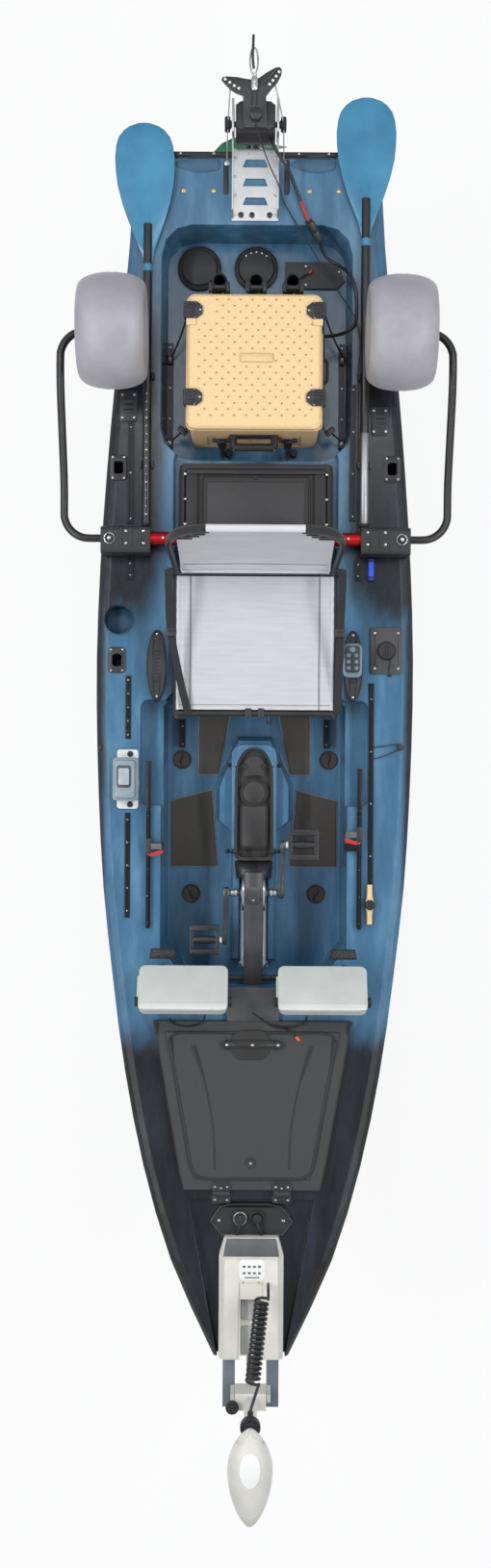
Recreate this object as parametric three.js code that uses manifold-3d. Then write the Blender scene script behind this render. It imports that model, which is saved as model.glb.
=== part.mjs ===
// Pedal-drive fishing kayak, 3.8 m long, with its crate, wheels, paddle, seat, displays and two electric
// motors.
// Millimetres. X is to the right of a reader who has the stern at the top, Y runs to the stern, Z is up.
// The origin is on the centreline at the hull's flat bottom, below the front edge of the cockpit's rear
// half.
import * as THREE from 'three';
import { mergeVertices } from 'three/addons/utils/BufferGeometryUtils.js';
import Module from 'manifold-3d';

const wasm = await Module();
wasm.setup();

// Clearances and overrun
const GAP = 0.3;
const OVERRUN = 5;

// Hull
const HULL_LENGTH = 3800;
const HALF_BEAM = 504;
const STERN_Y = 2016;
const BOW_Y = STERN_Y - HULL_LENGTH;
const DECK_Z = 348;
const BOW_SHEER = 430;
const STERN_LIFT = 40;
const BOW_LIFT = 190;
const BILGE_RISE = 26;
const CHINE_RISE = 95;
const RAIL_DEPTH = 60;
const RAIL_EDGE = 22;
const RAIL_ROUND = 14;
const DECK_EDGE = 34;
const STATION_COUNT = 27;
const FLAT_STATIONS = 18;
// distance from the stern as a share of the length, half-breadth as a share of the greatest one
const breadthShares = [
  [0, 0.774], [0.09, 0.815], [0.211, 0.909], [0.355, 0.984], [0.45, 1], [0.596, 0.96],
  [0.677, 0.899], [0.757, 0.817], [0.838, 0.696], [0.918, 0.518], [1, 0.232],
];
const flatBottomShares = [0.1, 0.72];
const flatDeckShare = FLAT_STATIONS / (STATION_COUNT - 1);
const bottomHalfShare = 0.52;
const bilgeHalfShare = 0.8;
const chineHalfShare = 0.93;
const sideHalfShare = 0.985;
const sideHeightShare = 0.6;
const bowFinenessShare = 0.3;

// Wells and pockets in the deck
const WELL_FRONT_Y = 1038;
const WELL_REAR_Y = 1790;
const WELL_HALF = 308;
const WELL_FLOOR = 192;
const WELL_CORNER = 95;
const WALL_DRAFT = 16;
const COCKPIT_FRONT_Y = -640;
const COCKPIT_REAR_Y = 800;
const COCKPIT_FLOOR = 105;
const COCKPIT_HALF = 300;
const SEAT_WELL_HALF = 262;
const COCKPIT_STEP_Y = 262;
const COCKPIT_NOSE_HALF = 262;
const COCKPIT_NOSE_Y = -560;
const COCKPIT_CORNER = 40;
const TRAY_WELL_FLOOR = 286;
const POCKET_FLOOR = 268;
const POCKET_INNER = 255;
const POCKET_OUTER = 362;
const POCKET_REAR_Y = 275;
const POCKET_FRONT_Y = -61;
const POCKET_CORNER = 26;
const HUMP_HALF = 112;
const HUMP_NECK_HALF = 66;
const HUMP_TAIL_HALF = 50;
const HUMP_NECK_Y = -150;
const HUMP_SHOULDER_Y = -110;
const HUMP_WIDE_Y = 0;
const HUMP_TOP = 214;
const HUMP_REAR_Y = 150;
const HUMP_FRONT_Y = -560;
const SLOT_HALF = 47;
const SLOT_REAR_Y = 128;
const SLOT_FRONT_Y = -586;
const HATCH_REAR_Y = -741;
const hatchLengthShare = 0.50336;
const HATCH_FRONT_Y = HATCH_REAR_Y + (BOW_Y - HATCH_REAR_Y) * hatchLengthShare;
const HATCH_REAR_HALF = 309;
const HATCH_FRONT_HALF = 214;
const HATCH_LEDGE = 34;
const HATCH_WELL_FLOOR = 190;
const BOW_DECK_HALF = 196;
const BOW_DECK_TIP_HALF = 105;
const BOW_DECK_Z = 378;
const CUP_X = -433;
const CUP_Y = 528;
const CUP_RADIUS = 45;
const CUP_DEPTH = 70;
const CUT_TOP = BOW_SHEER + OVERRUN;
const HOLDER_RADIUS = 21;
const HOLDER_DEPTH = 190;
const HOLDER_PLACES = { left: [-436, 1011], right: [432, 1011], front: [-438, 400] };

// A closed mesh as a manifold solid, and back
function solid(geometry) {
  const bare = geometry.clone();
  bare.deleteAttribute('normal');
  bare.deleteAttribute('uv');
  const merged = mergeVertices(bare, GAP / 1000);
  const mesh = new wasm.Mesh({
    numProp: 3,
    vertProperties: new Float32Array(merged.attributes.position.array),
    triVerts: new Uint32Array(merged.index.array),
  });
  return new wasm.Manifold(mesh);
}

function shape(manifold) {
  const mesh = manifold.getMesh();
  const geometry = new THREE.BufferGeometry();
  geometry.setAttribute('position', new THREE.BufferAttribute(new Float32Array(mesh.vertProperties), 3));
  geometry.setIndex(new THREE.BufferAttribute(new Uint32Array(mesh.triVerts), 1));
  return geometry;
}

function join(...geometries) {
  return shape(geometries.map(solid).reduce((sum, next) => sum.add(next)));
}

function cut(geometry, ...tools) {
  return shape(tools.map(solid).reduce((sum, next) => sum.subtract(next), solid(geometry)));
}

// A skin through closed rings of equal count, each an array of [x, y, z], with flat ends
function loft(rings) {
  const count = rings[0].length;
  const corners = rings.flat();
  const faces = [];
  for (let ring = 0; ring < rings.length - 1; ring += 1) {
    for (let i = 0; i < count; i += 1) {
      const a = ring * count + i;
      const b = ring * count + ((i + 1) % count);
      faces.push(a, b, b + count, a, b + count, a + count);
    }
  }
  const flat = flatAxes(rings[0]);
  const capFaces = THREE.ShapeUtils.triangulateShape(rings[0].map((p) => new THREE.Vector2(p[flat[0]],
    p[flat[1]])), []);
  const lastFlat = flatAxes(rings.at(-1));
  const lastRing = rings.at(-1).map((p) => new THREE.Vector2(p[lastFlat[0]], p[lastFlat[1]]));
  const lastFaces = THREE.ShapeUtils.triangulateShape(lastRing, []);
  const start = (rings.length - 1) * count;
  capFaces.forEach(([a, b, c]) => faces.push(...outward(rings[0], rings[1], [a, b, c], 0)));
  lastFaces.forEach(([a, b, c]) => faces.push(...outward(rings.at(-1), rings.at(-2), [a, b, c], start)));
  const geometry = new THREE.BufferGeometry();
  geometry.setAttribute('position', new THREE.Float32BufferAttribute(corners.flat(), 3));
  geometry.setIndex(faces);
  return volumeOf(geometry) < 0 ? flipped(geometry, rings.length - 1, count) : geometry;
}

// The two axes that a nearly flat ring spreads over most
function flatAxes(ring) {
  const spread = [0, 1, 2].map((axis) => {
    const values = ring.map((p) => p[axis]);
    return Math.max(...values) - Math.min(...values);
  });
  const least = spread.indexOf(Math.min(...spread));
  return [0, 1, 2].filter((axis) => axis !== least);
}

// An end face's corners in the order that turns it away from the next ring
function outward(ring, next, [a, b, c], offset) {
  const [p, q, r] = [a, b, c].map((i) => new THREE.Vector3(...ring[i]));
  const normal = q.clone().sub(p).cross(r.clone().sub(p));
  const inside = new THREE.Vector3(...next[a]).sub(p);
  return normal.dot(inside) < 0 ? [a + offset, b + offset, c + offset] : [a + offset, c + offset,
    b + offset];
}

function volumeOf(geometry) {
  const p = geometry.attributes.position;
  const corner = (i) => new THREE.Vector3().fromBufferAttribute(p, geometry.index.array[i]);
  let volume = 0;
  for (let i = 0; i < geometry.index.count; i += 3) {
    volume += corner(i).dot(corner(i + 1).cross(corner(i + 2))) / 6;
  }
  return volume;
}

// The same skin with its side faces turned over; the end faces already point out
function flipped(geometry, bands, count) {
  const faces = Array.from(geometry.index.array);
  for (let i = 0; i < bands * count * 6; i += 3) {
    [faces[i + 1], faces[i + 2]] = [faces[i + 2], faces[i + 1]];
  }
  geometry.setIndex(faces);
  return geometry;
}

// Extrusions along Z, X and Y of outlines given as [u, v] points
function prism(points, low, high) {
  return loft([low, high].map((z) => points.map(([x, y]) => [x, y, z])));
}

function slabX(points, low, high) {
  return loft([low, high].map((x) => points.map(([y, z]) => [x, y, z])));
}

function slabY(points, low, high) {
  return loft([low, high].map((y) => points.map(([x, z]) => [x, y, z])));
}

function box(x0, x1, y0, y1, z0, z1) {
  return prism([[x0, y0], [x1, y0], [x1, y1], [x0, y1]], z0, z1);
}

// Outline of a rectangle with round corners, centred on [x, y]
function rounded(x, y, width, depth, radius, steps = 3) {
  const points = [];
  const corners = [[1, 1], [-1, 1], [-1, -1], [1, -1]];
  corners.forEach(([sx, sy], quarter) => {
    for (let i = 0; i <= steps; i += 1) {
      const angle = (quarter + i / steps) * Math.PI / 2;
      points.push([
        x + sx * (width / 2 - radius) + radius * Math.cos(angle),
        y + sy * (depth / 2 - radius) + radius * Math.sin(angle),
      ]);
    }
  });
  return points;
}

function circle(x, y, radius, sides = 16) {
  return Array.from({ length: sides }, (_, i) => {
    const angle = (i + 0.5) * 2 * Math.PI / sides;
    return [x + radius * Math.cos(angle), y + radius * Math.sin(angle)];
  });
}

// A well with sloping walls: the outline at the top, drawn in by the draft at the bottom, about its own
// middle
function taperedWell(points, draft, floor, top) {
  const middle = [0, 1].map((k) => (Math.min(...points.map((p) => p[k])) + Math.max(...points.map((p) => p[k]))) / 2);
  const reach = [0, 1].map((k) => Math.max(...points.map((p) => Math.abs(p[k] - middle[k]))));
  const lower = points.map((p) => p.map((v, k) => middle[k] + (v - middle[k]) * (1 - draft / reach[k])));
  return loft([lower.map(([x, y]) => [x, y, floor]), points.map(([x, y]) => [x, y, top])]);
}

// An outline that is the same on both sides of the centreline, from its right-hand points
function mirrored(points) {
  return [...points, ...points.toReversed().map(([x, y]) => [-x, y])];
}

function smooth(low, high, value) {
  return THREE.MathUtils.smoothstep(value, low, high);
}

// Hull form
const breadthCurve = new THREE.CatmullRomCurve3(breadthShares.map(([t, b]) => new THREE.Vector3(t, b, 0)),
  false, 'centripetal');
const breadthSamples = breadthCurve.getPoints(400);

function halfBreadth(y) {
  const share = (STERN_Y - y) / HULL_LENGTH;
  const i = Math.max(1, breadthSamples.findIndex((p) => p.x >= share - Number.EPSILON));
  const [a, b] = [breadthSamples[i - 1], breadthSamples[i]];
  return HALF_BEAM * THREE.MathUtils.mapLinear(share, a.x, b.x, a.y, b.y);
}

function sheer(y) {
  const share = (STERN_Y - y) / HULL_LENGTH;
  return DECK_Z + (BOW_SHEER - DECK_Z) * Math.max(0, share - flatDeckShare) / (1 - flatDeckShare);
}

function keel(y) {
  const share = (STERN_Y - y) / HULL_LENGTH;
  const stern = STERN_LIFT * (1 - smooth(0, flatBottomShares[0], share));
  return stern + BOW_LIFT * ((Math.max(0, share - flatBottomShares[1]) / (1 - flatBottomShares[1])) ** 2);
}

function hullRing(y) {
  const b = halfBreadth(y);
  const top = sheer(y);
  const low = keel(y);
  const share = (STERN_Y - y) / HULL_LENGTH;
  const fineness = 1 - bowFinenessShare * smooth(flatBottomShares[1], 1, share);
  const half = [
    [b * bottomHalfShare * fineness, low],
    [b * bilgeHalfShare * fineness, low + BILGE_RISE],
    [b * chineHalfShare * (1 + fineness) / 2, low + CHINE_RISE],
    [b * sideHalfShare, low + (top - low) * sideHeightShare],
    [b, top - RAIL_DEPTH],
    [b, top - RAIL_EDGE],
    [b - RAIL_ROUND, top - RAIL_ROUND / 2],
    [b - DECK_EDGE, top],
  ];
  return mirrored(half).map(([x, z]) => [x, y, z]);
}

function stations() {
  return Array.from({ length: STATION_COUNT }, (_, i) => {
    const share = i / (STATION_COUNT - 1);
    return STERN_Y - HULL_LENGTH * share;
  });
}

function cockpitOutline() {
  return mirrored([
    [SEAT_WELL_HALF - COCKPIT_CORNER, COCKPIT_REAR_Y],
    [SEAT_WELL_HALF, COCKPIT_REAR_Y - COCKPIT_CORNER],
    [SEAT_WELL_HALF, COCKPIT_STEP_Y + COCKPIT_CORNER],
    [COCKPIT_HALF, COCKPIT_STEP_Y],
    [COCKPIT_HALF, COCKPIT_NOSE_Y + COCKPIT_CORNER],
    [COCKPIT_NOSE_HALF, COCKPIT_NOSE_Y],
    [COCKPIT_NOSE_HALF - COCKPIT_CORNER, COCKPIT_FRONT_Y],
  ].toReversed());
}

function makeHull() {
  const above = CUT_TOP;
  const wellOutline = rounded(0, (WELL_FRONT_Y + WELL_REAR_Y) / 2, 2 * WELL_HALF,
    WELL_REAR_Y - WELL_FRONT_Y, WELL_CORNER);
  const trayOutline = rounded(0, (COCKPIT_REAR_Y + WELL_FRONT_Y) / 2, 2 * SEAT_WELL_HALF,
    WELL_FRONT_Y - COCKPIT_REAR_Y + 2 * COCKPIT_CORNER, COCKPIT_CORNER);
  const pockets = [-1, 1].map((side) => prism(rounded(
    side * (POCKET_INNER + POCKET_OUTER) / 2,
    (POCKET_REAR_Y + POCKET_FRONT_Y) / 2,
    POCKET_OUTER - POCKET_INNER,
    POCKET_REAR_Y - POCKET_FRONT_Y,
    POCKET_CORNER,
  ), POCKET_FLOOR, above));
  const hatchWell = mirrored([
    [HATCH_FRONT_HALF - HATCH_LEDGE, HATCH_FRONT_Y + HATCH_LEDGE],
    [HATCH_REAR_HALF - HATCH_LEDGE, HATCH_REAR_Y - HATCH_LEDGE],
  ]);
  const bowDeck = mirrored([[BOW_DECK_TIP_HALF, BOW_Y - OVERRUN],
    [BOW_DECK_HALF, HATCH_FRONT_Y - HATCH_LEDGE]]);
  const holders = Object.values(HOLDER_PLACES).map(([x, y]) => {
    const top = sheer(y) + OVERRUN;
    return prism(circle(x, y, HOLDER_RADIUS, 12), sheer(y) - HOLDER_DEPTH, top);
  });
  const hump = taperedWell(mirrored([
    [HUMP_NECK_HALF, HUMP_FRONT_Y],
    [HUMP_NECK_HALF, HUMP_NECK_Y],
    [HUMP_HALF, HUMP_SHOULDER_Y],
    [HUMP_HALF, HUMP_WIDE_Y],
    [HUMP_TAIL_HALF, HUMP_REAR_Y],
  ]), -WALL_DRAFT, COCKPIT_FLOOR - OVERRUN, HUMP_TOP);
  const slot = prism(rounded(0, (SLOT_FRONT_Y + SLOT_REAR_Y) / 2, 2 * SLOT_HALF, SLOT_REAR_Y - SLOT_FRONT_Y,
    SLOT_HALF / 2), -OVERRUN, above);
  const opened = cut(
    loft(stations().map(hullRing)),
    taperedWell(wellOutline, WALL_DRAFT, WELL_FLOOR, above),
    taperedWell(cockpitOutline(), WALL_DRAFT, COCKPIT_FLOOR, above),
    prism(trayOutline, TRAY_WELL_FLOOR, above),
    ...pockets,
    prism(hatchWell, HATCH_WELL_FLOOR, above),
    prism(bowDeck, BOW_DECK_Z, above),
    prism(circle(CUP_X, CUP_Y, CUP_RADIUS, 20), sheer(CUP_Y) - CUP_DEPTH, above),
    ...holders,
  );
  const tracks = [-1, 1].map((side) => box(
    side * TRACK.x - TRACK.half,
    side * TRACK.x + TRACK.half,
    TRACK.front,
    TRACK.rear,
    COCKPIT_FLOOR - GAP,
    COCKPIT_FLOOR + TRACK.height,
  ));
  const stands = [-1, 1].map(makeDisplayStand);
  return cut(join(opened, hump, ...tracks, ...stands, makeDeckPlate()), slot);
}

const kayak = new THREE.Group();

function add(name, geometry, { color, roughness = 0.6, metalness = 0 }, parent = kayak) {
  const mesh = new THREE.Mesh(geometry, new THREE.MeshStandardMaterial({ color, roughness, metalness }));
  mesh.name = name;
  parent.add(mesh);
  return mesh;
}

// A solid of revolution from [radius, height] points; the profile runs from axis to axis or closes on
// itself
function revolve(profile, sides = 20) {
  const points = profile.map(([r, h]) => new THREE.Vector2(r, h));
  const geometry = new THREE.LatheGeometry(points, sides);
  geometry.rotateX(Math.PI / 2);
  return volumeOf(merged(geometry)) < 0 ? turnedOver(merged(geometry)) : merged(geometry);
}

function merged(geometry) {
  const bare = geometry.clone();
  bare.deleteAttribute('normal');
  bare.deleteAttribute('uv');
  return dropEmpty(mergeVertices(bare, GAP / 1000));
}

function dropEmpty(geometry) {
  const faces = [];
  const index = geometry.index.array;
  for (let i = 0; i < index.length; i += 3) {
    const [a, b, c] = [index[i], index[i + 1], index[i + 2]];
    if (a !== b && b !== c && c !== a) {
      faces.push(a, b, c);
    }
  }
  geometry.setIndex(faces);
  return geometry;
}

function turnedOver(geometry) {
  const faces = Array.from(geometry.index.array);
  for (let i = 0; i < faces.length; i += 3) {
    [faces[i + 1], faces[i + 2]] = [faces[i + 2], faces[i + 1]];
  }
  geometry.setIndex(faces);
  return geometry;
}

// Round bars along X, Y and Z
function barX(x0, x1, y, z, radius, sides = 12) {
  return slabX(circle(y, z, radius, sides), x0, x1);
}

function barY(y0, y1, x, z, radius, sides = 12) {
  return slabY(circle(x, z, radius, sides), y0, y1);
}

function barZ(z0, z1, x, y, radius, sides = 12) {
  return prism(circle(x, y, radius, sides), z0, z1);
}

// A round bar or cord along a smooth line through points
function bent(points, radius, sides = 8, steps = 24) {
  const line = new THREE.CatmullRomCurve3(points.map((p) => new THREE.Vector3(...p)), false, 'centripetal');
  const section = new THREE.Shape(circle(0, 0, radius, sides).map(([x, y]) => new THREE.Vector2(x, y)));
  return merged(new THREE.ExtrudeGeometry(section, { steps, extrudePath: line, bevelEnabled: false }));
}

// Colours
const BLUE = { color: 0x4a7ca3, roughness: 0.35 };
const BLACK = { color: 0x1d1e20, roughness: 0.5 };
const TAN = { color: 0xf0d69c, roughness: 0.55 };
const SILVER = { color: 0xb9bcc0, roughness: 0.3, metalness: 0.9 };
const RED = { color: 0xb5202a, roughness: 0.4, metalness: 0.4 };
const TYRE = { color: 0x9c9aa3, roughness: 0.6 };
const PAD = { color: 0x46423e, roughness: 0.9 };
const GREY = { color: 0xa4a9ac, roughness: 0.5 };
const MESH_GREY = { color: 0xc6c7cb, roughness: 0.9 };
const OFF_WHITE = { color: 0xcfcdc2, roughness: 0.4 };
const GREEN = { color: 0x1f7a45, roughness: 0.5 };

// Tank well fittings
const LID = { radius: 72, rim: 60, height: 14, crown: 8, y: 1690, leftX: -188, centreX: -3 };
const BATTERY = { left: 91, right: 286, front: 1625, rear: 1712, height: 12, corner: 26 };
const ROD_TUBE = { radius: 24, bore: 19, height: 215, floor: 12, y: 1590, spacing: 115, x: -3 };

function makeLid(x) {
  const low = WELL_FLOOR + GAP;
  const lid = revolve([
    [0, 0], [LID.radius, 0], [LID.radius, LID.height - LID.crown / 2], [LID.rim, LID.height],
    [LID.rim - LID.crown, LID.height - LID.crown], [0, LID.height - LID.crown / 2],
  ], 24);
  return lid.translate(x, LID.y, low);
}

function makeBatteryPlate() {
  const { left, right, front, rear, corner } = BATTERY;
  const outline = [
    [left + corner, front], [right - corner, front], [right, front + corner], [right - corner, rear],
    [left, rear], [left, front + corner],
  ];
  return prism(outline, WELL_FLOOR + GAP, WELL_FLOOR + GAP + BATTERY.height);
}

function makeRodTube(x) {
  const low = WELL_FLOOR + GAP;
  const tube = barZ(low, low + ROD_TUBE.height, x, ROD_TUBE.y, ROD_TUBE.radius);
  return cut(tube, barZ(low + ROD_TUBE.floor, low + ROD_TUBE.height + OVERRUN, x, ROD_TUBE.y,
    ROD_TUBE.bore));
}

// Storage crate with its hinged lid
const CRATE = { side: 406, height: 288, wall: 8, x: -7, y: 1310, corner: 22, ribs: 5, ribWidth: 26,
  ribDepth: 3 };
const CRATE_LID = { height: 38, lip: 4, bevel: 8, latch: 30, latchDepth: 12 };
const CRATE_HANDLE = { width: 130, grip: 16, reach: 30, post: 16, below: 92 };
const crateTop = WELL_FLOOR + GAP + CRATE.height;
const crateFront = CRATE.y - CRATE.side / 2;

function makeCrateBody() {
  const low = WELL_FLOOR + GAP;
  const outer = rounded(CRATE.x, CRATE.y, CRATE.side, CRATE.side, CRATE.corner);
  const bore = CRATE.side - 2 * CRATE.wall;
  const inner = rounded(CRATE.x, CRATE.y, bore, bore, CRATE.corner - CRATE.wall);
  const z = crateTop - CRATE_HANDLE.below;
  const half = CRATE_HANDLE.width / 2;
  const y = crateFront - CRATE_HANDLE.reach;
  const posts = [-1, 1].map((side) => box(
    CRATE.x + side * half - CRATE_HANDLE.post / 2,
    CRATE.x + side * half + CRATE_HANDLE.post / 2,
    y,
    crateFront + CRATE.wall / 2,
    z - CRATE_HANDLE.grip / 2,
    z + CRATE_HANDLE.grip / 2,
  ));
  const grip = box(CRATE.x - half, CRATE.x + half, y - CRATE_HANDLE.grip, y + GAP,
    z - CRATE_HANDLE.grip / 2, z + CRATE_HANDLE.grip / 2);
  const shell = cut(prism(outer, low, crateTop), prism(inner, low + CRATE.wall, crateTop + OVERRUN));
  const pitch = CRATE.side / (CRATE.ribs + 1);
  const grooves = [];
  for (let i = 1; i <= CRATE.ribs; i += 1) {
    const x = CRATE.x - CRATE.side / 2 + i * pitch;
    [crateFront, crateFront + CRATE.side].forEach((wall) => grooves.push(box(
      x - CRATE.ribWidth / 2,
      x + CRATE.ribWidth / 2,
      wall - CRATE.ribDepth,
      wall + CRATE.ribDepth,
      low + CRATE.ribWidth,
      crateTop - CRATE_HANDLE.below - CRATE_HANDLE.grip,
    )));
  }
  return join(cut(shell, ...grooves), ...posts, grip);
}

function makeCrateLid() {
  const low = crateTop + GAP;
  const half = CRATE.side / 2 + CRATE_LID.lip;
  const outline = (inset) => rounded(CRATE.x, CRATE.y, 2 * (half - inset), 2 * (half - inset),
    CRATE.corner);
  const rings = [
    outline(0).map(([x, y]) => [x, y, low]),
    outline(0).map(([x, y]) => [x, y, low + CRATE_LID.height - CRATE_LID.bevel]),
    outline(CRATE_LID.bevel).map(([x, y]) => [x, y, low + CRATE_LID.height]),
  ];
  const latches = [-1, 1].flatMap((sx) => [-1, 1].map((sy) => box(
    CRATE.x + sx * (half - CRATE_LID.latchDepth) - CRATE_LID.latch / 2,
    CRATE.x + sx * (half - CRATE_LID.latchDepth) + CRATE_LID.latch / 2,
    CRATE.y + sy * half * 0.6 - CRATE_LID.latch / 2,
    CRATE.y + sy * half * 0.6 + CRATE_LID.latch / 2,
    low + CRATE_LID.height / 2,
    low + CRATE_LID.height + CRATE_LID.lip,
  )));
  return join(loft(rings), ...latches);
}

// Beach wheels: cross tube, clamp brackets, sliding sleeves, bent arms and balloon wheels
const TUBE = { radius: 21.5, bore: 16.4, half: 478, y: 779, z: 400 };
const BRACKET = { inner: 330, outer: 485, front: 729, rear: 814, top: 431, corner: 12 };
const SLEEVE = { radius: 15.8, bore: 13.2, inner: 215, outer: 483 };
const ARM = { radius: 12.5, x: 602, bend: 78, y: 1396, rise: 130, inner: 225 };
const WHEEL = { diameter: 350, width: 206, bore: 13.2, hub: 46, hubWidth: 150, x: 443, rim: 92 };
const TYRE_POINTS = 11;
const tyreWrapShare = 0.78;
const wheelZ = TUBE.z + ARM.rise;

function makeCrossTube() {
  return cut(
    barX(-TUBE.half, TUBE.half, TUBE.y, TUBE.z, TUBE.radius, 16),
    barX(-TUBE.half - OVERRUN, TUBE.half + OVERRUN, TUBE.y, TUBE.z, TUBE.bore, 16),
  );
}

function makeBracket(side) {
  const outline = rounded((BRACKET.front + BRACKET.rear) / 2, (DECK_Z + GAP + BRACKET.top) / 2,
    BRACKET.rear - BRACKET.front, BRACKET.top - DECK_Z - GAP, BRACKET.corner, 2);
  const ends = [side * BRACKET.inner, side * BRACKET.outer].sort((a, b) => a - b);
  const bore = barX(ends[0] - OVERRUN, ends[1] + OVERRUN, TUBE.y, TUBE.z, TUBE.radius + 2 * GAP, 16);
  return cut(slabX(outline, ...ends), bore);
}

function makeSleeve(side) {
  const ends = [side * SLEEVE.inner, side * SLEEVE.outer].sort((a, b) => a - b);
  return cut(
    barX(...ends, TUBE.y, TUBE.z, SLEEVE.radius, 16),
    barX(ends[0] - OVERRUN, ends[1] + OVERRUN, TUBE.y, TUBE.z, SLEEVE.bore, 16),
  );
}

function makeArm(side) {
  const { x, bend, y, inner } = ARM;
  const start = TUBE.y + bend;
  const end = y - bend;
  const turn = (centreX, centreY, from, z) => [0, 1, 2, 3].map((i) => {
    const angle = from + i * Math.PI / 6;
    return [centreX + bend * Math.cos(angle), centreY + bend * Math.sin(angle), z];
  });
  const points = [
    [inner, TUBE.y, TUBE.z], [BRACKET.outer, TUBE.y, TUBE.z],
    ...turn(x - bend, start, -Math.PI / 2, TUBE.z),
    [x, (start + end) / 2, (TUBE.z + wheelZ) / 2],
    ...turn(x - bend, end, 0, wheelZ),
    [WHEEL.x + WHEEL.hubWidth / 3, y, wheelZ], [WHEEL.x, y, wheelZ],
      [WHEEL.x - WHEEL.hubWidth / 2, y, wheelZ],
  ];
  return bent(points.map(([px, py, pz]) => [side * px, py, pz]), ARM.radius, 10, 34);
}

function makeWheel(side) {
  const r = WHEEL.diameter / 2;
  const half = WHEEL.width / 2;
  const hub = WHEEL.hubWidth / 2;
  const middle = (r + WHEEL.rim) / 2;
  const high = (r - WHEEL.rim) / 2;
  const tyre = Array.from({ length: TYRE_POINTS }, (_, i) => {
    const angle = Math.PI * tyreWrapShare * (2 * i / (TYRE_POINTS - 1) - 1);
    return [middle + high * Math.cos(angle), half * Math.sin(angle)];
  });
  const profile = [
    [WHEEL.bore, -hub], [WHEEL.hub, -hub], [WHEEL.hub, -hub / 2], [WHEEL.rim - high / 3, -hub / 2],
    ...tyre,
    [WHEEL.rim - high / 3, hub / 2], [WHEEL.hub, hub / 2], [WHEEL.hub, hub], [WHEEL.bore, hub],
      [WHEEL.bore, -hub],
  ];
  return revolve(profile, 24).rotateY(Math.PI / 2).translate(side * WHEEL.x, ARM.y, wheelZ);
}

// Tray behind the seat, side handles and deck plate
const TRAY = { half: 245, front: 811, rear: 1033, height: 22, floor: 8, rim: 16, corner: 18 };
const HANDLE = { inner: 273, outer: 345, front: 270, rear: 494, base: 7, post: 22, grip: 20, rise: 44,
  corner: 18 };
const REMOTE = { width: 60, length: 104, thickness: 26, corner: 20, y: 395 };
const DECK_PLATE = { left: 366, right: 466, front: 360, rear: 507, thickness: 7, corner: 6, cap: 26,
  capHeight: 14 };

function makeTray() {
  const low = TRAY_WELL_FLOOR + GAP;
  const y = (TRAY.front + TRAY.rear) / 2;
  const depth = TRAY.rear - TRAY.front;
  const inner = rounded(0, y, 2 * (TRAY.half - TRAY.rim), depth - 2 * TRAY.rim, TRAY.corner);
  return cut(
    prism(rounded(0, y, 2 * TRAY.half, depth, TRAY.corner), low, low + TRAY.height),
    prism(inner, low + TRAY.floor, low + TRAY.height + OVERRUN),
  );
}

function makeSideHandle(side) {
  const low = DECK_Z + GAP;
  const x = side * (HANDLE.inner + HANDLE.outer) / 2;
  const width = HANDLE.outer - HANDLE.inner;
  const y = (HANDLE.front + HANDLE.rear) / 2;
  const top = low + HANDLE.rise;
  const base = prism(rounded(x, y, width, HANDLE.rear - HANDLE.front, HANDLE.corner), low,
    low + HANDLE.base);
  const inset = HANDLE.post / 2 + HANDLE.corner;
  const posts = [HANDLE.front + inset, HANDLE.rear - inset].map((at) => box(
    x - HANDLE.post / 2, x + HANDLE.post / 2, at - HANDLE.post / 2, at + HANDLE.post / 2, low, top,
  ));
  const grip = barY(HANDLE.front + inset, HANDLE.rear - inset, x, top, HANDLE.grip / 2, 10);
  const remote = prism(rounded(x, REMOTE.y, REMOTE.width, REMOTE.length, REMOTE.corner), top,
    top + REMOTE.thickness);
  return side > 0 ? join(base, ...posts, grip, remote) : join(base, ...posts, grip);
}

function makeDeckPlate() {
  const low = DECK_Z - GAP;
  const x = (DECK_PLATE.left + DECK_PLATE.right) / 2;
  const y = (DECK_PLATE.front + DECK_PLATE.rear) / 2;
  const top = low + DECK_PLATE.thickness;
  const outline = rounded(x, y, DECK_PLATE.right - DECK_PLATE.left, DECK_PLATE.rear - DECK_PLATE.front,
    DECK_PLATE.corner);
  return join(prism(outline, low, top), barZ(low, top + DECK_PLATE.capHeight, x, y, DECK_PLATE.cap, 20));
}

// Rod rails, control unit and cleat on the side decks
const ROD_RAIL = { x: 334, half: 7, height: 16, front: -451, rear: 70, pocketGap: 12, armY: -190, arm: 48,
  armHalf: 12 };
const UNIT = { x: -412, width: 72, front: -72, rear: 116, height: 66, corner: 16, chamfer: 14, knob: 14,
  knobReach: 14 };

function makeRodRail(side) {
  const low = DECK_Z + GAP;
  const x = side * ROD_RAIL.x;
  const inner = side * (ROD_RAIL.x - ROD_RAIL.arm);
  const front = ROD_RAIL.front;
  const rear = POCKET_FRONT_Y - ROD_RAIL.pocketGap;
  const rail = prism(rounded(x, (front + rear) / 2, 2 * ROD_RAIL.half, rear - front, ROD_RAIL.half), low,
    low + ROD_RAIL.height);
  const ends = [x, inner].sort((a, b) => a - b);
  const arm = box(...ends, ROD_RAIL.armY - ROD_RAIL.armHalf, ROD_RAIL.armY + ROD_RAIL.armHalf,
    low + ROD_RAIL.height / 2, low + ROD_RAIL.height + ROD_RAIL.half);
  return join(rail, arm);
}

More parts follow.
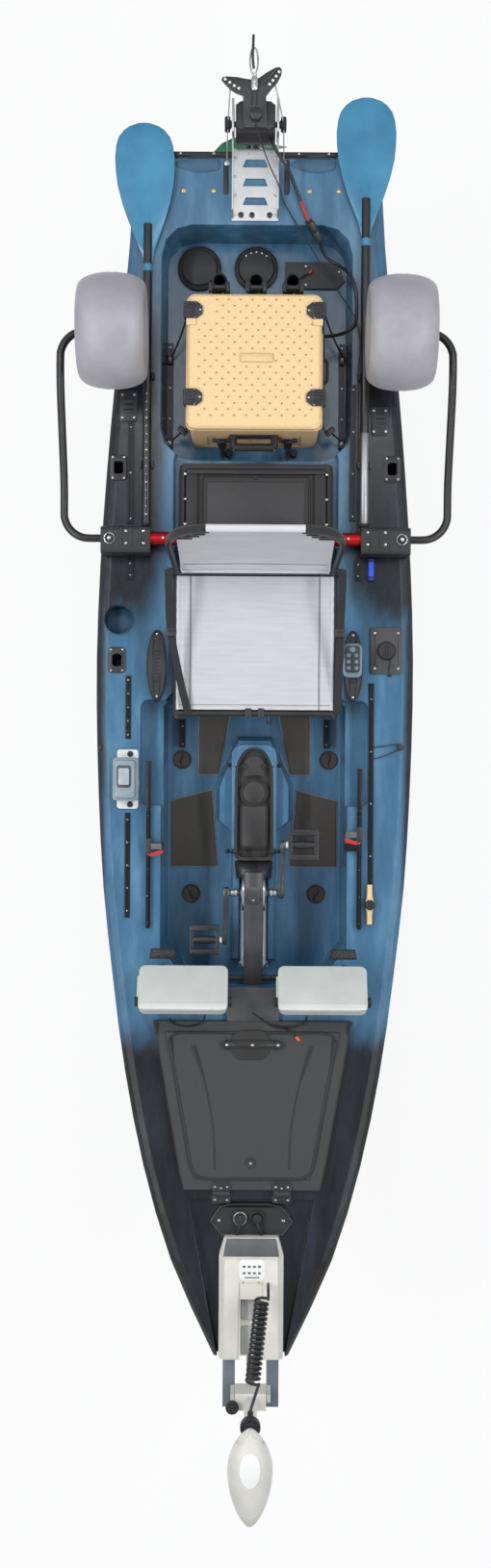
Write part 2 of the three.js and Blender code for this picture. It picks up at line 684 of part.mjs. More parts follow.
function makeControlUnit() {
  const low = DECK_Z + GAP;
  const y = (UNIT.front + UNIT.rear) / 2;
  const length = UNIT.rear - UNIT.front;
  const outline = (inset) => rounded(UNIT.x, y, UNIT.width - 2 * inset, length - 2 * inset, UNIT.corner);
  const body = loft([
    outline(0).map(([px, py]) => [px, py, low]),
    outline(0).map(([px, py]) => [px, py, low + UNIT.height - UNIT.chamfer]),
    outline(UNIT.chamfer / 2).map(([px, py]) => [px, py, low + UNIT.height]),
  ]);
  const right = UNIT.x + UNIT.width / 2;
  return join(body, barX(right - UNIT.knob, right + UNIT.knobReach, y, low + UNIT.height / 2, UNIT.knob,
    12));
}

// Floor pads and the tray over the drive slot
const FLOOR_PAD = { thickness: 6 };
const rearPad = { rear: 233, front: 42, outer: 182, innerRear: 84, innerFront: 120 };
const frontPad = { rear: -13, rearOuter: -48, front: -262, outer: 272, innerRear: 142, innerFront: 122 };
const CONSOLE = { half: 66, front: -240, rear: 131, thickness: 26, corner: 30, rim: 12, ringRadius: 46,
  ringWidth: 9, ringY: -19, floor: 10 };

function makeFloorPad(outline, side) {
  const points = outline.map(([x, y]) => [side * x, y]);
  return prism(points, COCKPIT_FLOOR + GAP, COCKPIT_FLOOR + GAP + FLOOR_PAD.thickness);
}

const rearPadOutline = [
  [rearPad.innerRear, rearPad.rear], [rearPad.outer, rearPad.rear],
  [rearPad.outer, rearPad.front], [rearPad.innerFront, rearPad.front],
];
const frontPadOutline = [
  [frontPad.innerRear, frontPad.rear], [frontPad.outer, frontPad.rearOuter],
  [frontPad.outer, frontPad.front], [frontPad.innerFront, frontPad.front],
];

function makeConsole() {
  const low = HUMP_TOP + GAP;
  const y = (CONSOLE.front + CONSOLE.rear) / 2;
  const length = CONSOLE.rear - CONSOLE.front;
  const outer = rounded(0, y, 2 * CONSOLE.half, length, CONSOLE.corner);
  const inner = rounded(0, y, 2 * (CONSOLE.half - CONSOLE.rim), length - 2 * CONSOLE.rim,
    CONSOLE.corner - CONSOLE.rim);
  const ring = revolve([
    [CONSOLE.ringRadius - CONSOLE.ringWidth, 0], [CONSOLE.ringRadius, 0],
    [CONSOLE.ringRadius, CONSOLE.thickness - CONSOLE.floor],
      [CONSOLE.ringRadius - CONSOLE.ringWidth, CONSOLE.thickness - CONSOLE.floor],
    [CONSOLE.ringRadius - CONSOLE.ringWidth, 0],
  ], 20).translate(0, CONSOLE.ringY, low + CONSOLE.floor - GAP);
  const tray = cut(prism(outer, low, low + CONSOLE.thickness),
    prism(inner, low + CONSOLE.floor, low + CONSOLE.thickness + OVERRUN));
  return join(tray, ring);
}

// Seat on its frame, with a back that folds forward
const SEAT = { half: 250, front: 222, tube: 11, z: 362, legY: [300, 600], crown: 7, pad: 14, corner: 30, flat: 0.8 };
const TRACK = { x: 237, half: 13, height: 21, front: 132, rear: 700 };
const SEAT_LEG_Z = COCKPIT_FLOOR + TRACK.height + GAP;
const BACK = { y: 676, z: 404, topY: 759, topZ: 780, bottomHalf: 245, wideHalf: 256, wideShare: 0.74,
  topHalf: 149, tube: 10, pad: 12 };

function makeSeatFrame() {
  const { half, front, rear, tube, z } = SEAT;
  const sides = [-1, 1].map((side) => barY(front, BACK.y + 2 * tube, side * half, z, tube, 8));
  const crossbars = [front + tube, BACK.y].map((y) => barX(-half, half, y, z, tube, 8));
  const legs = [-1, 1].flatMap((side) => SEAT.legY.map((y) => slabY([
    [side * (TRACK.x - TRACK.half / 2), SEAT_LEG_Z], [side * (TRACK.x + TRACK.half / 2), SEAT_LEG_Z],
    [side * (half + tube / 2), z], [side * (half - tube / 2), z],
  ], y - tube, y + tube)));
  const lugs = [-1, 1].map((side) => slabX(
    [[BACK.y - tube, z], [BACK.y + tube, z], [BACK.y + tube, BACK.z + tube],
      [BACK.y - tube, BACK.z + tube]],
    ...[side * (BACK.wideHalf + BACK.tube + GAP),
      side * (BACK.wideHalf + BACK.tube + tube)].sort((a, b) => a - b),
  ));
  const feet = [-1, 1].map((side) => barX(...[side * half,
    side * (BACK.wideHalf + BACK.tube + tube)].sort((a, b) => a - b),
    BACK.y, z, tube, 8));
  return join(...sides, ...crossbars, ...legs, ...feet, ...lugs);
}

// A quilt-like pad: a crowned grid between two edges, drawn in at its sides
function crowned(width, length, thickness, crown, steps = 8) {
  const ring = (share) => {
    const along = length * (share - 0.5);
    const lift = crown * Math.sin(Math.PI * share);
    const top = Array.from({ length: steps + 1 }, (_, i) => {
      const t = i / steps;
      return [width * (t - 0.5), along, thickness / 2 + lift * Math.sin(Math.PI * t)];
    });
    const bottom = [[width / 2, along, -thickness / 2], [-width / 2, along, -thickness / 2]];
    return [...top, ...bottom];
  };
  return loft(Array.from({ length: steps + 1 }, (_, i) => ring(i / steps)));
}

function makeSeatPad() {
  const width = 2 * (SEAT.half - SEAT.tube + SEAT.flat - GAP);
  const front = SEAT.front + 2 * SEAT.tube - SEAT.flat + GAP;
  const rear = BACK.y - SEAT.tube + SEAT.flat - GAP;
  return crowned(width, rear - front, SEAT.pad, SEAT.crown).translate(0, (front + rear) / 2, SEAT.z);
}

const backLean = Math.atan2(BACK.topY - BACK.y, BACK.topZ - BACK.z);
const backLength = Math.hypot(BACK.topY - BACK.y, BACK.topZ - BACK.z);

// The back is drawn upright about its hinge and then leaned
function leaned(geometry) {
  return geometry.rotateX(-backLean).translate(0, BACK.y, BACK.z);
}

function makeBackFrame() {
  const { bottomHalf, wideHalf, topHalf, wideShare, tube } = BACK;
  const wide = backLength * wideShare;
  const path = [[bottomHalf, 0], [wideHalf, wide], [topHalf, backLength - tube]];
  const sides = [-1, 1].map((side) => bent([
    [side * path[0][0], 0, 0], [side * path[1][0], 0, path[1][1] / 2], [side * path[1][0], 0, path[1][1]],
    [side * (path[1][0] + path[2][0]) / 2, 0, (path[1][1] + path[2][1]) / 2 + tube],
      [side * path[2][0], 0, path[2][1]],
  ], tube, 8, 14));
  const bars = [barX(-topHalf - tube / 2, topHalf + tube / 2, 0, backLength - tube, tube, 8),
    barX(-wideHalf - tube, wideHalf + tube, 0, 0, tube, 8)];
  return leaned(join(...sides, ...bars));
}

function makeBackPad() {
  const { bottomHalf, wideHalf, topHalf, wideShare, tube, pad } = BACK;
  const edge = tube + GAP;
  const low = 2 * tube;
  const high = backLength - 2 * (tube + 2 * GAP);
  const wide = backLength * wideShare - tube;
  const outline = [
    [bottomHalf - edge, low], [wideHalf - edge, wide / 2], [wideHalf - edge, wide],
    [topHalf - GAP, high], [-topHalf + GAP, high], [-wideHalf + edge, wide], [-wideHalf + edge, wide / 2],
      [-bottomHalf + edge, low],
  ];
  return leaned(slabY(outline, -pad / 2, pad / 2));
}

// Pedal drive: a leg that hinges up on its pivot bar, cranks, pedals and a propeller below the hull
const PIVOT = { y: -613, z: 290, radius: 10, half: 178, clampX: 150, clampHalf: 20, clampRear: 16,
  clampHeight: 26 };
const DRIVE = {
  half: 30, hubY: -337, hubZ: 340, hubRadius: 56, legHalf: 17, legDepth: 84,
  podRadius: 27, podZ: -262, podFront: 70, podRear: 66, boss: 17, bore: 11.5,
};
const hubLowShare = 0.8;
const hubHighShare = 0.7;
const CRANK = { length: 165, dip: 20, shaft: 10.9, inner: 79, arm: 18, height: 30, axle: 7 };
const PEDAL = { inner: 108, width: 96, length: 96, height: 26, bore: 7.8, slot: 20 };
const SCREW = { radius: 128, hub: 24, length: 34, blade: 54, thickness: 7, twist: 32 };

// The cockpit's front wall leans forward as it rises
function cockpitFrontAt(z) {
  return COCKPIT_FRONT_Y + WALL_DRAFT * (CUT_TOP - z) / (CUT_TOP - COCKPIT_FLOOR);
}

function makePivotBar() {
  const bar = barX(-PIVOT.half, PIVOT.half, PIVOT.y, PIVOT.z, PIVOT.radius);
  const clamps = [-1, 1].map((side) => box(
    side * PIVOT.clampX - PIVOT.clampHalf,
    side * PIVOT.clampX + PIVOT.clampHalf,
    cockpitFrontAt(PIVOT.z - PIVOT.clampHeight) + GAP,
    PIVOT.y + PIVOT.clampRear,
    PIVOT.z - PIVOT.clampHeight,
    PIVOT.z + PIVOT.clampHeight,
  ));
  return join(bar, ...clamps);
}

function makeDriveUnit() {
  const { half, hubY, hubZ, hubRadius, legHalf, legDepth, podZ, podRadius, bore } = DRIVE;
  const spine = join(
    slabX([
      [PIVOT.y, PIVOT.z - DRIVE.boss / 2], [hubY, hubZ - hubRadius * hubLowShare],
      [hubY, hubZ + hubRadius * hubHighShare], [PIVOT.y, PIVOT.z + DRIVE.boss],
    ], -half, half),
    barX(-half, half, PIVOT.y, PIVOT.z, DRIVE.boss, 16),
  );
  const head = barX(-half, half, hubY, hubZ, hubRadius, 20);
  const leg = loft([[hubZ, 1.1], [HUMP_TOP, 1], [podZ, 0.7]].map(([z, share]) => [
    [0, hubY - legDepth / 2 * share, z], [legHalf * share, hubY, z],
      [legHalf * share / 2, hubY + legDepth / 4, z],
    [0, hubY + legDepth / 2 * share, z], [-legHalf * share / 2, hubY + legDepth / 4, z],
      [-legHalf * share, hubY, z],
  ]));
  const pod = revolve([
    [0, -DRIVE.podFront], [podRadius * 0.7, -DRIVE.podFront * 0.7], [podRadius, 0],
    [podRadius, DRIVE.podRear * 0.6], [SCREW.hub, DRIVE.podRear], [0, DRIVE.podRear],
  ], 16).rotateX(-Math.PI / 2).translate(0, hubY, podZ);
  return cut(
    join(spine, head, leg, pod),
    barX(-half - OVERRUN, half + OVERRUN, hubY, hubZ, bore, 16),
    barX(-half - OVERRUN, half + OVERRUN, PIVOT.y, PIVOT.z, PIVOT.radius + 2 * GAP, 16),
  );
}

function crankEnd(side) {
  const angle = THREE.MathUtils.degToRad(CRANK.dip);
  return [DRIVE.hubY + side * CRANK.length * Math.cos(angle),
    DRIVE.hubZ + side * CRANK.length * Math.sin(angle)];
}

function makeCrank() {
  const arms = [-1, 1].map((side) => {
    const [y, z] = crankEnd(side);
    const along = new THREE.Vector2(y - DRIVE.hubY, z - DRIVE.hubZ).normalize();
    const across = [-along.y * CRANK.height / 2, along.x * CRANK.height / 2];
    const outline = [
      [DRIVE.hubY - along.x * CRANK.height / 2 + across[0],
        DRIVE.hubZ - along.y * CRANK.height / 2 + across[1]],
      [y + along.x * CRANK.arm / 2 + across[0] / 2, z + along.y * CRANK.arm / 2 + across[1] / 2],
      [y + along.x * CRANK.arm / 2 - across[0] / 2, z + along.y * CRANK.arm / 2 - across[1] / 2],
      [DRIVE.hubY - along.x * CRANK.height / 2 - across[0],
        DRIVE.hubZ - along.y * CRANK.height / 2 - across[1]],
    ];
    const ends = [side * CRANK.inner, side * (CRANK.inner + CRANK.arm)].sort((a, b) => a - b);
    const axle = [side * CRANK.inner,
      side * (CRANK.inner + CRANK.arm + PEDAL.width * 0.9)].sort((a, b) => a - b);
    return join(slabX(outline, ...ends), barX(...axle, y, z, CRANK.axle, 10));
  });
  const reach = CRANK.inner + CRANK.arm / 2;
  return join(...arms, barX(-reach, reach, DRIVE.hubY, DRIVE.hubZ, CRANK.shaft, 12));
}

function makePedal(side) {
  const [y, z] = crankEnd(side);
  const ends = [side * PEDAL.inner, side * (PEDAL.inner + PEDAL.width)].sort((a, b) => a - b);
  const body = slabX(rounded(y, z, PEDAL.length, PEDAL.height, PEDAL.height / 4, 1), ...ends);
  const windows = [-1, 1].flatMap((turn) => [0.3, 0.7].map((share) => box(
    ends[0] + PEDAL.width * share - PEDAL.slot / 2, ends[0] + PEDAL.width * share + PEDAL.slot / 2,
    y + turn * PEDAL.length * 0.28 - PEDAL.slot / 2, y + turn * PEDAL.length * 0.28 + PEDAL.slot / 2,
    z - PEDAL.height, z + PEDAL.height,
  )));
  return cut(body, barX(ends[0] - OVERRUN, ends[1] + OVERRUN, y, z, PEDAL.bore, 12), ...windows);
}

const bladeChordShares = [0.5, 1, 0.9, 0.35];
const bladeThicknessShares = [1.2, 1, 0.7, 0.4];

// A propeller on an axis along Y: a hub with lofted, twisted blades
function makePropeller(size, blades) {
  const { radius, hub, length, blade, thickness, twist } = size;
  const stations = [hub * 0.6, radius * 0.35, radius * 0.7, radius];
  const one = loft(stations.map((r, i) => {
    const chord = blade * bladeChordShares[i];
    const thick = thickness * bladeThicknessShares[i];
    const angle = THREE.MathUtils.degToRad(twist * (1.9 - i * 0.35));
    return [[-chord / 2, 0], [0, thick / 2], [chord / 2, 0], [0, -thick / 2]].map(([u, v]) => [
      u * Math.cos(angle) - v * Math.sin(angle), u * Math.sin(angle) + v * Math.cos(angle), r,
    ]);
  }));
  const turned = Array.from({ length: blades }, (_, i) => one.clone().rotateY(2 * Math.PI * i / blades));
  const boss = revolve([[0, -length / 2], [hub, -length / 2], [hub * 0.9, length / 3],
    [hub * 0.4, length / 2], [0, length / 2]], 16);
  return join(boss.rotateX(-Math.PI / 2), ...turned);
}
const driveScrewY = DRIVE.hubY + DRIVE.podRear + GAP + SCREW.length / 2;

// Bow hatch lid with its ridge panel, handle and hinge knuckles
const HATCH = { thickness: 18, panel: 34, panelHeight: 5, handle: 185, handleDepth: 26, handleHeight: 14,
  handleY: -812, gap: 4 };
const HATCH_HINGE = { x: 95, width: 54, radius: 9, depth: 26 };
const hatchHingeY = HATCH_FRONT_Y - HATCH_HINGE.radius - HATCH.gap;

// A plate on the rising foredeck, between two heights above it
function deckPlateOn(points, low, high) {
  return loft([low, high].map((rise) => points.map(([x, y]) => [x, y, sheer(y) + rise])));
}

function hatchOutline(inset) {
  return mirrored([
    [HATCH_FRONT_HALF - inset, HATCH_FRONT_Y + inset],
    [HATCH_REAR_HALF - inset, HATCH_REAR_Y - inset],
  ]);
}

function makeHatchLid() {
  const top = GAP + HATCH.thickness;
  const lid = deckPlateOn(hatchOutline(0), GAP, top);
  const panel = deckPlateOn(hatchOutline(HATCH.panel), top - HATCH.panelHeight, top + HATCH.panelHeight);
  const z = sheer(HATCH.handleY) + top;
  const handle = prism(rounded(0, HATCH.handleY, HATCH.handle, HATCH.handleDepth, HATCH.handleDepth / 2), z,
    z + HATCH.handleHeight);
  const hingeZ = sheer(hatchHingeY) + GAP + HATCH_HINGE.radius;
  const knuckles = [-1, 1].map((side) => join(
    barX(side * HATCH_HINGE.x - HATCH_HINGE.width / 2, side * HATCH_HINGE.x + HATCH_HINGE.width / 2,
      hatchHingeY, hingeZ, HATCH_HINGE.radius, 10),
    box(
      side * HATCH_HINGE.x - HATCH_HINGE.width / 2, side * HATCH_HINGE.x + HATCH_HINGE.width / 2,
      hatchHingeY, HATCH_FRONT_Y + HATCH_HINGE.depth, hingeZ, hingeZ + HATCH_HINGE.radius,
    ),
  ));
  return join(lid, panel, handle, ...knuckles);
}

// Dash plate with the two display stands, and the displays
const DASH = { half: 78, rear: -650, front: -732, thickness: 12, corner: 14 };
const DISPLAY = { width: 273, depth: 150, thickness: 42, tilt: 32, corner: 20, x: 216, y: -655, z: 470,
  back: 16, knob: 13, knobOut: 12 };
const STAND = { width: 120, depth: 56, plate: 9, post: 26, earGap: 0.6, ear: 10, pin: 8, drop: 18 };

function makeDash() {
  const y = (DASH.rear + DASH.front) / 2;
  return deckPlateOn(rounded(0, y, 2 * DASH.half, DASH.rear - DASH.front, DASH.corner), GAP,
    GAP + DASH.thickness);
}

const displayPin = { y: DISPLAY.y, z: DISPLAY.z - DISPLAY.thickness / 2 - STAND.drop };

function makeDisplayStand(side) {
  const x = side * DISPLAY.x;
  const outline = rounded(x, displayPin.y - STAND.post / 2, STAND.width, STAND.depth, STAND.plate);
  const foot = deckPlateOn(outline, -GAP, STAND.plate);
  const low = sheer(displayPin.y);
  const post = box(x - STAND.post / 2, x + STAND.post / 2, displayPin.y - STAND.post / 2,
    displayPin.y + STAND.post / 2, low + STAND.plate / 2, displayPin.z);
  const pin = barX(x - STAND.post / 2 - STAND.ear, x + STAND.post / 2 + STAND.ear, displayPin.y,
    displayPin.z, STAND.pin, 12);
  return join(foot, post, barX(x - STAND.post / 2, x + STAND.post / 2, displayPin.y, displayPin.z,
    STAND.post / 2, 12), pin);
}

function makeDisplay(side) {
  const x = side * DISPLAY.x;
  const face = rounded(0, 0, DISPLAY.width, DISPLAY.depth, DISPLAY.corner);
  const inner = rounded(0, 0, DISPLAY.width - DISPLAY.back, DISPLAY.depth - DISPLAY.back, DISPLAY.corner);
  const half = DISPLAY.thickness / 2;
  const body = loft([
    inner.map(([u, v]) => [u, v, -half]),
    face.map(([u, v]) => [u, v, -half / 2]),
    face.map(([u, v]) => [u, v, half]),
  ]);
  const bend = THREE.MathUtils.degToRad(-DISPLAY.tilt);
  const reach = STAND.post / 2 + STAND.earGap;
  const ears = [-1, 1].map((turn) => {
    const ends = [turn * reach, turn * (reach + STAND.ear)].sort((a, b) => a - b);
    const outline = [[-STAND.post / 2, 0], [STAND.post / 2, 0],
      [STAND.post / 3, -STAND.drop - half - STAND.pin], [-STAND.post / 3, -STAND.drop - half - STAND.pin]];
    return slabX(outline, ...ends);
  });
  const bore = barX(-STAND.width, STAND.width, 0, -half - STAND.drop, STAND.pin + 2 * GAP, 12);
  const knobs = [-1, 1].map((turn) => barX(
    ...[turn * (DISPLAY.width / 2 - DISPLAY.knob),
      turn * (DISPLAY.width / 2 + DISPLAY.knobOut)].sort((a, b) => a - b),
    -DISPLAY.depth / 4, 0, DISPLAY.knob, 10,
  ));
  const whole = cut(join(body, ...ears, ...knobs), bore);
  return whole.translate(0, 0, half + STAND.drop).rotateX(bend).translate(x, displayPin.y, displayPin.z);
}

// Connector plate and bow motor: mount housing, tilting cradle with collar tube, shaft, head and propeller
const CONNECTOR = { half: 121, depth: 84, y: BOW_Y + 416, thickness: 10, socketX: [-36, 18], socketRear: 9,
  socket: 15, rise: 16 };
const MOUNT = {
  rearHalf: 84, frontHalf: 101, rear: BOW_Y + 372, front: BOW_Y - 6, height: 60, chamfer: 16, shoulderY: BOW_Y + 314,
  channelHalf: 33, channelRear: BOW_Y + 183, channelFloor: 20, rampInner: 50, rampOuter: 86, rampFront: BOW_Y - 154,
  rampRise: 18, rampHeight: 30, cheek: 24, cheekTop: 28,
};
const BOW_PIVOT = { y: BOW_Y - 109, z: 474, pin: 8 };
const CRADLE = { half: 48, depth: 52, low: 428, high: 520, bore: 15, tube: 20, top: 732, collar: 27,
  collarHeight: 26 };
const BOW_SHAFT = { radius: 14, low: -455, high: 775, podRadius: 46, podFront: 190, podRear: 150,
  podZ: -470 };
const HEAD = { half: 67, front: -274, rear: 9, low: 24, high: 66, base: 760 };
const BOW_SCREW = { radius: 132, hub: 34, length: 46, blade: 70, thickness: 8, twist: 34 };

function makeConnector() {
  const low = BOW_DECK_Z + GAP;
  const plate = prism(rounded(0, CONNECTOR.y, 2 * CONNECTOR.half, CONNECTOR.depth, CONNECTOR.depth / 3),
    low, low + CONNECTOR.thickness);
  const sockets = CONNECTOR.socketX.map((x) => barZ(low, low + CONNECTOR.thickness + CONNECTOR.rise, x,
    CONNECTOR.y + CONNECTOR.socketRear, CONNECTOR.socket, 12));
  return join(plate, ...sockets);
}

function makeBowMount() {
  const low = BOW_DECK_Z + GAP;
  const high = low + MOUNT.height;
  const outline = (inset) => mirrored([
    [MOUNT.frontHalf - inset, MOUNT.front], [MOUNT.frontHalf - inset, MOUNT.shoulderY],
      [MOUNT.rearHalf - inset, MOUNT.rear - inset],
  ]);
  const body = loft([
    outline(0).map(([x, y]) => [x, y, low]),
    outline(0).map(([x, y]) => [x, y, high - MOUNT.chamfer]),
    outline(MOUNT.chamfer).map(([x, y]) => [x, y, high]),
  ]);
  const channel = box(-MOUNT.channelHalf, MOUNT.channelHalf, MOUNT.front - OVERRUN, MOUNT.channelRear,
    low + MOUNT.channelFloor, high + OVERRUN);
  const ramps = [-1, 1].map((side) => {
    const ends = [side * MOUNT.rampInner, side * MOUNT.rampOuter].sort((a, b) => a - b);
    const ramp = slabX([
      [MOUNT.front + OVERRUN, low + MOUNT.rampRise],
        [MOUNT.rampFront, low + MOUNT.rampRise + MOUNT.rampHeight / 2],
      [MOUNT.rampFront, low + MOUNT.rampRise + MOUNT.rampHeight],
        [MOUNT.front + OVERRUN, high - MOUNT.chamfer],
    ], ...ends);
    const cheekEnds = [side * MOUNT.rampInner,
      side * (MOUNT.rampInner + MOUNT.cheek / 2)].sort((a, b) => a - b);
    const cheek = slabX([
      [BOW_PIVOT.y - MOUNT.cheek, low + MOUNT.rampRise + MOUNT.rampHeight / 2],
      [BOW_PIVOT.y + MOUNT.cheek, low + MOUNT.rampRise + MOUNT.rampHeight / 2],
      [BOW_PIVOT.y + MOUNT.cheek / 2, BOW_PIVOT.z + MOUNT.cheekTop / 2],
      [BOW_PIVOT.y - MOUNT.cheek / 2, BOW_PIVOT.z + MOUNT.cheekTop / 2],
    ], ...cheekEnds);
    const bore = barX(cheekEnds[0] - OVERRUN, cheekEnds[1] + OVERRUN, BOW_PIVOT.y, BOW_PIVOT.z,
      BOW_PIVOT.pin + GAP, 16);
    return join(ramp, cut(cheek, bore));
  });
  return join(cut(body, channel), ...ramps);
}

function makeCradle() {
  const { y, z, pin } = BOW_PIVOT;
  const block = box(-CRADLE.half, CRADLE.half, y - CRADLE.depth / 2, y + CRADLE.depth / 2, CRADLE.low,
    CRADLE.high);
  const pinReach = MOUNT.rampInner + MOUNT.cheek / 2;
  const parts = [
    barX(-pinReach, pinReach, y, z, pin, 12),
    barZ(CRADLE.low, CRADLE.top, 0, y, CRADLE.tube, 14),
    barZ(CRADLE.top - CRADLE.collarHeight, CRADLE.top, 0, y, CRADLE.collar, 14),
  ];
  return cut(join(block, ...parts),
    barZ(CRADLE.low - OVERRUN, CRADLE.top + OVERRUN, 0, y, CRADLE.bore, 14));
}

// A torpedo along Y: round nose, straight middle, tapered tail
function torpedo(radius, front, rear, tail) {
  return revolve([
    [0, -front], [radius * 0.5, -front * 0.93], [radius * 0.85, -front * 0.75], [radius, -front * 0.45],
    [radius, rear * 0.5], [tail, rear], [0, rear],
  ], 18).rotateX(-Math.PI / 2);
}

function makeBowShaft() {
  const { radius, low, high, podRadius, podFront, podRear, podZ } = BOW_SHAFT;
  const pod = torpedo(podRadius, podFront, podRear, BOW_SCREW.hub);
  return join(barZ(low, high, 0, 0, radius, 14), pod.rotateX(Math.PI).rotateZ(Math.PI)
    .translate(0, 0, podZ)).translate(0, BOW_PIVOT.y, 0);
}

// The egg-shaped head reaches forward of the shaft, on top of it
function makeBowHead() {
  const count = 9;
  const rings = Array.from({ length: count }, (_, i) => {
    const share = 0.02 + 0.96 * i / (count - 1);
    const y = HEAD.rear + (HEAD.front - HEAD.rear) * share;
    const swell = Math.sqrt(Math.max(0, Math.sin(Math.PI * share ** eggShare)));
    return Array.from({ length: 14 }, (_, k) => {
      const angle = 2 * Math.PI * k / 14;
      const lift = Math.sin(angle) > 0 ? HEAD.high : HEAD.low;
      return [HEAD.half * swell * Math.cos(angle), y, lift * swell * Math.sin(angle)];
    });
  });
  const head = loft(rings).translate(0, BOW_PIVOT.y, HEAD.base + HEAD.low);
  const neck = barZ(CRADLE.top + GAP, HEAD.base + HEAD.low, 0, BOW_PIVOT.y, CRADLE.tube, 14);
  const bore = barZ(CRADLE.top - OVERRUN, BOW_SHAFT.high + GAP, 0, BOW_PIVOT.y, BOW_SHAFT.radius + GAP, 14);
  return cut(join(head, neck), bore);
}
const eggShare = 0.85;

// Stern motor: deck bracket, tilting housing, steering arm on its shaft, propeller
const MOTOR = {
  x: -8, pivotY: 2086, pivotZ: 392, plateHalf: 74, plateFront: 1795, plateRear: 2024, plate: 7, flange: 30,
    flangeWidth: 5,
  cheek: 8, boss: 17, pin: 9, windowFront: 40, windowRear: 30, windowDepth: 24, windowY: [1845, 1905, 1965],
  housing: 61, housingHalf: 62, knob: 13, knobReach: 20, knobLength: 18, bore: 16, neck: 30, neckLow: 300,
};
const STEER = { shaft: 15, low: -170, high: 474, plate: 10, yokeHalf: 36, yokeRear: 40, reach: 150,
  spread: 34.5, turn: 6.5, arm: 26, collar: 24 };
const POD = { radius: 48, front: 120, rear: 138, z: -180, fin: 120, finDepth: 110 };
const STERN_SCREW = { radius: 144, hub: 30, length: 42, blade: 72, thickness: 8, twist: 32 };

function makeMotorBracket() {
  const { x, plateHalf, plateFront, plateRear, plate, flange, flangeWidth, pivotY, pivotZ } = MOTOR;
  const low = DECK_Z + GAP;
  const windows = MOTOR.windowY.map((y) => prism([
    [x - MOTOR.windowFront, y], [x + MOTOR.windowFront, y], [x + MOTOR.windowRear, y + MOTOR.windowDepth],
      [x - MOTOR.windowRear, y + MOTOR.windowDepth],
  ], low - OVERRUN, low + plate + OVERRUN));
  const base = cut(box(x - plateHalf, x + plateHalf, plateFront, plateRear, low, low + plate), ...windows);
  const sides = [-1, 1].map((side) => {
    const edge = x + side * plateHalf;
    const ends = [edge, edge - side * flangeWidth].sort((a, b) => a - b);
    return slabX([
      [plateFront, low], [pivotY + MOTOR.boss, low], [pivotY + MOTOR.boss, pivotZ + MOTOR.boss],
      [pivotY - MOTOR.boss, pivotZ + MOTOR.boss], [STERN_Y - flange, low + flange],
        [plateFront + flange, low + flange],
    ], ...ends);
  });
  const bore = barX(x - plateHalf - OVERRUN, x + plateHalf + OVERRUN, pivotY, pivotZ, MOTOR.pin + GAP, 16);
  return cut(join(base, ...sides), bore);
}

function makeSternHousing() {
  const { x, pivotY, pivotZ, housing, housingHalf, pin, plateHalf, knob, knobReach, knobLength, bore, neck,
    neckLow } = MOTOR;
  const drum = barX(x - housingHalf, x + housingHalf, pivotY, pivotZ, housing, 20);
  const reach = plateHalf + knobReach;
  const pins = [-1, 1].map((side) => barX(...[x, x + side * reach].sort((a, b) => a - b), pivotY, pivotZ,
    pin, 12));
  const knobs = [-1, 1].map((side) => barX(
    ...[x + side * (reach - knobLength), x + side * reach].sort((a, b) => a - b), pivotY, pivotZ, knob, 12,
  ));
  const sleeve = barZ(neckLow, pivotZ, x, pivotY, neck, 14);
  return cut(join(drum, ...pins, ...knobs, sleeve),
    barZ(neckLow - OVERRUN, pivotZ + housing + OVERRUN, x, pivotY, bore, 14));
}

function makeSteering() {
  const low = MOTOR.pivotZ + MOTOR.housing + GAP;
  const yoke = box(-STEER.yokeHalf, STEER.yokeHalf, -STEER.yokeRear, STEER.yokeRear + STEER.arm, low,
    low + STEER.plate);
  const arms = [-1, 1].map((side) => {
    const angle = THREE.MathUtils.degToRad(90 - side * STEER.spread);
    const tip = [STEER.reach * Math.cos(angle), STEER.reach * Math.sin(angle)];
    return prism([[0, 0], [side * STEER.yokeHalf, STEER.yokeRear / 2], tip,
      [tip[0] - side * STEER.arm, tip[1] + STEER.arm / 3], [0, STEER.yokeRear + STEER.arm]]
      .slice(0, 5), low, low + STEER.plate);
  });
  const shaft = barZ(STEER.low, low + STEER.plate + STEER.collar, 0, 0, STEER.shaft, 14);
  const pod = torpedo(POD.radius, POD.front, POD.rear, STERN_SCREW.hub).translate(0, 0, POD.z);
  const fin = slabX([[-POD.finDepth / 4, POD.z], [POD.finDepth / 2, POD.z],
    [POD.finDepth / 4, POD.z - POD.fin], [0, POD.z - POD.fin]], -STEER.plate / 2, STEER.plate / 2);
  return join(yoke, ...arms, shaft, pod, fin)
    .rotateZ(THREE.MathUtils.degToRad(STEER.turn)).translate(MOTOR.x, MOTOR.pivotY, 0);
}

// A propeller behind its pod, turned with the motor about the upright shaft
function makeSternScrew() {
  return makePropeller(STERN_SCREW, 3)
    .translate(0, POD.rear + GAP + STERN_SCREW.length / 2, POD.z)
    .rotateZ(THREE.MathUtils.degToRad(STEER.turn)).translate(MOTOR.x, MOTOR.pivotY, 0);
}

// Paddle halves lying on the side decks
const PADDLE = {
  shaft: 14, thickness: 14, length: 440, half: 95,
  left: { x: -347, tipX: -361, tip: STERN_Y + 84, shaftEnd: BRACKET.rear + 18 },
  right: { x: 343, tipX: 343, tip: STERN_Y + 168, shaftEnd: BRACKET.rear + 18 },
};
const PADDLE_Z = DECK_Z + GAP + PADDLE.shaft;
// half-width as a share of the blade's, at shares of its length from the shaft
const bladeShares = [[0, 0.16], [0.12, 0.3], [0.3, 0.62], [0.55, 0.94], [0.75, 1], [0.9, 0.86],
  [0.97, 0.55], [1, 0.2]];

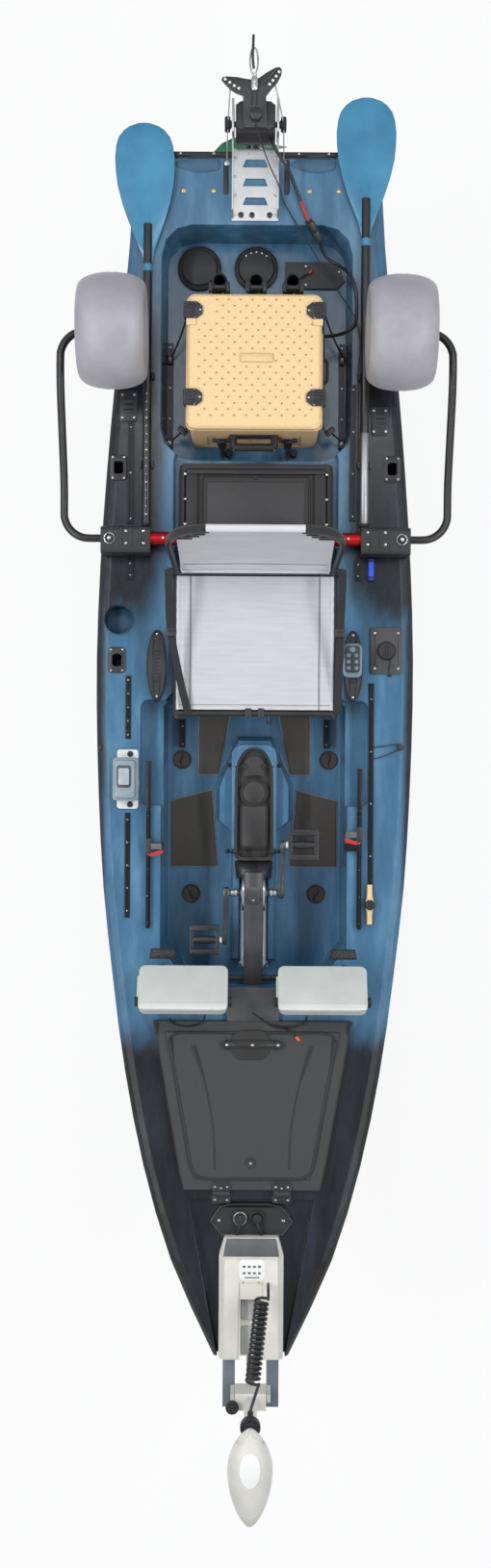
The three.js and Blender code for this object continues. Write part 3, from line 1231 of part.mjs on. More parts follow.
function makePaddle({ x, tipX, tip, shaftEnd }) {
  const root = tip - PADDLE.length;
  const rings = bladeShares.map(([share, width]) => {
    const y = root + share * PADDLE.length;
    const half = PADDLE.half * width;
    const thick = Math.max(PADDLE.thickness / 4, PADDLE.thickness / 2 * (1 - share));
    const middle = x + (tipX - x) * share;
    return [[half, 0], [half / 2, thick], [0, thick * 1.3], [-half / 2, thick], [-half, 0],
      [0, -thick * 0.8]].map(([u, v]) => [middle + u, y, PADDLE_Z + v]);
  });
  return join(loft(rings), barY(shaftEnd, root + PADDLE.length * 0.3, x, PADDLE_Z, PADDLE.shaft, 10));
}

// Curly cord from the mount housing to the collar, printed with its least gap to itself
const CURL = { outer: 48, cord: 9, turns: 17, sides: 5, steps: 8, start: [34, BOW_Y + 206, 508],
  end: [6, BOW_Y + 2, 668], lead: 30 };

function curlyPath() {
  const start = new THREE.Vector3(...CURL.start);
  const end = new THREE.Vector3(...CURL.end);
  const along = end.clone().sub(start);
  const axis = along.clone().normalize();
  const across = new THREE.Vector3(0, 0, 1).cross(axis).normalize();
  const up = axis.clone().cross(across);
  const radius = (CURL.outer - CURL.cord) / 2;
  const count = CURL.turns * CURL.steps;
  const coil = Array.from({ length: count + 1 }, (_, i) => {
    const angle = 2 * Math.PI * i / CURL.steps;
    return start.clone().addScaledVector(along, i / count)
      .addScaledVector(across, radius * Math.cos(angle)).addScaledVector(up, radius * Math.sin(angle));
  });
  const gland = BOW_DECK_Z + GAP + MOUNT.height + GAP;
  const first = coil[0];
  const last = coil.at(-1);
  const rear = BOW_PIVOT.y + CRADLE.collar + GAP;
  const collarZ = CRADLE.top - CRADLE.collarHeight / 2;
  return [
    new THREE.Vector3(first.x, first.y + CURL.lead, gland),
    new THREE.Vector3(first.x, first.y + CURL.lead, gland + CURL.cord),
    new THREE.Vector3(first.x, first.y + CURL.lead * 0.8, (gland + first.z) / 2),
    ...coil,
    new THREE.Vector3(last.x / 2, last.y - CURL.lead, (last.z + collarZ) / 2),
    new THREE.Vector3(0, rear + CURL.cord * 2, collarZ),
    new THREE.Vector3(0, rear, collarZ),
  ];
}

function makeCurlyCord() {
  const path = curlyPath();
  const pitchSteps = CURL.steps * 0.75;
  let least = Infinity;
  path.forEach((p, i) => path.forEach((q, j) => {
    least = j - i > pitchSteps ? Math.min(least, p.distanceTo(q) - CURL.cord) : least;
  }));
  console.log(`curly cord: least gap to itself ${least.toFixed(1)} mm`);
  return sweep(path, CURL.cord / 2, CURL.sides);
}

// A tube whose rings sit on the given points, carried along without twist
function sweep(path, radius, sides) {
  let normal = new THREE.Vector3(1, 0, 0);
  const rings = path.map((p, i) => {
    const tangent = path[Math.min(i + 1, path.length - 1)].clone().sub(path[Math.max(i - 1, 0)])
      .normalize();
    normal = normal.clone().addScaledVector(tangent, -normal.dot(tangent)).normalize();
    const side = tangent.clone().cross(normal);
    return Array.from({ length: sides }, (_, k) => {
      const angle = 2 * Math.PI * k / sides;
      const point = p.clone().addScaledVector(normal, radius * Math.cos(angle))
        .addScaledVector(side, radius * Math.sin(angle));
      return point.toArray();
    });
  });
  return loft(rings);
}

// Cords that hang or lie free, as chosen points
const CORD = { power: 11, line: 4 };
const powerRoute = [
  [40, 2032.7, 422.7], [41, 2024, 428], [50, 2000, 436], [80, 1955, 425], [100, 1930, 404],
    [125, 1880, 372],
  [146, 1830, 360], [162, 1795, 358], [178, 1768, 352], [196, 1742, 326], [220, 1700, 300],
    [262, 1670, 304],
  [290, 1632, 350], [310, 1585, 362], [316, 1530, 357], [312, 1475, 358], [286, 1446, 356],
    [250, 1438, 338],
  [222, 1437, 330], [196.6, 1437, 330],
];
const liftRoute = [
  [-8, 2070.4, 476], [-6, 2050, 474], [30, 1960, 430], [70, 1890, 384], [91, 1840, 360], [226, 1617, 362],
  [320, 1460, 370], [323, 1300, 356], [323, 1000, 354], [323, 668, 351],
];
// steering lines: from the arm's tip, past the housing, down to an eye on the deck
const STEER_LINE = { tip: 58.8, arch: 48, side: 20, lower: -6, eyeRise: 6, eye: 3, eyeRear: 81, eyeFront: 101 };
const steerRoute = (tipX, tipY, archX, archY, sideX, lowX, lowY, eyeX) => [
  [MOTOR.x + tipX, MOTOR.pivotY + tipY, MOTOR.pivotZ + STEER_LINE.tip],
  [MOTOR.x + archX, MOTOR.pivotY + archY, MOTOR.pivotZ + STEER_LINE.arch],
  [MOTOR.x + sideX, MOTOR.pivotY, MOTOR.pivotZ + STEER_LINE.side],
  [MOTOR.x + lowX, MOTOR.pivotY - lowY, MOTOR.pivotZ + STEER_LINE.lower],
  [MOTOR.x + eyeX, MOTOR.pivotY - STEER_LINE.eyeRear, DECK_Z + STEER_LINE.eyeRise],
  [MOTOR.x + eyeX, MOTOR.pivotY - STEER_LINE.eyeFront, DECK_Z + STEER_LINE.eye],
];
const steerRoutes = {
  left: steerRoute(-78.7, 107.8, -81, 84, -86, -89, 46, -90),
  right: steerRoute(52.5, 122.8, 66, 84, 86, 89, 46, 90),
};

add('hull', makeHull(), BLUE);
[['left', LID.leftX], ['centre', LID.centreX]].forEach(([side, x]) => add(`tank_lid_${side}`, makeLid(x),
  BLACK));
add('battery_plate', makeBatteryPlate(), BLACK);
['left', 'centre', 'right'].forEach((place, i) => {
  add(`rod_tube_${place}`, makeRodTube(ROD_TUBE.x + (i - 1) * ROD_TUBE.spacing), BLACK);
});
add('crate_body', makeCrateBody(), TAN);
add('crate_lid', makeCrateLid(), TAN);
add('cross_tube', makeCrossTube(), RED);
[['left', -1], ['right', 1]].forEach(([name, side]) => {
  add(`wheel_bracket_${name}`, makeBracket(side), BLACK);
  add(`wheel_sleeve_${name}`, makeSleeve(side), RED);
  add(`wheel_arm_${name}`, makeArm(side), BLACK);
  add(`wheel_${name}`, makeWheel(side), TYRE);
});

add('seat_tray', makeTray(), BLACK);
add('control_unit', makeControlUnit(), GREY);
[['left', -1], ['right', 1]].forEach(([name, side]) => {
  add(`side_handle_${name}`, makeSideHandle(side), BLACK);
  add(`rod_rail_${name}`, makeRodRail(side), BLACK);
  add(`rear_pad_${name}`, makeFloorPad(rearPadOutline, side), PAD);
  add(`front_pad_${name}`, makeFloorPad(frontPadOutline, side), PAD);
  add(`pedal_${name}`, makePedal(side), BLACK);
});
add('console_tray', makeConsole(), BLACK);
add('seat_frame', makeSeatFrame(), BLACK);
add('seat_pad', makeSeatPad(), MESH_GREY);
add('back_frame', makeBackFrame(), BLACK);
add('back_pad', makeBackPad(), MESH_GREY);
add('pivot_bar', makePivotBar(), BLACK);
add('drive_unit', makeDriveUnit(), BLACK);
add('crank', makeCrank(), BLACK);
add('drive_propeller', makePropeller(SCREW, 2).translate(0, driveScrewY, DRIVE.podZ), BLACK);
add('hatch_lid', makeHatchLid(), BLACK);
add('dash_plate', makeDash(), BLACK);
[['left', -1], ['right', 1]].forEach(([name, side]) => {
  add(`display_${name}`, makeDisplay(side), GREY);
});
add('connector_plate', makeConnector(), BLACK);
add('bow_mount', makeBowMount(), OFF_WHITE);
add('bow_cradle', makeCradle(), OFF_WHITE);
add('bow_shaft', makeBowShaft(), BLACK);
add('bow_head', makeBowHead(), OFF_WHITE);
add('bow_propeller', makePropeller(BOW_SCREW, 2)
  .translate(0, BOW_PIVOT.y + BOW_SHAFT.podRear + GAP + BOW_SCREW.length / 2, BOW_SHAFT.podZ), BLACK);
add('curly_cord', makeCurlyCord(), BLACK);
add('motor_bracket', makeMotorBracket(), SILVER);
add('stern_housing', makeSternHousing(), BLACK);
add('stern_shaft', makeSteering(), BLACK);
add('stern_propeller', makeSternScrew(), GREEN);
add('power_cable', bent(powerRoute, CORD.power / 2, 8, 52), BLACK);
add('lift_line', bent(liftRoute, CORD.line / 2, 8, 36), BLACK);
Object.entries(steerRoutes).forEach(([name, route]) => {
  add(`steering_line_${name}`, bent(route, CORD.line / 2, 8, 12), BLACK);
});
add('paddle_left', makePaddle(PADDLE.left), BLUE);
add('paddle_right', makePaddle(PADDLE.right), BLUE);

export default kayak;
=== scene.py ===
import math
import random
import bmesh
import bpy
from mathutils import Matrix, Vector


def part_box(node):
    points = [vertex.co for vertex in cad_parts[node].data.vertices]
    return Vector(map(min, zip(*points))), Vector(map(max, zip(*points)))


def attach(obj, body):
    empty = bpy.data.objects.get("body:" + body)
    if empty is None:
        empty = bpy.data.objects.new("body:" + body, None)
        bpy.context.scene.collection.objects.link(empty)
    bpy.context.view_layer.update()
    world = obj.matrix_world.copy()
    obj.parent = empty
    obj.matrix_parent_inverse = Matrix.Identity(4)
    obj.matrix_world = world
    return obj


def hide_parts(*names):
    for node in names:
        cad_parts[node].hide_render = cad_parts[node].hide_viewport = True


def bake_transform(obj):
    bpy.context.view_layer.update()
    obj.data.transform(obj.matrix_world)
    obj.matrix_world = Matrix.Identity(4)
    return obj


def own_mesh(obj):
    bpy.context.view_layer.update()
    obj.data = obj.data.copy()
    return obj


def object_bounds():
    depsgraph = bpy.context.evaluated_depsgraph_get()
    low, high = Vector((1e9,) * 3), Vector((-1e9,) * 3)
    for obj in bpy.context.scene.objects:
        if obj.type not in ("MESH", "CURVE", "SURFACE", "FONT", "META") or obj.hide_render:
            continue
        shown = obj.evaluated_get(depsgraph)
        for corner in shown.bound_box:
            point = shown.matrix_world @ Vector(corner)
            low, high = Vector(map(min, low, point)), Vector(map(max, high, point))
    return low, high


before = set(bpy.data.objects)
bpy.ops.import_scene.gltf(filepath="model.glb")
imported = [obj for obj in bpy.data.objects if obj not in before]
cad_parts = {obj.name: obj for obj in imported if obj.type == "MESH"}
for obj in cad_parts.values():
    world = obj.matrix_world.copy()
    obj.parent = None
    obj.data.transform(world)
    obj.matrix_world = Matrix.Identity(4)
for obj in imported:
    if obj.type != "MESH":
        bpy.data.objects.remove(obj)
cad_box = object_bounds()

# Camera, floor and lamps. The kayak is seen from straight above, with the stern at the top of the picture,
# between two long soft lamps, over a pale floor that lies below the lowered drive and motors.
scene = bpy.context.scene
scene.view_settings.view_transform = "Standard"
sensor_mm, lens_mm, lens_shift = 36, 39.05, (-0.0055, 0.0018)
camera_height, camera_roll = 5.75, math.radians(0.35)
camera_data = bpy.data.cameras.new("camera")
camera_data.sensor_width = sensor_mm
camera_data.lens = lens_mm
camera_data.shift_x, camera_data.shift_y = lens_shift
camera = bpy.data.objects.new("camera", camera_data)
camera.location = (0, 0, camera_height)
camera.rotation_euler = (0, 0, camera_roll)
scene.collection.objects.link(camera)
scene.camera = camera


def split_by_ray(tree, lit, seen, share, output):
    ray = tree.nodes.new("ShaderNodeLightPath")
    part = tree.nodes.new("ShaderNodeMath")
    part.operation = "MULTIPLY"
    part.inputs[1].default_value = share
    mixed = tree.nodes.new("ShaderNodeMixShader")
    for source, target in ((ray.outputs["Is Camera Ray"], part.inputs[0]),
                           (part.outputs[0], mixed.inputs[0]), (lit.outputs[0], mixed.inputs[1]),
                           (seen.outputs[0], mixed.inputs[2]),
                           (mixed.outputs[0], tree.nodes[output].inputs["Surface"])):
        tree.links.new(source, target)


def coloured(node, colour, strength):
    node.inputs["Color"].default_value = colour
    node.inputs["Strength"].default_value = strength
    return node


floor_reach, floor_drop = 14, 0.03
floor_mesh = bpy.data.meshes.new("floor")
floor_mesh.from_pydata([(sx * floor_reach, sy * floor_reach, 0)
                        for sx, sy in ((-1, -1), (1, -1), (1, 1), (-1, 1))], [], [(0, 1, 2, 3)])
floor = bpy.data.objects.new("floor", floor_mesh)
floor.location = (0, 0, cad_box[0].z - floor_drop)
scene.collection.objects.link(floor)
floor_paint = bpy.data.materials.new("floor_paint")
floor_paint.use_nodes = True
floor_tree = floor_paint.node_tree
painted = floor_tree.nodes["Principled BSDF"]
painted.inputs["Base Color"].default_value = (0.9, 0.9, 0.9, 1)
painted.inputs["Roughness"].default_value = 0.9
painted.inputs["Specular IOR Level"].default_value = 0.1
glow = coloured(floor_tree.nodes.new("ShaderNodeEmission"), (1, 1, 1, 1), 1.02)
split_by_ray(floor_tree, painted, glow, 0.8, "Material Output")
floor_mesh.materials.append(floor_paint)

world = bpy.data.worlds.new("studio")
scene.world = world
world.use_nodes = True
sky = coloured(world.node_tree.nodes["Background"], (0.93, 0.96, 1, 1), 0.5)
backdrop = coloured(world.node_tree.nodes.new("ShaderNodeBackground"), (1, 1, 1, 1), 0.97)
split_by_ray(world.node_tree, sky, backdrop, 1.0, "World Output")

# lamp: place, turn about Y in degrees, width, length, power
lamps = [((-2.3, 0, 3.4), -36, 0.35, 5.0, 95), ((2.3, 0, 3.4), 36, 0.35, 5.0, 80),
         ((0, 2.6, 5.4), 0, 2.2, 1.2, 30)]
for number, (place, turn, width, length, power) in enumerate(lamps):
    lamp_data = bpy.data.lights.new(f"lamp_{number}", "AREA")
    lamp_data.shape = "RECTANGLE"
    lamp_data.size = width
    lamp_data.size_y = length
    lamp_data.energy = power
    lamp = bpy.data.objects.new(f"lamp_{number}", lamp_data)
    lamp.location = place
    lamp.rotation_euler = (0, math.radians(turn), 0)
    lamp.visible_camera = False
    scene.collection.objects.link(lamp)


# Hull: one rotomoulded polyethylene shell, blue that runs into black in marbled streaks along the decks.
# Its edges are soft from the mould, and the surface has a faint orange peel and the scuffs of the shore.
def new_finish(name, colour, roughness, metallic=0.0, specular=0.5):
    paint = bpy.data.materials.new(name)
    paint.use_nodes = True
    shader = paint.node_tree.nodes["Principled BSDF"]
    shader.inputs["Base Color"].default_value = (*colour, 1)
    shader.inputs["Roughness"].default_value = roughness
    shader.inputs["Metallic"].default_value = metallic
    shader.inputs["Specular IOR Level"].default_value = specular
    return paint, paint.node_tree, shader


def add_node(tree, kind, values=(), **settings):
    node = tree.nodes.new(kind)
    for key, value in settings.items():
        setattr(node, key, value)
    for key, value in dict(values).items():
        node.inputs[key].default_value = value
    return node


def join_up(tree, *pairs):
    for source, target in pairs:
        tree.links.new(source, target)


def place_of(tree):
    return add_node(tree, "ShaderNodeTexCoord").outputs["Object"]


def speckle(tree, scale, detail=4.0, roughness=0.55, stretch=None):
    noise = add_node(tree, "ShaderNodeTexNoise", {"Scale": scale, "Detail": detail, "Roughness": roughness})
    if stretch:
        mapping = add_node(tree, "ShaderNodeMapping", {"Scale": stretch})
        join_up(tree, (place_of(tree), mapping.inputs["Vector"]),
                (mapping.outputs[0], noise.inputs["Vector"]))
    else:
        join_up(tree, (place_of(tree), noise.inputs["Vector"]))
    return noise.outputs["Fac"]


def ramp(tree, source, stops):
    node = add_node(tree, "ShaderNodeValToRGB")
    while len(node.color_ramp.elements) < len(stops):
        node.color_ramp.elements.new(0.5)
    for element, (position, colour) in zip(node.color_ramp.elements, stops):
        element.position = position
        element.color = colour if len(colour) == 4 else (*colour, 1)
    join_up(tree, (source, node.inputs["Fac"]))
    return node.outputs["Color"]


def maths(tree, operation, first, second=None, third=None):
    node = add_node(tree, "ShaderNodeMath", operation=operation)
    for socket, value in zip(node.inputs, (first, second, third)):
        if value is None:
            continue
        if isinstance(value, (int, float)):
            socket.default_value = value
        else:
            join_up(tree, (value, socket))
    return node.outputs[0]


def soften(tree, shader, edge, height=None, strength=0.2, distance=0.001):
    rounding = add_node(tree, "ShaderNodeBevel", {"Radius": edge}, samples=4)
    normal = rounding.outputs[0]
    if height is not None:
        bump = add_node(tree, "ShaderNodeBump", {"Strength": strength, "Distance": distance})
        join_up(tree, (height, bump.inputs["Height"]), (normal, bump.inputs["Normal"]))
        normal = bump.outputs[0]
    join_up(tree, (normal, shader.inputs["Normal"]))


def moulded(name, colour, roughness=0.5, grain=900, shade=0.12, edge=0.001, strength=0.18, **more):
    paint, tree, shader = new_finish(name, colour, roughness, **more)
    cloud = speckle(tree, 14, 5)
    low = tuple(c * (1 - shade) for c in colour)
    high = tuple(min(1, c * (1 + shade) + 0.004) for c in colour)
    join_up(tree, (ramp(tree, cloud, [(0.35, low), (0.65, high)]), shader.inputs["Base Color"]))
    scuff = speckle(tree, 60, 6, 0.7)
    rough = maths(tree, "MULTIPLY_ADD", scuff, 0.16, roughness - 0.08)
    join_up(tree, (rough, shader.inputs["Roughness"]))
    soften(tree, shader, edge, speckle(tree, grain, 2), strength, 0.0004)
    return paint


def dress(node, paint):
    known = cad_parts[node]
    known.data.materials.clear()
    known.data.materials.append(paint)
    return known


def band(tree, value, low, high):
    node = add_node(tree, "ShaderNodeMapRange", {"From Min": low, "From Max": high},
                    interpolation_type="SMOOTHSTEP")
    join_up(tree, (value, node.inputs["Value"]))
    return node.outputs[0]


hull_paint, tree, shader = new_finish("marbled_hull", (0.05, 0.17, 0.33), 0.28)
parted = add_node(tree, "ShaderNodeSeparateXYZ")
join_up(tree, (place_of(tree), parted.inputs[0]))
side, along, _ = parted.outputs
outboard = maths(tree, "ABSOLUTE", side)
streaks = speckle(tree, 5.5, 8, 0.62, stretch=(2.2, 0.55, 1.6))
fine = speckle(tree, 26, 6, 0.6, stretch=(1.6, 0.5, 1.6))
wander = maths(tree, "ADD", maths(tree, "MULTIPLY_ADD", streaks, 1.5, -0.75),
               maths(tree, "MULTIPLY_ADD", fine, 0.5, -0.25))
deck_edge = band(tree, outboard, 0.22, 0.38)
waist = maths(tree, "MULTIPLY", band(tree, along, 0.28, 0.75), band(tree, along, 1.9, 1.1))
bow_part = maths(tree, "MULTIPLY", band(tree, along, -0.62, -1.08), 1.6)
rim = band(tree, outboard, 0.445, 0.495)
dark = maths(tree, "MAXIMUM", maths(tree, "MULTIPLY", waist, deck_edge), bow_part)
dark = maths(tree, "MAXIMUM", dark, maths(tree, "MULTIPLY", rim, 0.75))
mixture = band(tree, maths(tree, "ADD", maths(tree, "MULTIPLY", dark, 1.3),
                           maths(tree, "MULTIPLY", wander, 0.7)), 0.25, 1.05)
blue = ramp(tree, streaks, [(0.3, (0.034, 0.105, 0.19)), (0.5, (0.052, 0.15, 0.26)),
                            (0.7, (0.095, 0.225, 0.35))])
black = ramp(tree, streaks, [(0.42, (0.005, 0.006, 0.008)), (0.72, (0.016, 0.024, 0.036))])
body_colour = add_node(tree, "ShaderNodeMix", data_type="RGBA")
join_up(tree, (mixture, body_colour.inputs["Factor"]), (blue, body_colour.inputs["A"]),
        (black, body_colour.inputs["B"]))
join_up(tree, (body_colour.outputs["Result"], shader.inputs["Base Color"]))
scuffs = speckle(tree, 40, 8, 0.7)
join_up(tree, (maths(tree, "MULTIPLY_ADD", scuffs, 0.2, 0.13), shader.inputs["Roughness"]))
soften(tree, shader, 0.007, speckle(tree, 220, 3), 0.12, 0.0008)

hull = dress("hull", hull_paint)


# Stern deck: a soft black bumper screwed across the transom, scooped grips, brass inserts and two slots.
# The bumper is an extruded rubber strip, and the inserts are moulded into the deck.
def make(name, shapes, paint, body="kayak", smooth=35):
    mesh = bpy.data.meshes.new(name)
    points, faces = [], []
    for shape_points, shape_faces in shapes:
        start = len(points)
        points += [tuple(p) for p in shape_points]
        faces += [tuple(start + i for i in face) for face in shape_faces]
    mesh.from_pydata(points, [], faces)
    work = bmesh.new()
    work.from_mesh(mesh)
    bmesh.ops.recalc_face_normals(work, faces=work.faces)
    work.to_mesh(mesh)
    work.free()
    mesh.materials.append(paint)
    mesh.shade_smooth()
    mesh.set_sharp_from_angle(angle=math.radians(smooth))
    made = bpy.data.objects.new(name, mesh)
    scene.collection.objects.link(made)
    if body:
        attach(made, body)
    return made


def lofted(rings, capped=True):
    count = len(rings[0])
    points = [p for ring in rings for p in ring]
    faces = []
    for level in range(len(rings) - 1):
        for i in range(count):
            j = (i + 1) % count
            low, high = level * count, (level + 1) * count
            faces.append((low + i, low + j, high + j, high + i))
    if capped:
        faces.append(tuple(reversed(range(count))))
        faces.append(tuple(range((len(rings) - 1) * count, len(rings) * count)))
    return points, faces


def shrunk(outline, inset):
    count = len(outline)
    area = sum(a[0] * b[1] - b[0] * a[1] for a, b in zip(outline, outline[1:] + outline[:1]))
    turn = 1 if area > 0 else -1
    ring = []
    for i in range(count):
        first = (Vector(outline[i]) - Vector(outline[i - 1])).normalized()
        second = (Vector(outline[(i + 1) % count]) - Vector(outline[i])).normalized()
        inward = Vector((-first.y - second.y, first.x + second.x)) * turn
        reach = inward * (2 * inset / max(0.6, inward.length_squared))
        ring.append((outline[i][0] + reach.x, outline[i][1] + reach.y))
    return ring


def plate(outline, low, high, edge=0.0015):
    edge = min(edge, (high - low) / 2.05)
    levels = [(edge, low), (edge * 0.3, low + edge * 0.3), (0, low + edge),
              (0, high - edge), (edge * 0.3, high - edge * 0.3), (edge, high)]
    return lofted([[(x, y, z) for x, y in shrunk(outline, inset)] for inset, z in levels])


def oblong(x, y, width, length, radius, steps=4):
    radius = min(radius, width / 2.01, length / 2.01)
    corners = [(1, 1, 0), (-1, 1, 90), (-1, -1, 180), (1, -1, 270)]
    return [(x + sx * (width / 2 - radius) + radius * math.cos(math.radians(start + 90 * i / steps)),
             y + sy * (length / 2 - radius) + radius * math.sin(math.radians(start + 90 * i / steps)))
            for sx, sy, start in corners for i in range(steps + 1)]


def slab(x, y, width, length, radius, low, high, edge=0.0015):
    return plate(oblong(x, y, width, length, radius), low, high, edge)


def disc(x, y, radius, count=24):
    return [(x + radius * math.cos(2 * math.pi * i / count), y + radius * math.sin(2 * math.pi * i / count))
            for i in range(count)]


def moved(shape, matrix):
    return [tuple(matrix @ Vector(p)) for p in shape[0]], shape[1]


def turned(profile, centre=(0, 0, 0), axis=(0, 0, 1), count=20):
    rings = [[(r * math.cos(2 * math.pi * i / count), r * math.sin(2 * math.pi * i / count), h)
              for i in range(count)] for r, h in profile]
    spin = Vector((0, 0, 1)).rotation_difference(Vector(axis)).to_matrix().to_4x4()
    return moved(lofted(rings), Matrix.Translation(Vector(centre)) @ spin)


def tube(path, radius, sides=10, capped=True):
    path = [Vector(p) for p in path]
    radii = radius if isinstance(radius, (list, tuple)) else [radius] * len(path)
    ahead = [(path[min(i + 1, len(path) - 1)] - path[max(i - 1, 0)]).normalized() for i in range(len(path))]
    across = ahead[0].orthogonal().normalized()
    rings = []
    for i, point in enumerate(path):
        if i:
            across = ahead[i - 1].rotation_difference(ahead[i]) @ across
        other = ahead[i].cross(across)
        rings.append([point + (across * math.cos(2 * math.pi * k / sides)
                               + other * math.sin(2 * math.pi * k / sides)) * radii[i]
                      for k in range(sides)])
    return lofted(rings, capped)


def flowing(points, steps=8):
    points = [Vector(p) for p in points]
    line = []
    for i in range(len(points) - 1):
        before = points[max(i - 1, 0)]
        a, b = points[i], points[i + 1]
        after = points[min(i + 2, len(points) - 1)]
        for k in range(steps):
            t = k / steps
            line.append(0.5 * (2 * a + (b - before) * t + (2 * before - 5 * a + 4 * b - after) * t * t
                               + (3 * a - before - 3 * b + after) * t ** 3))
    return line + [points[-1]]


def screw_head(x, y, z, radius=0.005, axis=(0, 0, 1)):
    head = [(radius * 0.3, -0.001), (radius, -0.001), (radius, radius * 0.25),
            (radius * 0.82, radius * 0.5), (radius * 0.5, radius * 0.6), (radius * 0.48, radius * 0.2),
            (0.0001, radius * 0.2)]
    return turned(head, (x, y, z), axis, 12)


def polished(name, colour, roughness=0.28, edge=0.0006, brushed=(1, 30, 1)):
    paint, tree, shader = new_finish(name, colour, roughness, metallic=1.0)
    lines = speckle(tree, 60, 3, 0.6, stretch=brushed)
    join_up(tree, (maths(tree, "MULTIPLY_ADD", lines, 0.22, roughness - 0.1), shader.inputs["Roughness"]))
    tone = ramp(tree, speckle(tree, 20, 4), [(0.3, tuple(c * 0.86 for c in colour)), (0.7, colour)])
    join_up(tree, (tone, shader.inputs["Base Color"]))
    soften(tree, shader, edge, lines, 0.06, 0.0003)
    return paint


black_rubber = moulded("black_rubber", (0.014, 0.014, 0.016), 0.62, grain=700, edge=0.002)
black_plastic = moulded("black_plastic", (0.018, 0.019, 0.022), 0.42, grain=1200, edge=0.0012)
# Painted shade for hollows: a darker hull blue laid on the floors of recesses.
recess_painted_shade = moulded("recess_painted_shade", (0.035, 0.1, 0.175), 0.45, grain=300, edge=0.002)
steel = polished("steel_screws", (0.62, 0.63, 0.65))
brass = polished("brass_inserts", (0.75, 0.5, 0.2))
DECK = 0.348
bumper = [slab(-0.0105, 2.0085, 0.536, 0.014, 0.005, DECK - 0.02, DECK + 0.006, 0.003),
          slab(-0.0105, 1.9975, 0.52, 0.006, 0.002, DECK + 0.0004, DECK + 0.0035, 0.001)]
make("stern_bumper", bumper, black_rubber)
make("bumper_screws", [screw_head(x, 2.0085, DECK + 0.006, 0.0042)
                       for x in (-0.245, -0.14, -0.03, 0.045, 0.13, 0.225)], steel)
for label, x in (("left", -0.182), ("right", 0.184)):
    wave = [(x + 0.069 * math.cos(a) * (1 - 0.12 * math.cos(3 * a)), 1.977 + 0.025 * math.sin(a))
            for a in (2 * math.pi * i / 36 for i in range(36))]
    rim = [(px, py, DECK + 0.0012) for px, py in wave]
    # The scoop's floor is a darker blue sheet: painted shade in the shallow hollow.
    make(f"stern_scoop_{label}", [plate(wave, DECK + 0.0002, DECK + 0.0012, 0.0005)], recess_painted_shade)
    make(f"stern_scoop_rim_{label}", [tube(rim + rim[:2], 0.0022, 6)], hull_paint)
make("deck_inserts", [turned([(0.0025, 0), (0.0068, 0), (0.0068, 0.0012), (0.0055, 0.002), (0.003, 0.002),
                              (0.0028, 0.0004)], (x, 1.893, DECK), count=16)
                      for x in (-0.235, -0.14, 0.165, 0.258)], brass)
make("deck_slots", [slab(x, 1.936, 0.017, 0.112, 0.008, DECK + 0.0002, DECK + 0.0014, 0.0006)
                    for x in (-0.101, 0.093)], black_plastic)


# Tank well: two round deck lids, the battery plate with its fuse, two black gear rails and three upright
# rod tubes. Lids are moulded with a raised rim, and the rails are extruded aluminium screwed to the
# well's floor.
def ring_of(x, y, z, radius, thick=0.002, count=40):
    line = [(px, py, z) for px, py in disc(x, y, radius, count)]
    return tube(line + line[:2], thick, 6)


def middle_of(low, high):
    return (low.x + high.x) / 2, (low.y + high.y) / 2


def channel(x, z, front, rear, half, tall):
    floor_z, lip_x = tall - 0.005, 0.004
    profile = ((-half, 0), (half, 0), (half, tall), (lip_x, tall), (lip_x, floor_z), (-lip_x, floor_z),
               (-lip_x, tall), (-half, tall))
    return lofted([[(x + dx, y, z + dz) for dx, dz in profile] for y in (front, rear)])


well_plastic = moulded("well_lid_plastic", (0.022, 0.023, 0.025), 0.5, grain=500, edge=0.0015, strength=0.3)
white_print = moulded("white_print", (0.7, 0.7, 0.7), 0.5)
for label in ("left", "centre"):
    dress(f"tank_lid_{label}", well_plastic)
    low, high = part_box(f"tank_lid_{label}")
    (x, y), reach = middle_of(low, high), (high.x - low.x) / 2
    make(f"tank_lid_rings_{label}", [ring_of(x, y, high.z, reach * share, 0.0018)
                                     for share in (0.97, 0.86)], well_plastic)
    make(f"tank_lid_panel_{label}", [plate(disc(x, y, reach * 0.78, 40), high.z - 0.001, high.z + 0.0022,
                                           0.001)], well_plastic)
ticks = []
for i in range(5):
    spot = math.radians(50 + 20 * i)
    ticks.append(plate(disc(x + reach * 0.72 * math.cos(spot), y + reach * 0.72 * math.sin(spot), 0.0028,
                            10), high.z + 0.002, high.z + 0.0028, 0.0003))
make("tank_lid_ticks", ticks, white_print)

dress("battery_plate", black_plastic)
low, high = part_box("battery_plate")
x, y = middle_of(low, high)
make("battery_plate_screws", [screw_head(px, py, high.z, 0.004)
                              for px, py in ((x - 0.03, y + 0.03), (x - 0.03, y - 0.03),
                                             (high.x - 0.02, y + 0.012))], steel)
red_plastic = moulded("red_plastic", (0.55, 0.035, 0.02), 0.4)
fuse = flowing([(x - 0.075, y - 0.03, high.z + 0.004), (x - 0.05, y - 0.012, high.z + 0.012),
                (x - 0.022, y + 0.004, high.z + 0.006)])
make("fuse_lead", [tube(fuse, 0.0028, 8)], black_rubber)
make("fuse_cap", [turned([(0.003, 0), (0.0055, 0.001), (0.0055, 0.012), (0.002, 0.014)],
                         (x - 0.02, y + 0.006, high.z + 0.004), (0.8, 0.5, 0.35), 12)], red_plastic)

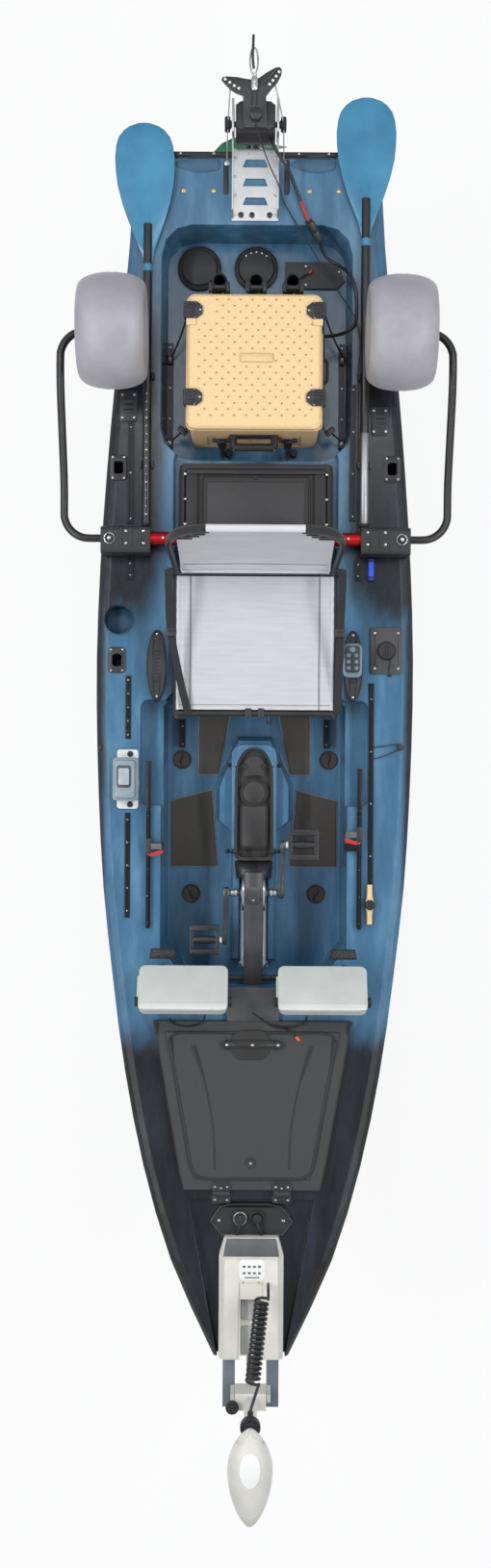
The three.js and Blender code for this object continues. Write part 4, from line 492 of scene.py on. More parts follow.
anodised = polished("black_anodised", (0.035, 0.036, 0.04), 0.34)
slider_rows = (1.389, 1.118)
stud = [(0.007, 0), (0.007, 0.006), (0.004, 0.008), (0.004, 0.014), (0.0015, 0.015)]
for label, x in (("left", -0.282), ("right", 0.278)):
    make(f"gear_rail_{label}", [channel(x, 0.1925, 1.101, 1.445, 0.01, 0.014)], anodised)
    make(f"gear_rail_screws_{label}", [screw_head(x, py, 0.2015, 0.0035)
                                       for py in (1.118, 1.2, 1.3, 1.38, 1.432)], steel)
    make(f"gear_rail_sliders_{label}", [slab(x, py, 0.022, 0.03, 0.005, 0.207, 0.216, 0.002)
                                        for py in slider_rows], black_plastic)
    make(f"gear_rail_studs_{label}", [turned(stud, (x, py, 0.216), count=14) for py in slider_rows], steel)
for label in ("left", "centre", "right"):
    dress(f"rod_tube_{label}", black_plastic)
    low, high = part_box(f"rod_tube_{label}")
    x, y = middle_of(low, high)
    make(f"rod_tube_rim_{label}", [ring_of(x, y, high.z - 0.001, 0.0215, 0.0032, 28),
                                   ring_of(x, y, high.z - 0.03, 0.0245, 0.0018, 28)], black_rubber)
    clips = [slab(x + dx, 1.5585, 0.012, 0.03, 0.003, z, z + 0.05, 0.002)
             for dx in (-0.027, 0.027) for z in (0.3, 0.4)]
    clips += [slab(x, 1.5605, 0.066, 0.012, 0.003, z + 0.008, z + 0.042, 0.002) for z in (0.3, 0.4)]
    clips.append(screw_head(x, 1.5575, high.z - 0.02, 0.004))
    make(f"rod_tube_clips_{label}", clips, black_plastic)


# Crate: a square tan gear crate with a pebbled lid, four black latches, carry handles and a red strap.
# It is rotomoulded, with dimples drilled in rows, and the latches are screwed on. The dimples' dark brown
# is painted shade in their hollows.
def pebbled(name, colour, shade=0.08):
    paint, tree, shader = new_finish(name, colour, 0.55)
    pebble = speckle(tree, 420, 2, 0.5)
    tone = ramp(tree, speckle(tree, 160, 3),
                [(0.35, tuple(c * (1 - shade) for c in colour)), (0.6, colour)])
    join_up(tree, (tone, shader.inputs["Base Color"]))
    soften(tree, shader, 0.005, pebble, 0.5, 0.0012)
    return paint


crate_tan = pebbled("crate_tan", (0.8, 0.572, 0.3))
crate_wall = pebbled("crate_wall_tan", (0.78, 0.55, 0.29))
# Dark brown for the dimples: painted shade in each hollow.
dimple_painted_shade = moulded("dimple_painted_shade", (0.22, 0.14, 0.05), 0.7)
dress("crate_lid", crate_tan)
dress("crate_body", crate_wall)
low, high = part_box("crate_lid")
top = high.z
lip = [(x, y, low.z + 0.006)
       for x, y in oblong(*middle_of(low, high), high.x - low.x - 0.001, high.y - low.y - 0.001, 0.02, 5)]
lip.append((high.x - 0.0005, low.y + 0.3, low.z + 0.006))
make("crate_lid_lip", [tube(lip, 0.0025, 6)], crate_tan, "crate_lid")
dimples = []
for row in range(21):
    y = 1.142 + row * 0.0187
    for column in range(10):
        x = -0.178 + column * 0.0365 + (0.018 if row % 2 else 0)
        if x < 0.17 and not (abs(x) > 0.135 and (1.165 < y < 1.235 or 1.43 < y < 1.5)) and not (
                abs(x) < 0.055 and 1.3 < y < 1.345):
            dimples.append(turned([(0.0001, -0.0006), (0.0017, -0.0006), (0.0023, 0.0004),
                                   (0.0012, 0.0006)], (x, y, top), count=8))
make("crate_dimples", dimples, dimple_painted_shade, "crate_lid")
make("crate_plaque", [slab(0, 1.319, 0.1, 0.026, 0.002, top - 0.0004, top + 0.0012, 0.0005)], crate_tan,
     "crate_lid")
latches, latch_screws, latch_rows = [], [], (1.197, 1.465)
for side in (-1, 1):
    for y in latch_rows:
        edge = low.x if side < 0 else high.x
        leaf = [(edge + side * 0.001, y - 0.026), (edge + side * 0.001, y + 0.026),
                (edge - side * 0.032, y + 0.026), (edge - side * 0.05, y + 0.012),
                (edge - side * 0.05, y - 0.012), (edge - side * 0.032, y - 0.026)]
        latches.append(plate(leaf, top - 0.001, top + 0.003, 0.001))
        latches += [slab(edge - side * 0.014, y + dy, 0.028, 0.006, 0.002, top + 0.002, top + 0.007)
                    for dy in (-0.019, -0.0065, 0.0065, 0.019)]
        latches.append(tube([(edge + side * 0.004, y - 0.024, top - 0.002),
                             (edge + side * 0.004, y + 0.024, top - 0.002)], 0.005, 10))
        latches.append(slab(edge + side * 0.0035, y, 0.007, 0.046, 0.002, low.z + 0.004, top - 0.004))
        latch_screws += [screw_head(edge - side * 0.026, y - 0.021, top + 0.003, 0.0036),
                         screw_head(edge - side * 0.026, y + 0.021, top + 0.003, 0.0036),
                         screw_head(edge - side * 0.043, y, top + 0.003, 0.0036)]
make("crate_latches", latches, black_plastic, "crate_lid")
make("crate_latch_screws", latch_screws, steel, "crate_lid")
low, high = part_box("crate_body")
catches = [slab(side * 0.2005 - 0.0065, y, 0.006, 0.046, 0.002, 0.38, 0.455)
           for side in (-1, 1) for y in latch_rows]
make("crate_catches", catches, black_plastic)
grip = [(-0.072, 1.107, 0.392), (-0.072, 1.075, 0.392), (-0.066, 1.069, 0.392), (0.052, 1.069, 0.392),
        (0.058, 1.075, 0.392), (0.058, 1.107, 0.392)]
make("crate_handle_grip", [tube(grip, 0.0123, 12),
                           slab(-0.007, 1.1045, 0.15, 0.007, 0.003, 0.37, 0.405, 0.002)], black_rubber)
make("crate_side_handle", [slab(0.2065, 1.3, 0.012, 0.094, 0.004, 0.395, 0.43, 0.003),
                           tube(flowing([(0.207, 1.262, 0.425), (0.219, 1.27, 0.428), (0.2205, 1.3, 0.4285),
                                         (0.219, 1.33, 0.428), (0.207, 1.338, 0.425)], 4), 0.005, 8)],
     black_rubber)
make("crate_strap", [slab(-0.004, 1.1055, 0.172, 0.005, 0.002, 0.352, 0.372)], red_plastic)
hangers = []
for x in (-0.11, 0.102):
    hangers += [slab(x, 1.1035, 0.06, 0.01, 0.004, 0.318, 0.338, 0.003),
                slab(x, 1.1, 0.026, 0.014, 0.004, 0.24, 0.34, 0.003),
                turned([(0.012, 0), (0.014, 0.004), (0.014, 0.02), (0.01, 0.026)],
                       (x + 0.018, 1.086, 0.194), count=14),
                tube(flowing([(x, 1.096, 0.26), (x, 1.082, 0.235), (x, 1.06, 0.225), (x, 1.04, 0.24)], 4),
                     0.006, 8)]
make("crate_hangers", hangers, black_plastic)


# Launch wheels: grey balloon tyres on moulded hubs, black bent tubes, and a red telescoping cross tube.
# The arms swing over the deck and lock with ring pins in the black folded brackets.
def balloon_rubber():
    paint, tree, shader = new_finish("balloon_grey", (0.32, 0.31, 0.35), 0.42)
    cloud = speckle(tree, 9, 6, 0.6)
    join_up(tree, (ramp(tree, cloud, [(0.3, (0.29, 0.28, 0.315)), (0.7, (0.37, 0.355, 0.4))]),
                   shader.inputs["Base Color"]))
    shader.inputs["Sheen Weight"].default_value = 0.15
    soften(tree, shader, 0.002, speckle(tree, 260, 4), 0.12, 0.0006)
    return paint


def quarter(cx, cy, start, z, radius=0.078):
    return [(cx + radius * math.cos(start + i * math.pi / 12),
             cy + radius * math.sin(start + i * math.pi / 12), z) for i in range(7)]


balloon_grey = balloon_rubber()
hub_grey = moulded("hub_grey", (0.1, 0.1, 0.115), 0.45)
black_tube = moulded("powder_black_tube", (0.014, 0.014, 0.016), 0.3, grain=1500, strength=0.08)
red_tube = polished("red_anodised", (0.62, 0.025, 0.03), 0.32)
wheel_half, tyre_ring, tyre_swell = 0.103, 0.1335, 0.0415
axle_x, axle_y, axle_z = 0.443, 1.396, 0.53
bar_y, bar_z = 0.779, 0.4
bend = [(0.225, bar_y, bar_z), (0.35, bar_y, bar_z), (0.485, bar_y, bar_z)]
bend += quarter(0.524, 0.857, -math.pi / 2, bar_z)
bend += [(0.602, 0.95, 0.4075), (0.602, 1.0875, 0.465), (0.602, 1.225, 0.5225)]
bend += quarter(0.524, 1.318, 0, axle_z)
bend += [(0.493, axle_y, axle_z), (axle_x, axle_y, axle_z), (0.36, axle_y, axle_z)]
valve = [(0.005, 0), (0.005, 0.006), (0.003, 0.007), (0.003, 0.014), (0.0015, 0.015)]
pin = [(0.004, 0), (0.004, 0.01), (0.0055, 0.011), (0.0055, 0.014), (0.002, 0.015)]
for label, side in (("left", -1), ("right", 1)):
    tyre = [(0.06, -0.04), (0.088, -0.045), (0.092, -0.06)]
    for i in range(33):
        angle = math.pi * 0.76 * (2 * i / 32 - 1)
        across = wheel_half * math.sin(angle)
        groove = 0.0012 * sum(math.exp(-((across - at) / 0.004) ** 2) for at in (-0.034, 0.0, 0.034))
        tyre.append((tyre_ring + tyre_swell * math.cos(angle) - groove, across))
    tyre += [(0.092, 0.06), (0.088, 0.045), (0.06, 0.04)]
    centre = (side * axle_x, axle_y, axle_z)
    wheel = make(f"balloon_tyre_{label}", [turned(tyre, centre, (1, 0, 0), 72)], balloon_grey,
                 f"wheel_{label}", 50)
    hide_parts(f"wheel_{label}")
    hub = [(0.0135, -0.075), (0.044, -0.075), (0.046, -0.072), (0.046, -0.04), (0.07, -0.036),
           (0.07, 0.036), (0.046, 0.04), (0.046, 0.072), (0.044, 0.075), (0.0135, 0.075)]
    make(f"wheel_hub_{label}", [turned(hub, centre, (1, 0, 0), 40)], hub_grey, f"wheel_{label}")
    spokes = []
    for i in range(6):
        spin = Matrix.Translation(Vector(centre)) @ Matrix.Rotation(math.radians(60 * i), 4, "X")
        for face in (-1, 1):
            spokes.append(moved(slab(0, 0.062, 0.008, 0.045, 0.003, 0, 0.012, 0.003),
                                spin @ Matrix.Translation((face * 0.041, 0, -0.006))))
    make(f"wheel_spokes_{label}", spokes, hub_grey, f"wheel_{label}")
    valve_at = (side * (axle_x + 0.072), axle_y + 0.1, axle_z)
    make(f"wheel_valve_{label}", [turned(valve, valve_at, (side, 0, 0), 12)], black_rubber,
         f"wheel_{label}")
    arm = make(f"bent_arm_{label}", [tube(flowing([(side * x, y, z) for x, y, z in bend], 3), 0.0124, 16)],
               black_tube, f"arm_{label}")
    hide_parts(f"wheel_arm_{label}")
    make(f"axle_cap_{label}", [turned([(0.017, 0), (0.017, 0.006), (0.014, 0.009), (0.0125, 0.009)],
                                      (side * 0.519, axle_y, axle_z), (side, 0, 0), 20)], hub_grey,
         f"arm_{label}")
    dress(f"wheel_bracket_{label}", black_plastic)
    dress(f"wheel_sleeve_{label}", red_tube)
    low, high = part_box(f"wheel_bracket_{label}")
    inner, outer = (low.x, high.x) if side > 0 else (high.x, low.x)
    bolts = [screw_head(inner + side * dx, y, high.z, 0.0048) for dx in (0.02, 0.075)
             for y in (0.76, 0.798)]
    bolts += [screw_head(inner + side * dx, 0.737, low.z + 0.012, 0.005) for dx in (0.02, 0.13)]
    make(f"wheel_bracket_bolts_{label}", bolts, steel)
    pin_x, pin_y = outer - side * 0.028, 0.775
    ring = [(pin_x + 0.016 * math.cos(a), pin_y + 0.016 * math.sin(a), high.z + 0.004 + 0.002 * math.sin(a))
            for a in (2 * math.pi * i / 20 for i in range(22))]
    make(f"ring_pin_{label}", [tube(ring, 0.0013, 6),
                               turned(pin, (pin_x, pin_y, high.z - 0.004), count=12)], steel)
    ribs = [slab(inner + side * (0.03 + 0.03 * i), 0.779, 0.006, 0.06, 0.002, high.z - 0.0005,
                 high.z + 0.0022, 0.001) for i in range(4)]
    make(f"wheel_bracket_ribs_{label}", ribs, black_plastic)
dress("cross_tube", red_tube)
buttons = [turned([(0.0045, 0), (0.0045, 0.0012), (0.002, 0.003), (0.0005, 0.0032)], (x, 0.779, 0.4213),
                  count=12) for x in (-0.29, -0.24, 0.24, 0.29)]
make("cross_tube_buttons", buttons, steel)


# Paddle: two halves on the side decks, each a blue nylon blade with a spine on a black tube.
# The left tube has a plain measuring scale, the right one a grey ferrule that joins the halves.
blade_blue, tree, shader = new_finish("blade_blue", (0.02, 0.122, 0.235), 0.27)
cloud = speckle(tree, 8, 4)
join_up(tree, (ramp(tree, cloud, [(0.3, (0.03, 0.17, 0.31)), (0.7, (0.05, 0.25, 0.42))]),
               shader.inputs["Base Color"]))
shader.inputs["Coat Weight"].default_value = 0.3
soften(tree, shader, 0.001, speckle(tree, 500, 2), 0.06, 0.0004)
ferrule_grey = polished("ferrule_grey", (0.42, 0.43, 0.44), 0.4)
BLADE = [(0, 0.16), (0.06, 0.21), (0.12, 0.3), (0.3, 0.62), (0.42, 0.8), (0.55, 0.94), (0.66, 0.99),
         (0.75, 1.0), (0.84, 0.95), (0.9, 0.86), (0.95, 0.68), (0.98, 0.48), (1.0, 0.2)]
left_tube, right_tube, paddle_z = -0.347, 0.343, 0.3623
blade_length, blade_half, tube_front = 0.44, 0.0945, 0.832
for label, root_x, tip_x, tip in (("left", left_tube, -0.361, 2.1), ("right", right_tube, 0.343, 2.184)):
    root = tip - blade_length
    rings = []
    for share, width in BLADE:
        half = blade_half * width
        spine = max(0.0035, 0.012 * (1 - share) ** 1.5)
        middle = root_x + (tip_x - root_x) * share
        cup = 0.007 * math.sin(math.pi * share) * width
        section = [(1, 0), (0.8, 0.0022), (0.4, 0.003), (0.12, 0.0035 + spine * 0.25), (0, spine),
                   (-0.12, 0.0035 + spine * 0.25), (-0.4, 0.003), (-0.8, 0.0022), (-1, 0), (-0.6, -0.0025),
                   (0, -0.0035 - spine * 0.4), (0.6, -0.0025)]
        rings.append([(middle + half * u, root + blade_length * share, paddle_z + v + cup * (u * u - 0.35))
                      for u, v in section])
    blade = make(f"paddle_blade_{label}", [lofted(rings)], blade_blue, smooth=50)
    make(f"paddle_shaft_{label}", [tube([(root_x, tube_front, paddle_z), (root_x, root + 0.12, paddle_z)],
                                        0.0138, 18)], black_tube)
    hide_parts(f"paddle_{label}")
    make(f"paddle_collar_{label}", [turned([(0.0139, 0), (0.0155, 0.002), (0.0155, 0.022), (0.0139, 0.024)],
                                           (root_x, root - 0.03, paddle_z), (0, 1, 0), 20)], blade_blue)
scale_marks = [slab(left_tube, 0.86 + 0.0254 * i, 0.0035 if i % 4 else 0.008, 0.0035, 0.0012, 0.3755,
                    0.3763, 0.0003) for i in range(16)]
make("paddle_scale", scale_marks, white_print)
make("paddle_ferrule", [turned([(0.0139, 0), (0.0149, 0.002), (0.0149, 0.285), (0.0139, 0.287)],
                               (right_tube, 0.834, paddle_z), (0, 1, 0), 20)], ferrule_grey)
make("paddle_end_caps", [turned([(0.0138, 0), (0.0138, 0.006), (0.011, 0.009), (0.002, 0.01)],
                                (x, tube_front, paddle_z), (0, -1, 0), 18)
                         for x in (left_tube, right_tube)], black_rubber)
clips = []
for x in (left_tube, right_tube):
    for y in (1.02, 1.3):
        clips.append(slab(x, y, 0.05, 0.026, 0.006, 0.3483, 0.3503, 0.001))
        clips += [slab(x + dx, y, 0.006, 0.022, 0.002, 0.35, 0.371, 0.002) for dx in (-0.0185, 0.0185)]
make("paddle_clips", clips, black_plastic)


# Side deck fittings: bolt-on plates and rails, flush rod holders, the cup ring, a deck plate with its
# plug on a tether, and a blue lure tube. They are moulded or extruded, and screwed down with pan heads.
fittings, fitting_screws = [], []
for x, y, width, length in ((-0.406, 1.206, 0.055, 0.098), (0.391, 1.163, 0.055, 0.092)):
    fittings.append(slab(x, y, width, length, 0.008, DECK + 0.0003, DECK + 0.005, 0.002))
    fittings += [slab(x, y + dy, width * 0.62, 0.012, 0.004, DECK + 0.004, DECK + 0.0085, 0.002)
                 for dy in (-0.016, 0, 0.016)]
    fitting_screws += [screw_head(x + dx, y + dy, DECK + 0.005, 0.0042) for dx in (-0.019, 0.019)
                       for dy in (-length / 2 + 0.013, length / 2 - 0.013)]
make("side_plates", fittings, black_plastic)
make("side_plate_screws", fitting_screws, steel)
side_rails = [(-0.397, 0.834, 1.154), (0.307, 0.845, 1.277), (-0.397, 0.655, 0.722), (0.325, 0.655, 0.722)]
for number, (x, front, rear) in enumerate(side_rails):
    make(f"side_rail_{number}", [channel(x, DECK + 0.0003, front, rear, 0.0095, 0.011)], anodised)
    count = max(2, round((rear - front) / 0.1))
    step = (rear - front - 0.03) / (count - 1)
    make(f"side_rail_screws_{number}", [screw_head(x, front + 0.015 + step * i, DECK + 0.0064, 0.003)
                                        for i in range(count)], steel)
for number, (x, y) in enumerate(((-0.436, 1.011), (0.432, 1.011), (-0.438, 0.4))):
    outline = oblong(x, y, 0.055, 0.082, 0.012)
    outer = [(px, py, DECK + 0.0004) for px, py in outline]
    high_ring = [(px, py, DECK + 0.004) for px, py in outline]
    upper = [(px, py, DECK + 0.0055) for px, py in shrunk(outline, 0.0025)]
    mouth = [(x + 0.0218 * math.cos(a), y + 0.0218 * math.sin(a)) for a in
             (math.atan2(py - y, px - x) for px, py in outline)]
    throat = [[(px, py, z) for px, py in mouth] for z in (DECK + 0.0055, DECK + 0.003)]
    drop = [[(x + (px - x) * 0.95, y + (py - y) * 0.95, z) for px, py in mouth]
            for z in (DECK - 0.02, DECK - 0.09)]
    make(f"flush_holder_{number}", [lofted([outer, high_ring, upper, *throat, *drop], capped=False)],
         black_plastic)
    make(f"flush_holder_screws_{number}", [screw_head(x + sx * 0.018, y + sy * 0.033, DECK + 0.0055, 0.0036)
                                           for sx in (-1, 1) for sy in (-1, 1)], steel)
cup_x, cup_y = -0.433, 0.528
make("cup_ring", [ring_of(cup_x, cup_y, DECK + 0.0005, 0.0475, 0.0022, 48),
                  ring_of(cup_x, cup_y, DECK - 0.035, 0.0448, 0.0015, 48)], hull_paint)
# The cup's floor is a darker blue sheet: painted shade at the bottom of the recess.
make("cup_floor", [plate(disc(cup_x, cup_y, 0.044, 40), 0.2784, 0.2798, 0.0005)], recess_painted_shade)

plate_grey = moulded("deck_plate_grey", (0.045, 0.046, 0.048), 0.5, grain=600)
cover_x, cover_y, base_z = 0.416, 0.4335, 0.3555
make("deck_plate_cover", [slab(cover_x, cover_y, 0.1, 0.147, 0.006, base_z - 0.0003, base_z + 0.0016,
                               0.0008)], plate_grey)
make("deck_plate_grooves", [tube([(cover_x + dx, cover_y - 0.06, base_z + 0.0014),
                                  (cover_x + dx, cover_y + 0.06, base_z + 0.0014)], 0.0012, 6)
                            for dx in (-0.037, 0.037)], black_rubber)
make("deck_plate_screws", [screw_head(cover_x + dx, cover_y + dy, base_z + 0.0016, 0.0042)
                           for dx in (-0.037, 0.037) for dy in (-0.056, 0.056)], steel)
make("deck_plug_cap", [turned([(0.031, -0.001), (0.031, 0.001), (0.0268, 0.003), (0.0265, 0.0125),
                               (0.0245, 0.0152), (0.0225, 0.0142), (0.0005, 0.0145)],
                              (cover_x, cover_y - 0.001, base_z + 0.0014), count=36),
                       slab(cover_x, cover_y - 0.001, 0.007, 0.032, 0.003, base_z + 0.0155,
                            base_z + 0.019)], black_rubber)
tether_route = flowing([(0.425, 0.425, base_z + 0.0045), (0.428, 0.4, base_z + 0.004),
                        (0.424, 0.372, base_z + 0.003), (0.427, 0.356, base_z - 0.003)], 6)
make("deck_plug_tether", [tube(tether_route, 0.0018, 8)], black_rubber)
make("deck_plug_tether_end", [turned([(0.006, 0), (0.006, 0.002), (0.003, 0.0035)],
                                     (0.427, 0.356, DECK + 0.0006), count=14)], black_rubber)
blue_wrap = moulded("lure_blue", (0.01, 0.06, 0.55), 0.35)
lure_x, lure_z = 0.366, DECK + 0.0118
lure = [(0.009, -0.034), (0.0115, -0.031), (0.0115, 0.031), (0.009, 0.034), (0.006, 0.035)]
make("lure_tube", [turned(lure, (lure_x, 0.69, lure_z), (0, 1, 0), 24)], blue_wrap)
make("lure_tube_ends", [turned([(0.0119, 0), (0.0122, 0.002), (0.0119, 0.006)], (lure_x, y, lure_z),
                               (0, 1, 0), 24) for y in (0.661, 0.713)], black_rubber)


# Seat: a folding aluminium frame in black, with a grey mesh sling for the pan and the back, sewn round
# its tubes. Black webbing straps set the back's angle; the frame's feet slide in two short floor tracks.
def woven(name, colour, pitch, shade=0.22):
    paint, tree, shader = new_finish(name, colour, 0.8, specular=0.25)
    shader.inputs["Sheen Weight"].default_value = 0.2
    threads = []
    for direction in ("X", "Y"):
        wave = add_node(tree, "ShaderNodeTexWave",
                        {"Scale": 0.314 / pitch, "Distortion": 0.4, "Detail": 1.0},
                        bands_direction=direction)
        join_up(tree, (place_of(tree), wave.inputs["Vector"]))
        threads.append(wave.outputs["Fac"])
    weave = maths(tree, "MULTIPLY", threads[0], threads[1])
    slub = speckle(tree, 9, 8, 0.7, stretch=(1, 14, 1))
    mix = maths(tree, "ADD", maths(tree, "MULTIPLY", weave, 0.35), maths(tree, "MULTIPLY", slub, 0.75))
    tone = ramp(tree, mix, [(0.25, tuple(c * (1 - shade) for c in colour)), (0.7, colour)])
    join_up(tree, (tone, shader.inputs["Base Color"]))
    soften(tree, shader, 0.0008, weave, 0.5, 0.0006)
    return paint


mesh_cloth = woven("seat_mesh", (0.6, 0.6, 0.62), 0.0022)
hem_cloth = woven("hem_cloth", (0.66, 0.66, 0.67), 0.0016, 0.12)
seam_thread = moulded("seam_thread", (0.2, 0.2, 0.21), 0.8)
webbing = woven("black_webbing", (0.03, 0.03, 0.032), 0.0015, 0.3)
frame_black = moulded("frame_black", (0.02, 0.02, 0.022), 0.38, grain=1500, strength=0.08)
for node in ("seat_frame", "back_frame"):
    dress(node, frame_black)


def sling(width_at, place_at, columns, rows, thickness):
    points, faces = [], []
    for layer in (0, 1):
        for j in range(rows + 1):
            for i in range(columns + 1):
                u, v = 2 * i / columns - 1, j / rows
                points.append(place_at(u * width_at(v), v, u, -thickness * layer))
    size = (rows + 1) * (columns + 1)
    for layer in (0, 1):
        for j in range(rows):
            for i in range(columns):
                a = layer * size + j * (columns + 1) + i
                faces.append((a, a + 1, a + columns + 2, a + columns + 1))
    rim = [i for i in range(columns + 1)] + [j * (columns + 1) + columns for j in range(1, rows + 1)]
    rim += ([rows * (columns + 1) + i for i in range(columns - 1, -1, -1)]
            + [j * (columns + 1) for j in range(rows - 1, 0, -1)])
    faces += [(a, b, b + size, a + size) for a, b in zip(rim, rim[1:] + rim[:1])]
    return points, faces


low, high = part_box("seat_pad")
pan_top, pan_half, pan_front, pan_rear = high.z - 0.004, (high.x - low.x) / 2, low.y, high.y
ripple = random.Random(4)
wrinkles = [(ripple.uniform(-0.2, 0.2), ripple.uniform(0.2, 0.95), ripple.uniform(0.02, 0.05),
             ripple.uniform(-0.0012, 0.0012)) for i in range(26)]


def pan_place(x, v, u, drop):
    y = pan_front + (pan_rear - pan_front) * v
    sag = -0.009 * (1 - u * u) * math.sin(math.pi * min(1, v * 1.08)) ** 0.8
    crease = sum(depth * math.exp(-((x - cx) / (3 * reach)) ** 2 - ((v - cv) * 0.42 / reach) ** 2)
                 for cx, cv, reach, depth in wrinkles)
    return x, y, pan_top + sag + crease + drop


pan = make("seat_pan_mesh", [sling(lambda v: pan_half, pan_place, 40, 36, 0.0016)], mesh_cloth, "seat",
           60)
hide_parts("seat_pad")


def along_pan(u, v):
    x, y, z = pan_place(u * pan_half, v, u, 0)
    return x, y, z + 0.0007


seams = [tube([along_pan(u, v / 30) for v in range(31)], 0.0009, 5) for u in (-0.86, -0.845, 0.84, 0.855)]
seams.append(tube([along_pan(u / 20 - 1, 0.035) for u in range(41)], 0.0009, 5))
make("seat_pan_seams", seams, seam_thread, "seat")
hems = [tube([(u * (pan_half + 0.004), pan_front + (pan_rear - pan_front) * v / 24,
               pan_top - 0.003 + 0.002 * (v % 2)) for v in range(25)], 0.006, 8) for u in (-1, 1)]
make("seat_pan_hems", hems, hem_cloth, "seat")
low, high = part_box("seat_frame")
bar_clips = [slab(x, low.y + 0.011, 0.02, 0.03, 0.004, 0.372, 0.3765, 0.002) for x in (-0.02, 0.02)]
bar_clips.append(turned([(0.007, 0), (0.007, 0.02), (0.005, 0.024)], (0.045, low.y + 0.002, 0.362),
                        (0, -1, 0), 14))
make("seat_front_clips", bar_clips, black_plastic, "seat")
foot_x = 0.237
feet = [slab(side * foot_x, low.y + 0.012, 0.036, 0.04, 0.005, 0.33, 0.352, 0.003) for side in (-1, 1)]
make("seat_corner_blocks", feet, black_plastic, "seat")
make("seat_tracks", [channel(side * foot_x, 0.1265, 0.128, 0.29, 0.0095, 0.011) for side in (-1, 1)],
     anodised)
make("seat_track_screws", [screw_head(side * foot_x, y, 0.133, 0.003) for side in (-1, 1)
                           for y in (0.14, 0.2, 0.26)], steel)

back_foot_y, back_foot_z, back_run, back_rise = 0.676, 0.404, 0.083, 0.376
lean = math.atan2(back_run, back_rise)
back_length = math.hypot(back_run, back_rise)


def on_back(x, s, out):
    return (x, back_foot_y + s * math.sin(lean) - out * math.cos(lean),
            back_foot_z + s * math.cos(lean) + out * math.sin(lean))


def back_half(v):
    share = v * 0.96 + 0.03
    if share < 0.7:
        return 0.231 + 0.004 * share
    t = (share - 0.7) / 0.29
    return 0.134 + 0.1 * max(0, 1 - t) ** 1.9


def back_place(x, v, u, drop):
    s = back_length * (v * 0.93 + 0.045)
    belly = 0.012 * math.sin(math.pi * v) * (1 - 0.6 * u * u)
    roll = 0.012 * math.exp(-((v - 0.06) / 0.06) ** 2)
    px, py, pz = on_back(x, s, -belly + roll - 0.002)
    return px, py + (0.0 if drop == 0 else 0.0016), pz


back = make("seat_back_mesh", [sling(back_half, back_place, 36, 32, 0.0016)], mesh_cloth, "seat_back",
            60)
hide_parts("back_pad")
back_rim = [tube([Vector(back_place(side * back_half(v / 40), v / 40, side, 0)) for v in range(41)], 0.0028,
                 7) for side in (-1, 1)]
back_rim.append(tube([on_back(u / 10 * 0.146, back_length - 0.01, 0.0) for u in range(-10, 11)], 0.0118,
                     16))
back_rim.append(tube([Vector(back_place(u / 10 * back_half(0), 0, u / 10, 0)) for u in range(-10, 11)],
                     0.0085, 8))
make("seat_back_hem", back_rim, hem_cloth, "seat_back")
make("seat_back_seams", [tube([Vector(back_place(u / 20 * back_half(v) * 0.96, v, u / 20, 0))
                               + Vector((0, -0.001, 0.0012)) for u in range(-20, 21)], 0.0009, 5)
                         for v in (0.13, 0.93)], seam_thread, "seat_back")
guards = []
for side in (-1, 1):
    arc = [on_back(side * 0.152, back_length - 0.006, 0.004), on_back(side * 0.2, back_length * 0.93, 0.0),
           on_back(side * 0.238, back_length * 0.84, -0.002),
           on_back(side * 0.254, back_length * 0.72, -0.004)]
    guards.append(tube(flowing(arc, 6), 0.0135, 12))
make("seat_back_bolsters", guards, webbing, "seat_back")
lacing = []
for side in (-1, 1):
    for i in range(5):
        s = back_length * (0.76 + 0.045 * i)
        half = back_half((s / back_length - 0.045) / 0.93)
        lacing.append(tube([on_back(side * (half - 0.006), s, 0.002),
                            on_back(side * min(0.25, half + 0.05), s + 0.004, 0.004)], 0.0028, 6))
make("seat_back_lacing", lacing, black_rubber, "seat_back")


def ribbon(path, width, thickness, flat):
    path = [Vector(p) for p in path]
    rings = []
    for i, point in enumerate(path):
        ahead = (path[min(i + 1, len(path) - 1)] - path[max(i - 1, 0)]).normalized()
        across = ahead.cross(Vector(flat)).normalized()
        up_side = across.cross(ahead).normalized()
        rings.append([point + across * (sx * width / 2) + up_side * (sz * thickness / 2)
                      for sx, sz in ((-1, -1), (1, -1), (1, 1), (-1, 1))])
    return lofted(rings)


strap_routes = {"left": [(-0.268, 0.668, 0.52), (-0.2665, 0.6, 0.5), (-0.262, 0.48, 0.452),
                         (-0.236, 0.34, 0.405), (-0.214, 0.25, 0.386), (-0.208, 0.228, 0.374)],
                "right": [(0.268, 0.668, 0.52), (0.268, 0.6, 0.5), (0.265, 0.48, 0.45),
                          (0.263, 0.34, 0.402), (0.262, 0.25, 0.381), (0.264, 0.232, 0.37)]}
for label, route in strap_routes.items():
    strap = make(f"seat_strap_{label}", [ribbon(flowing(route, 8), 0.024, 0.0018, (0, 0.3, 1))], webbing,
                 None)
    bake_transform(strap)
    buckle_at = Vector(route[2])
    make(f"strap_buckle_{label}", [slab(buckle_at.x, buckle_at.y, 0.032, 0.026, 0.005, buckle_at.z + 0.0012,
                                        buckle_at.z + 0.0062, 0.002),
                                   slab(buckle_at.x, buckle_at.y + 0.004, 0.024, 0.004, 0.0018,
                                        buckle_at.z + 0.005, buckle_at.z + 0.0085)], black_plastic, "seat")

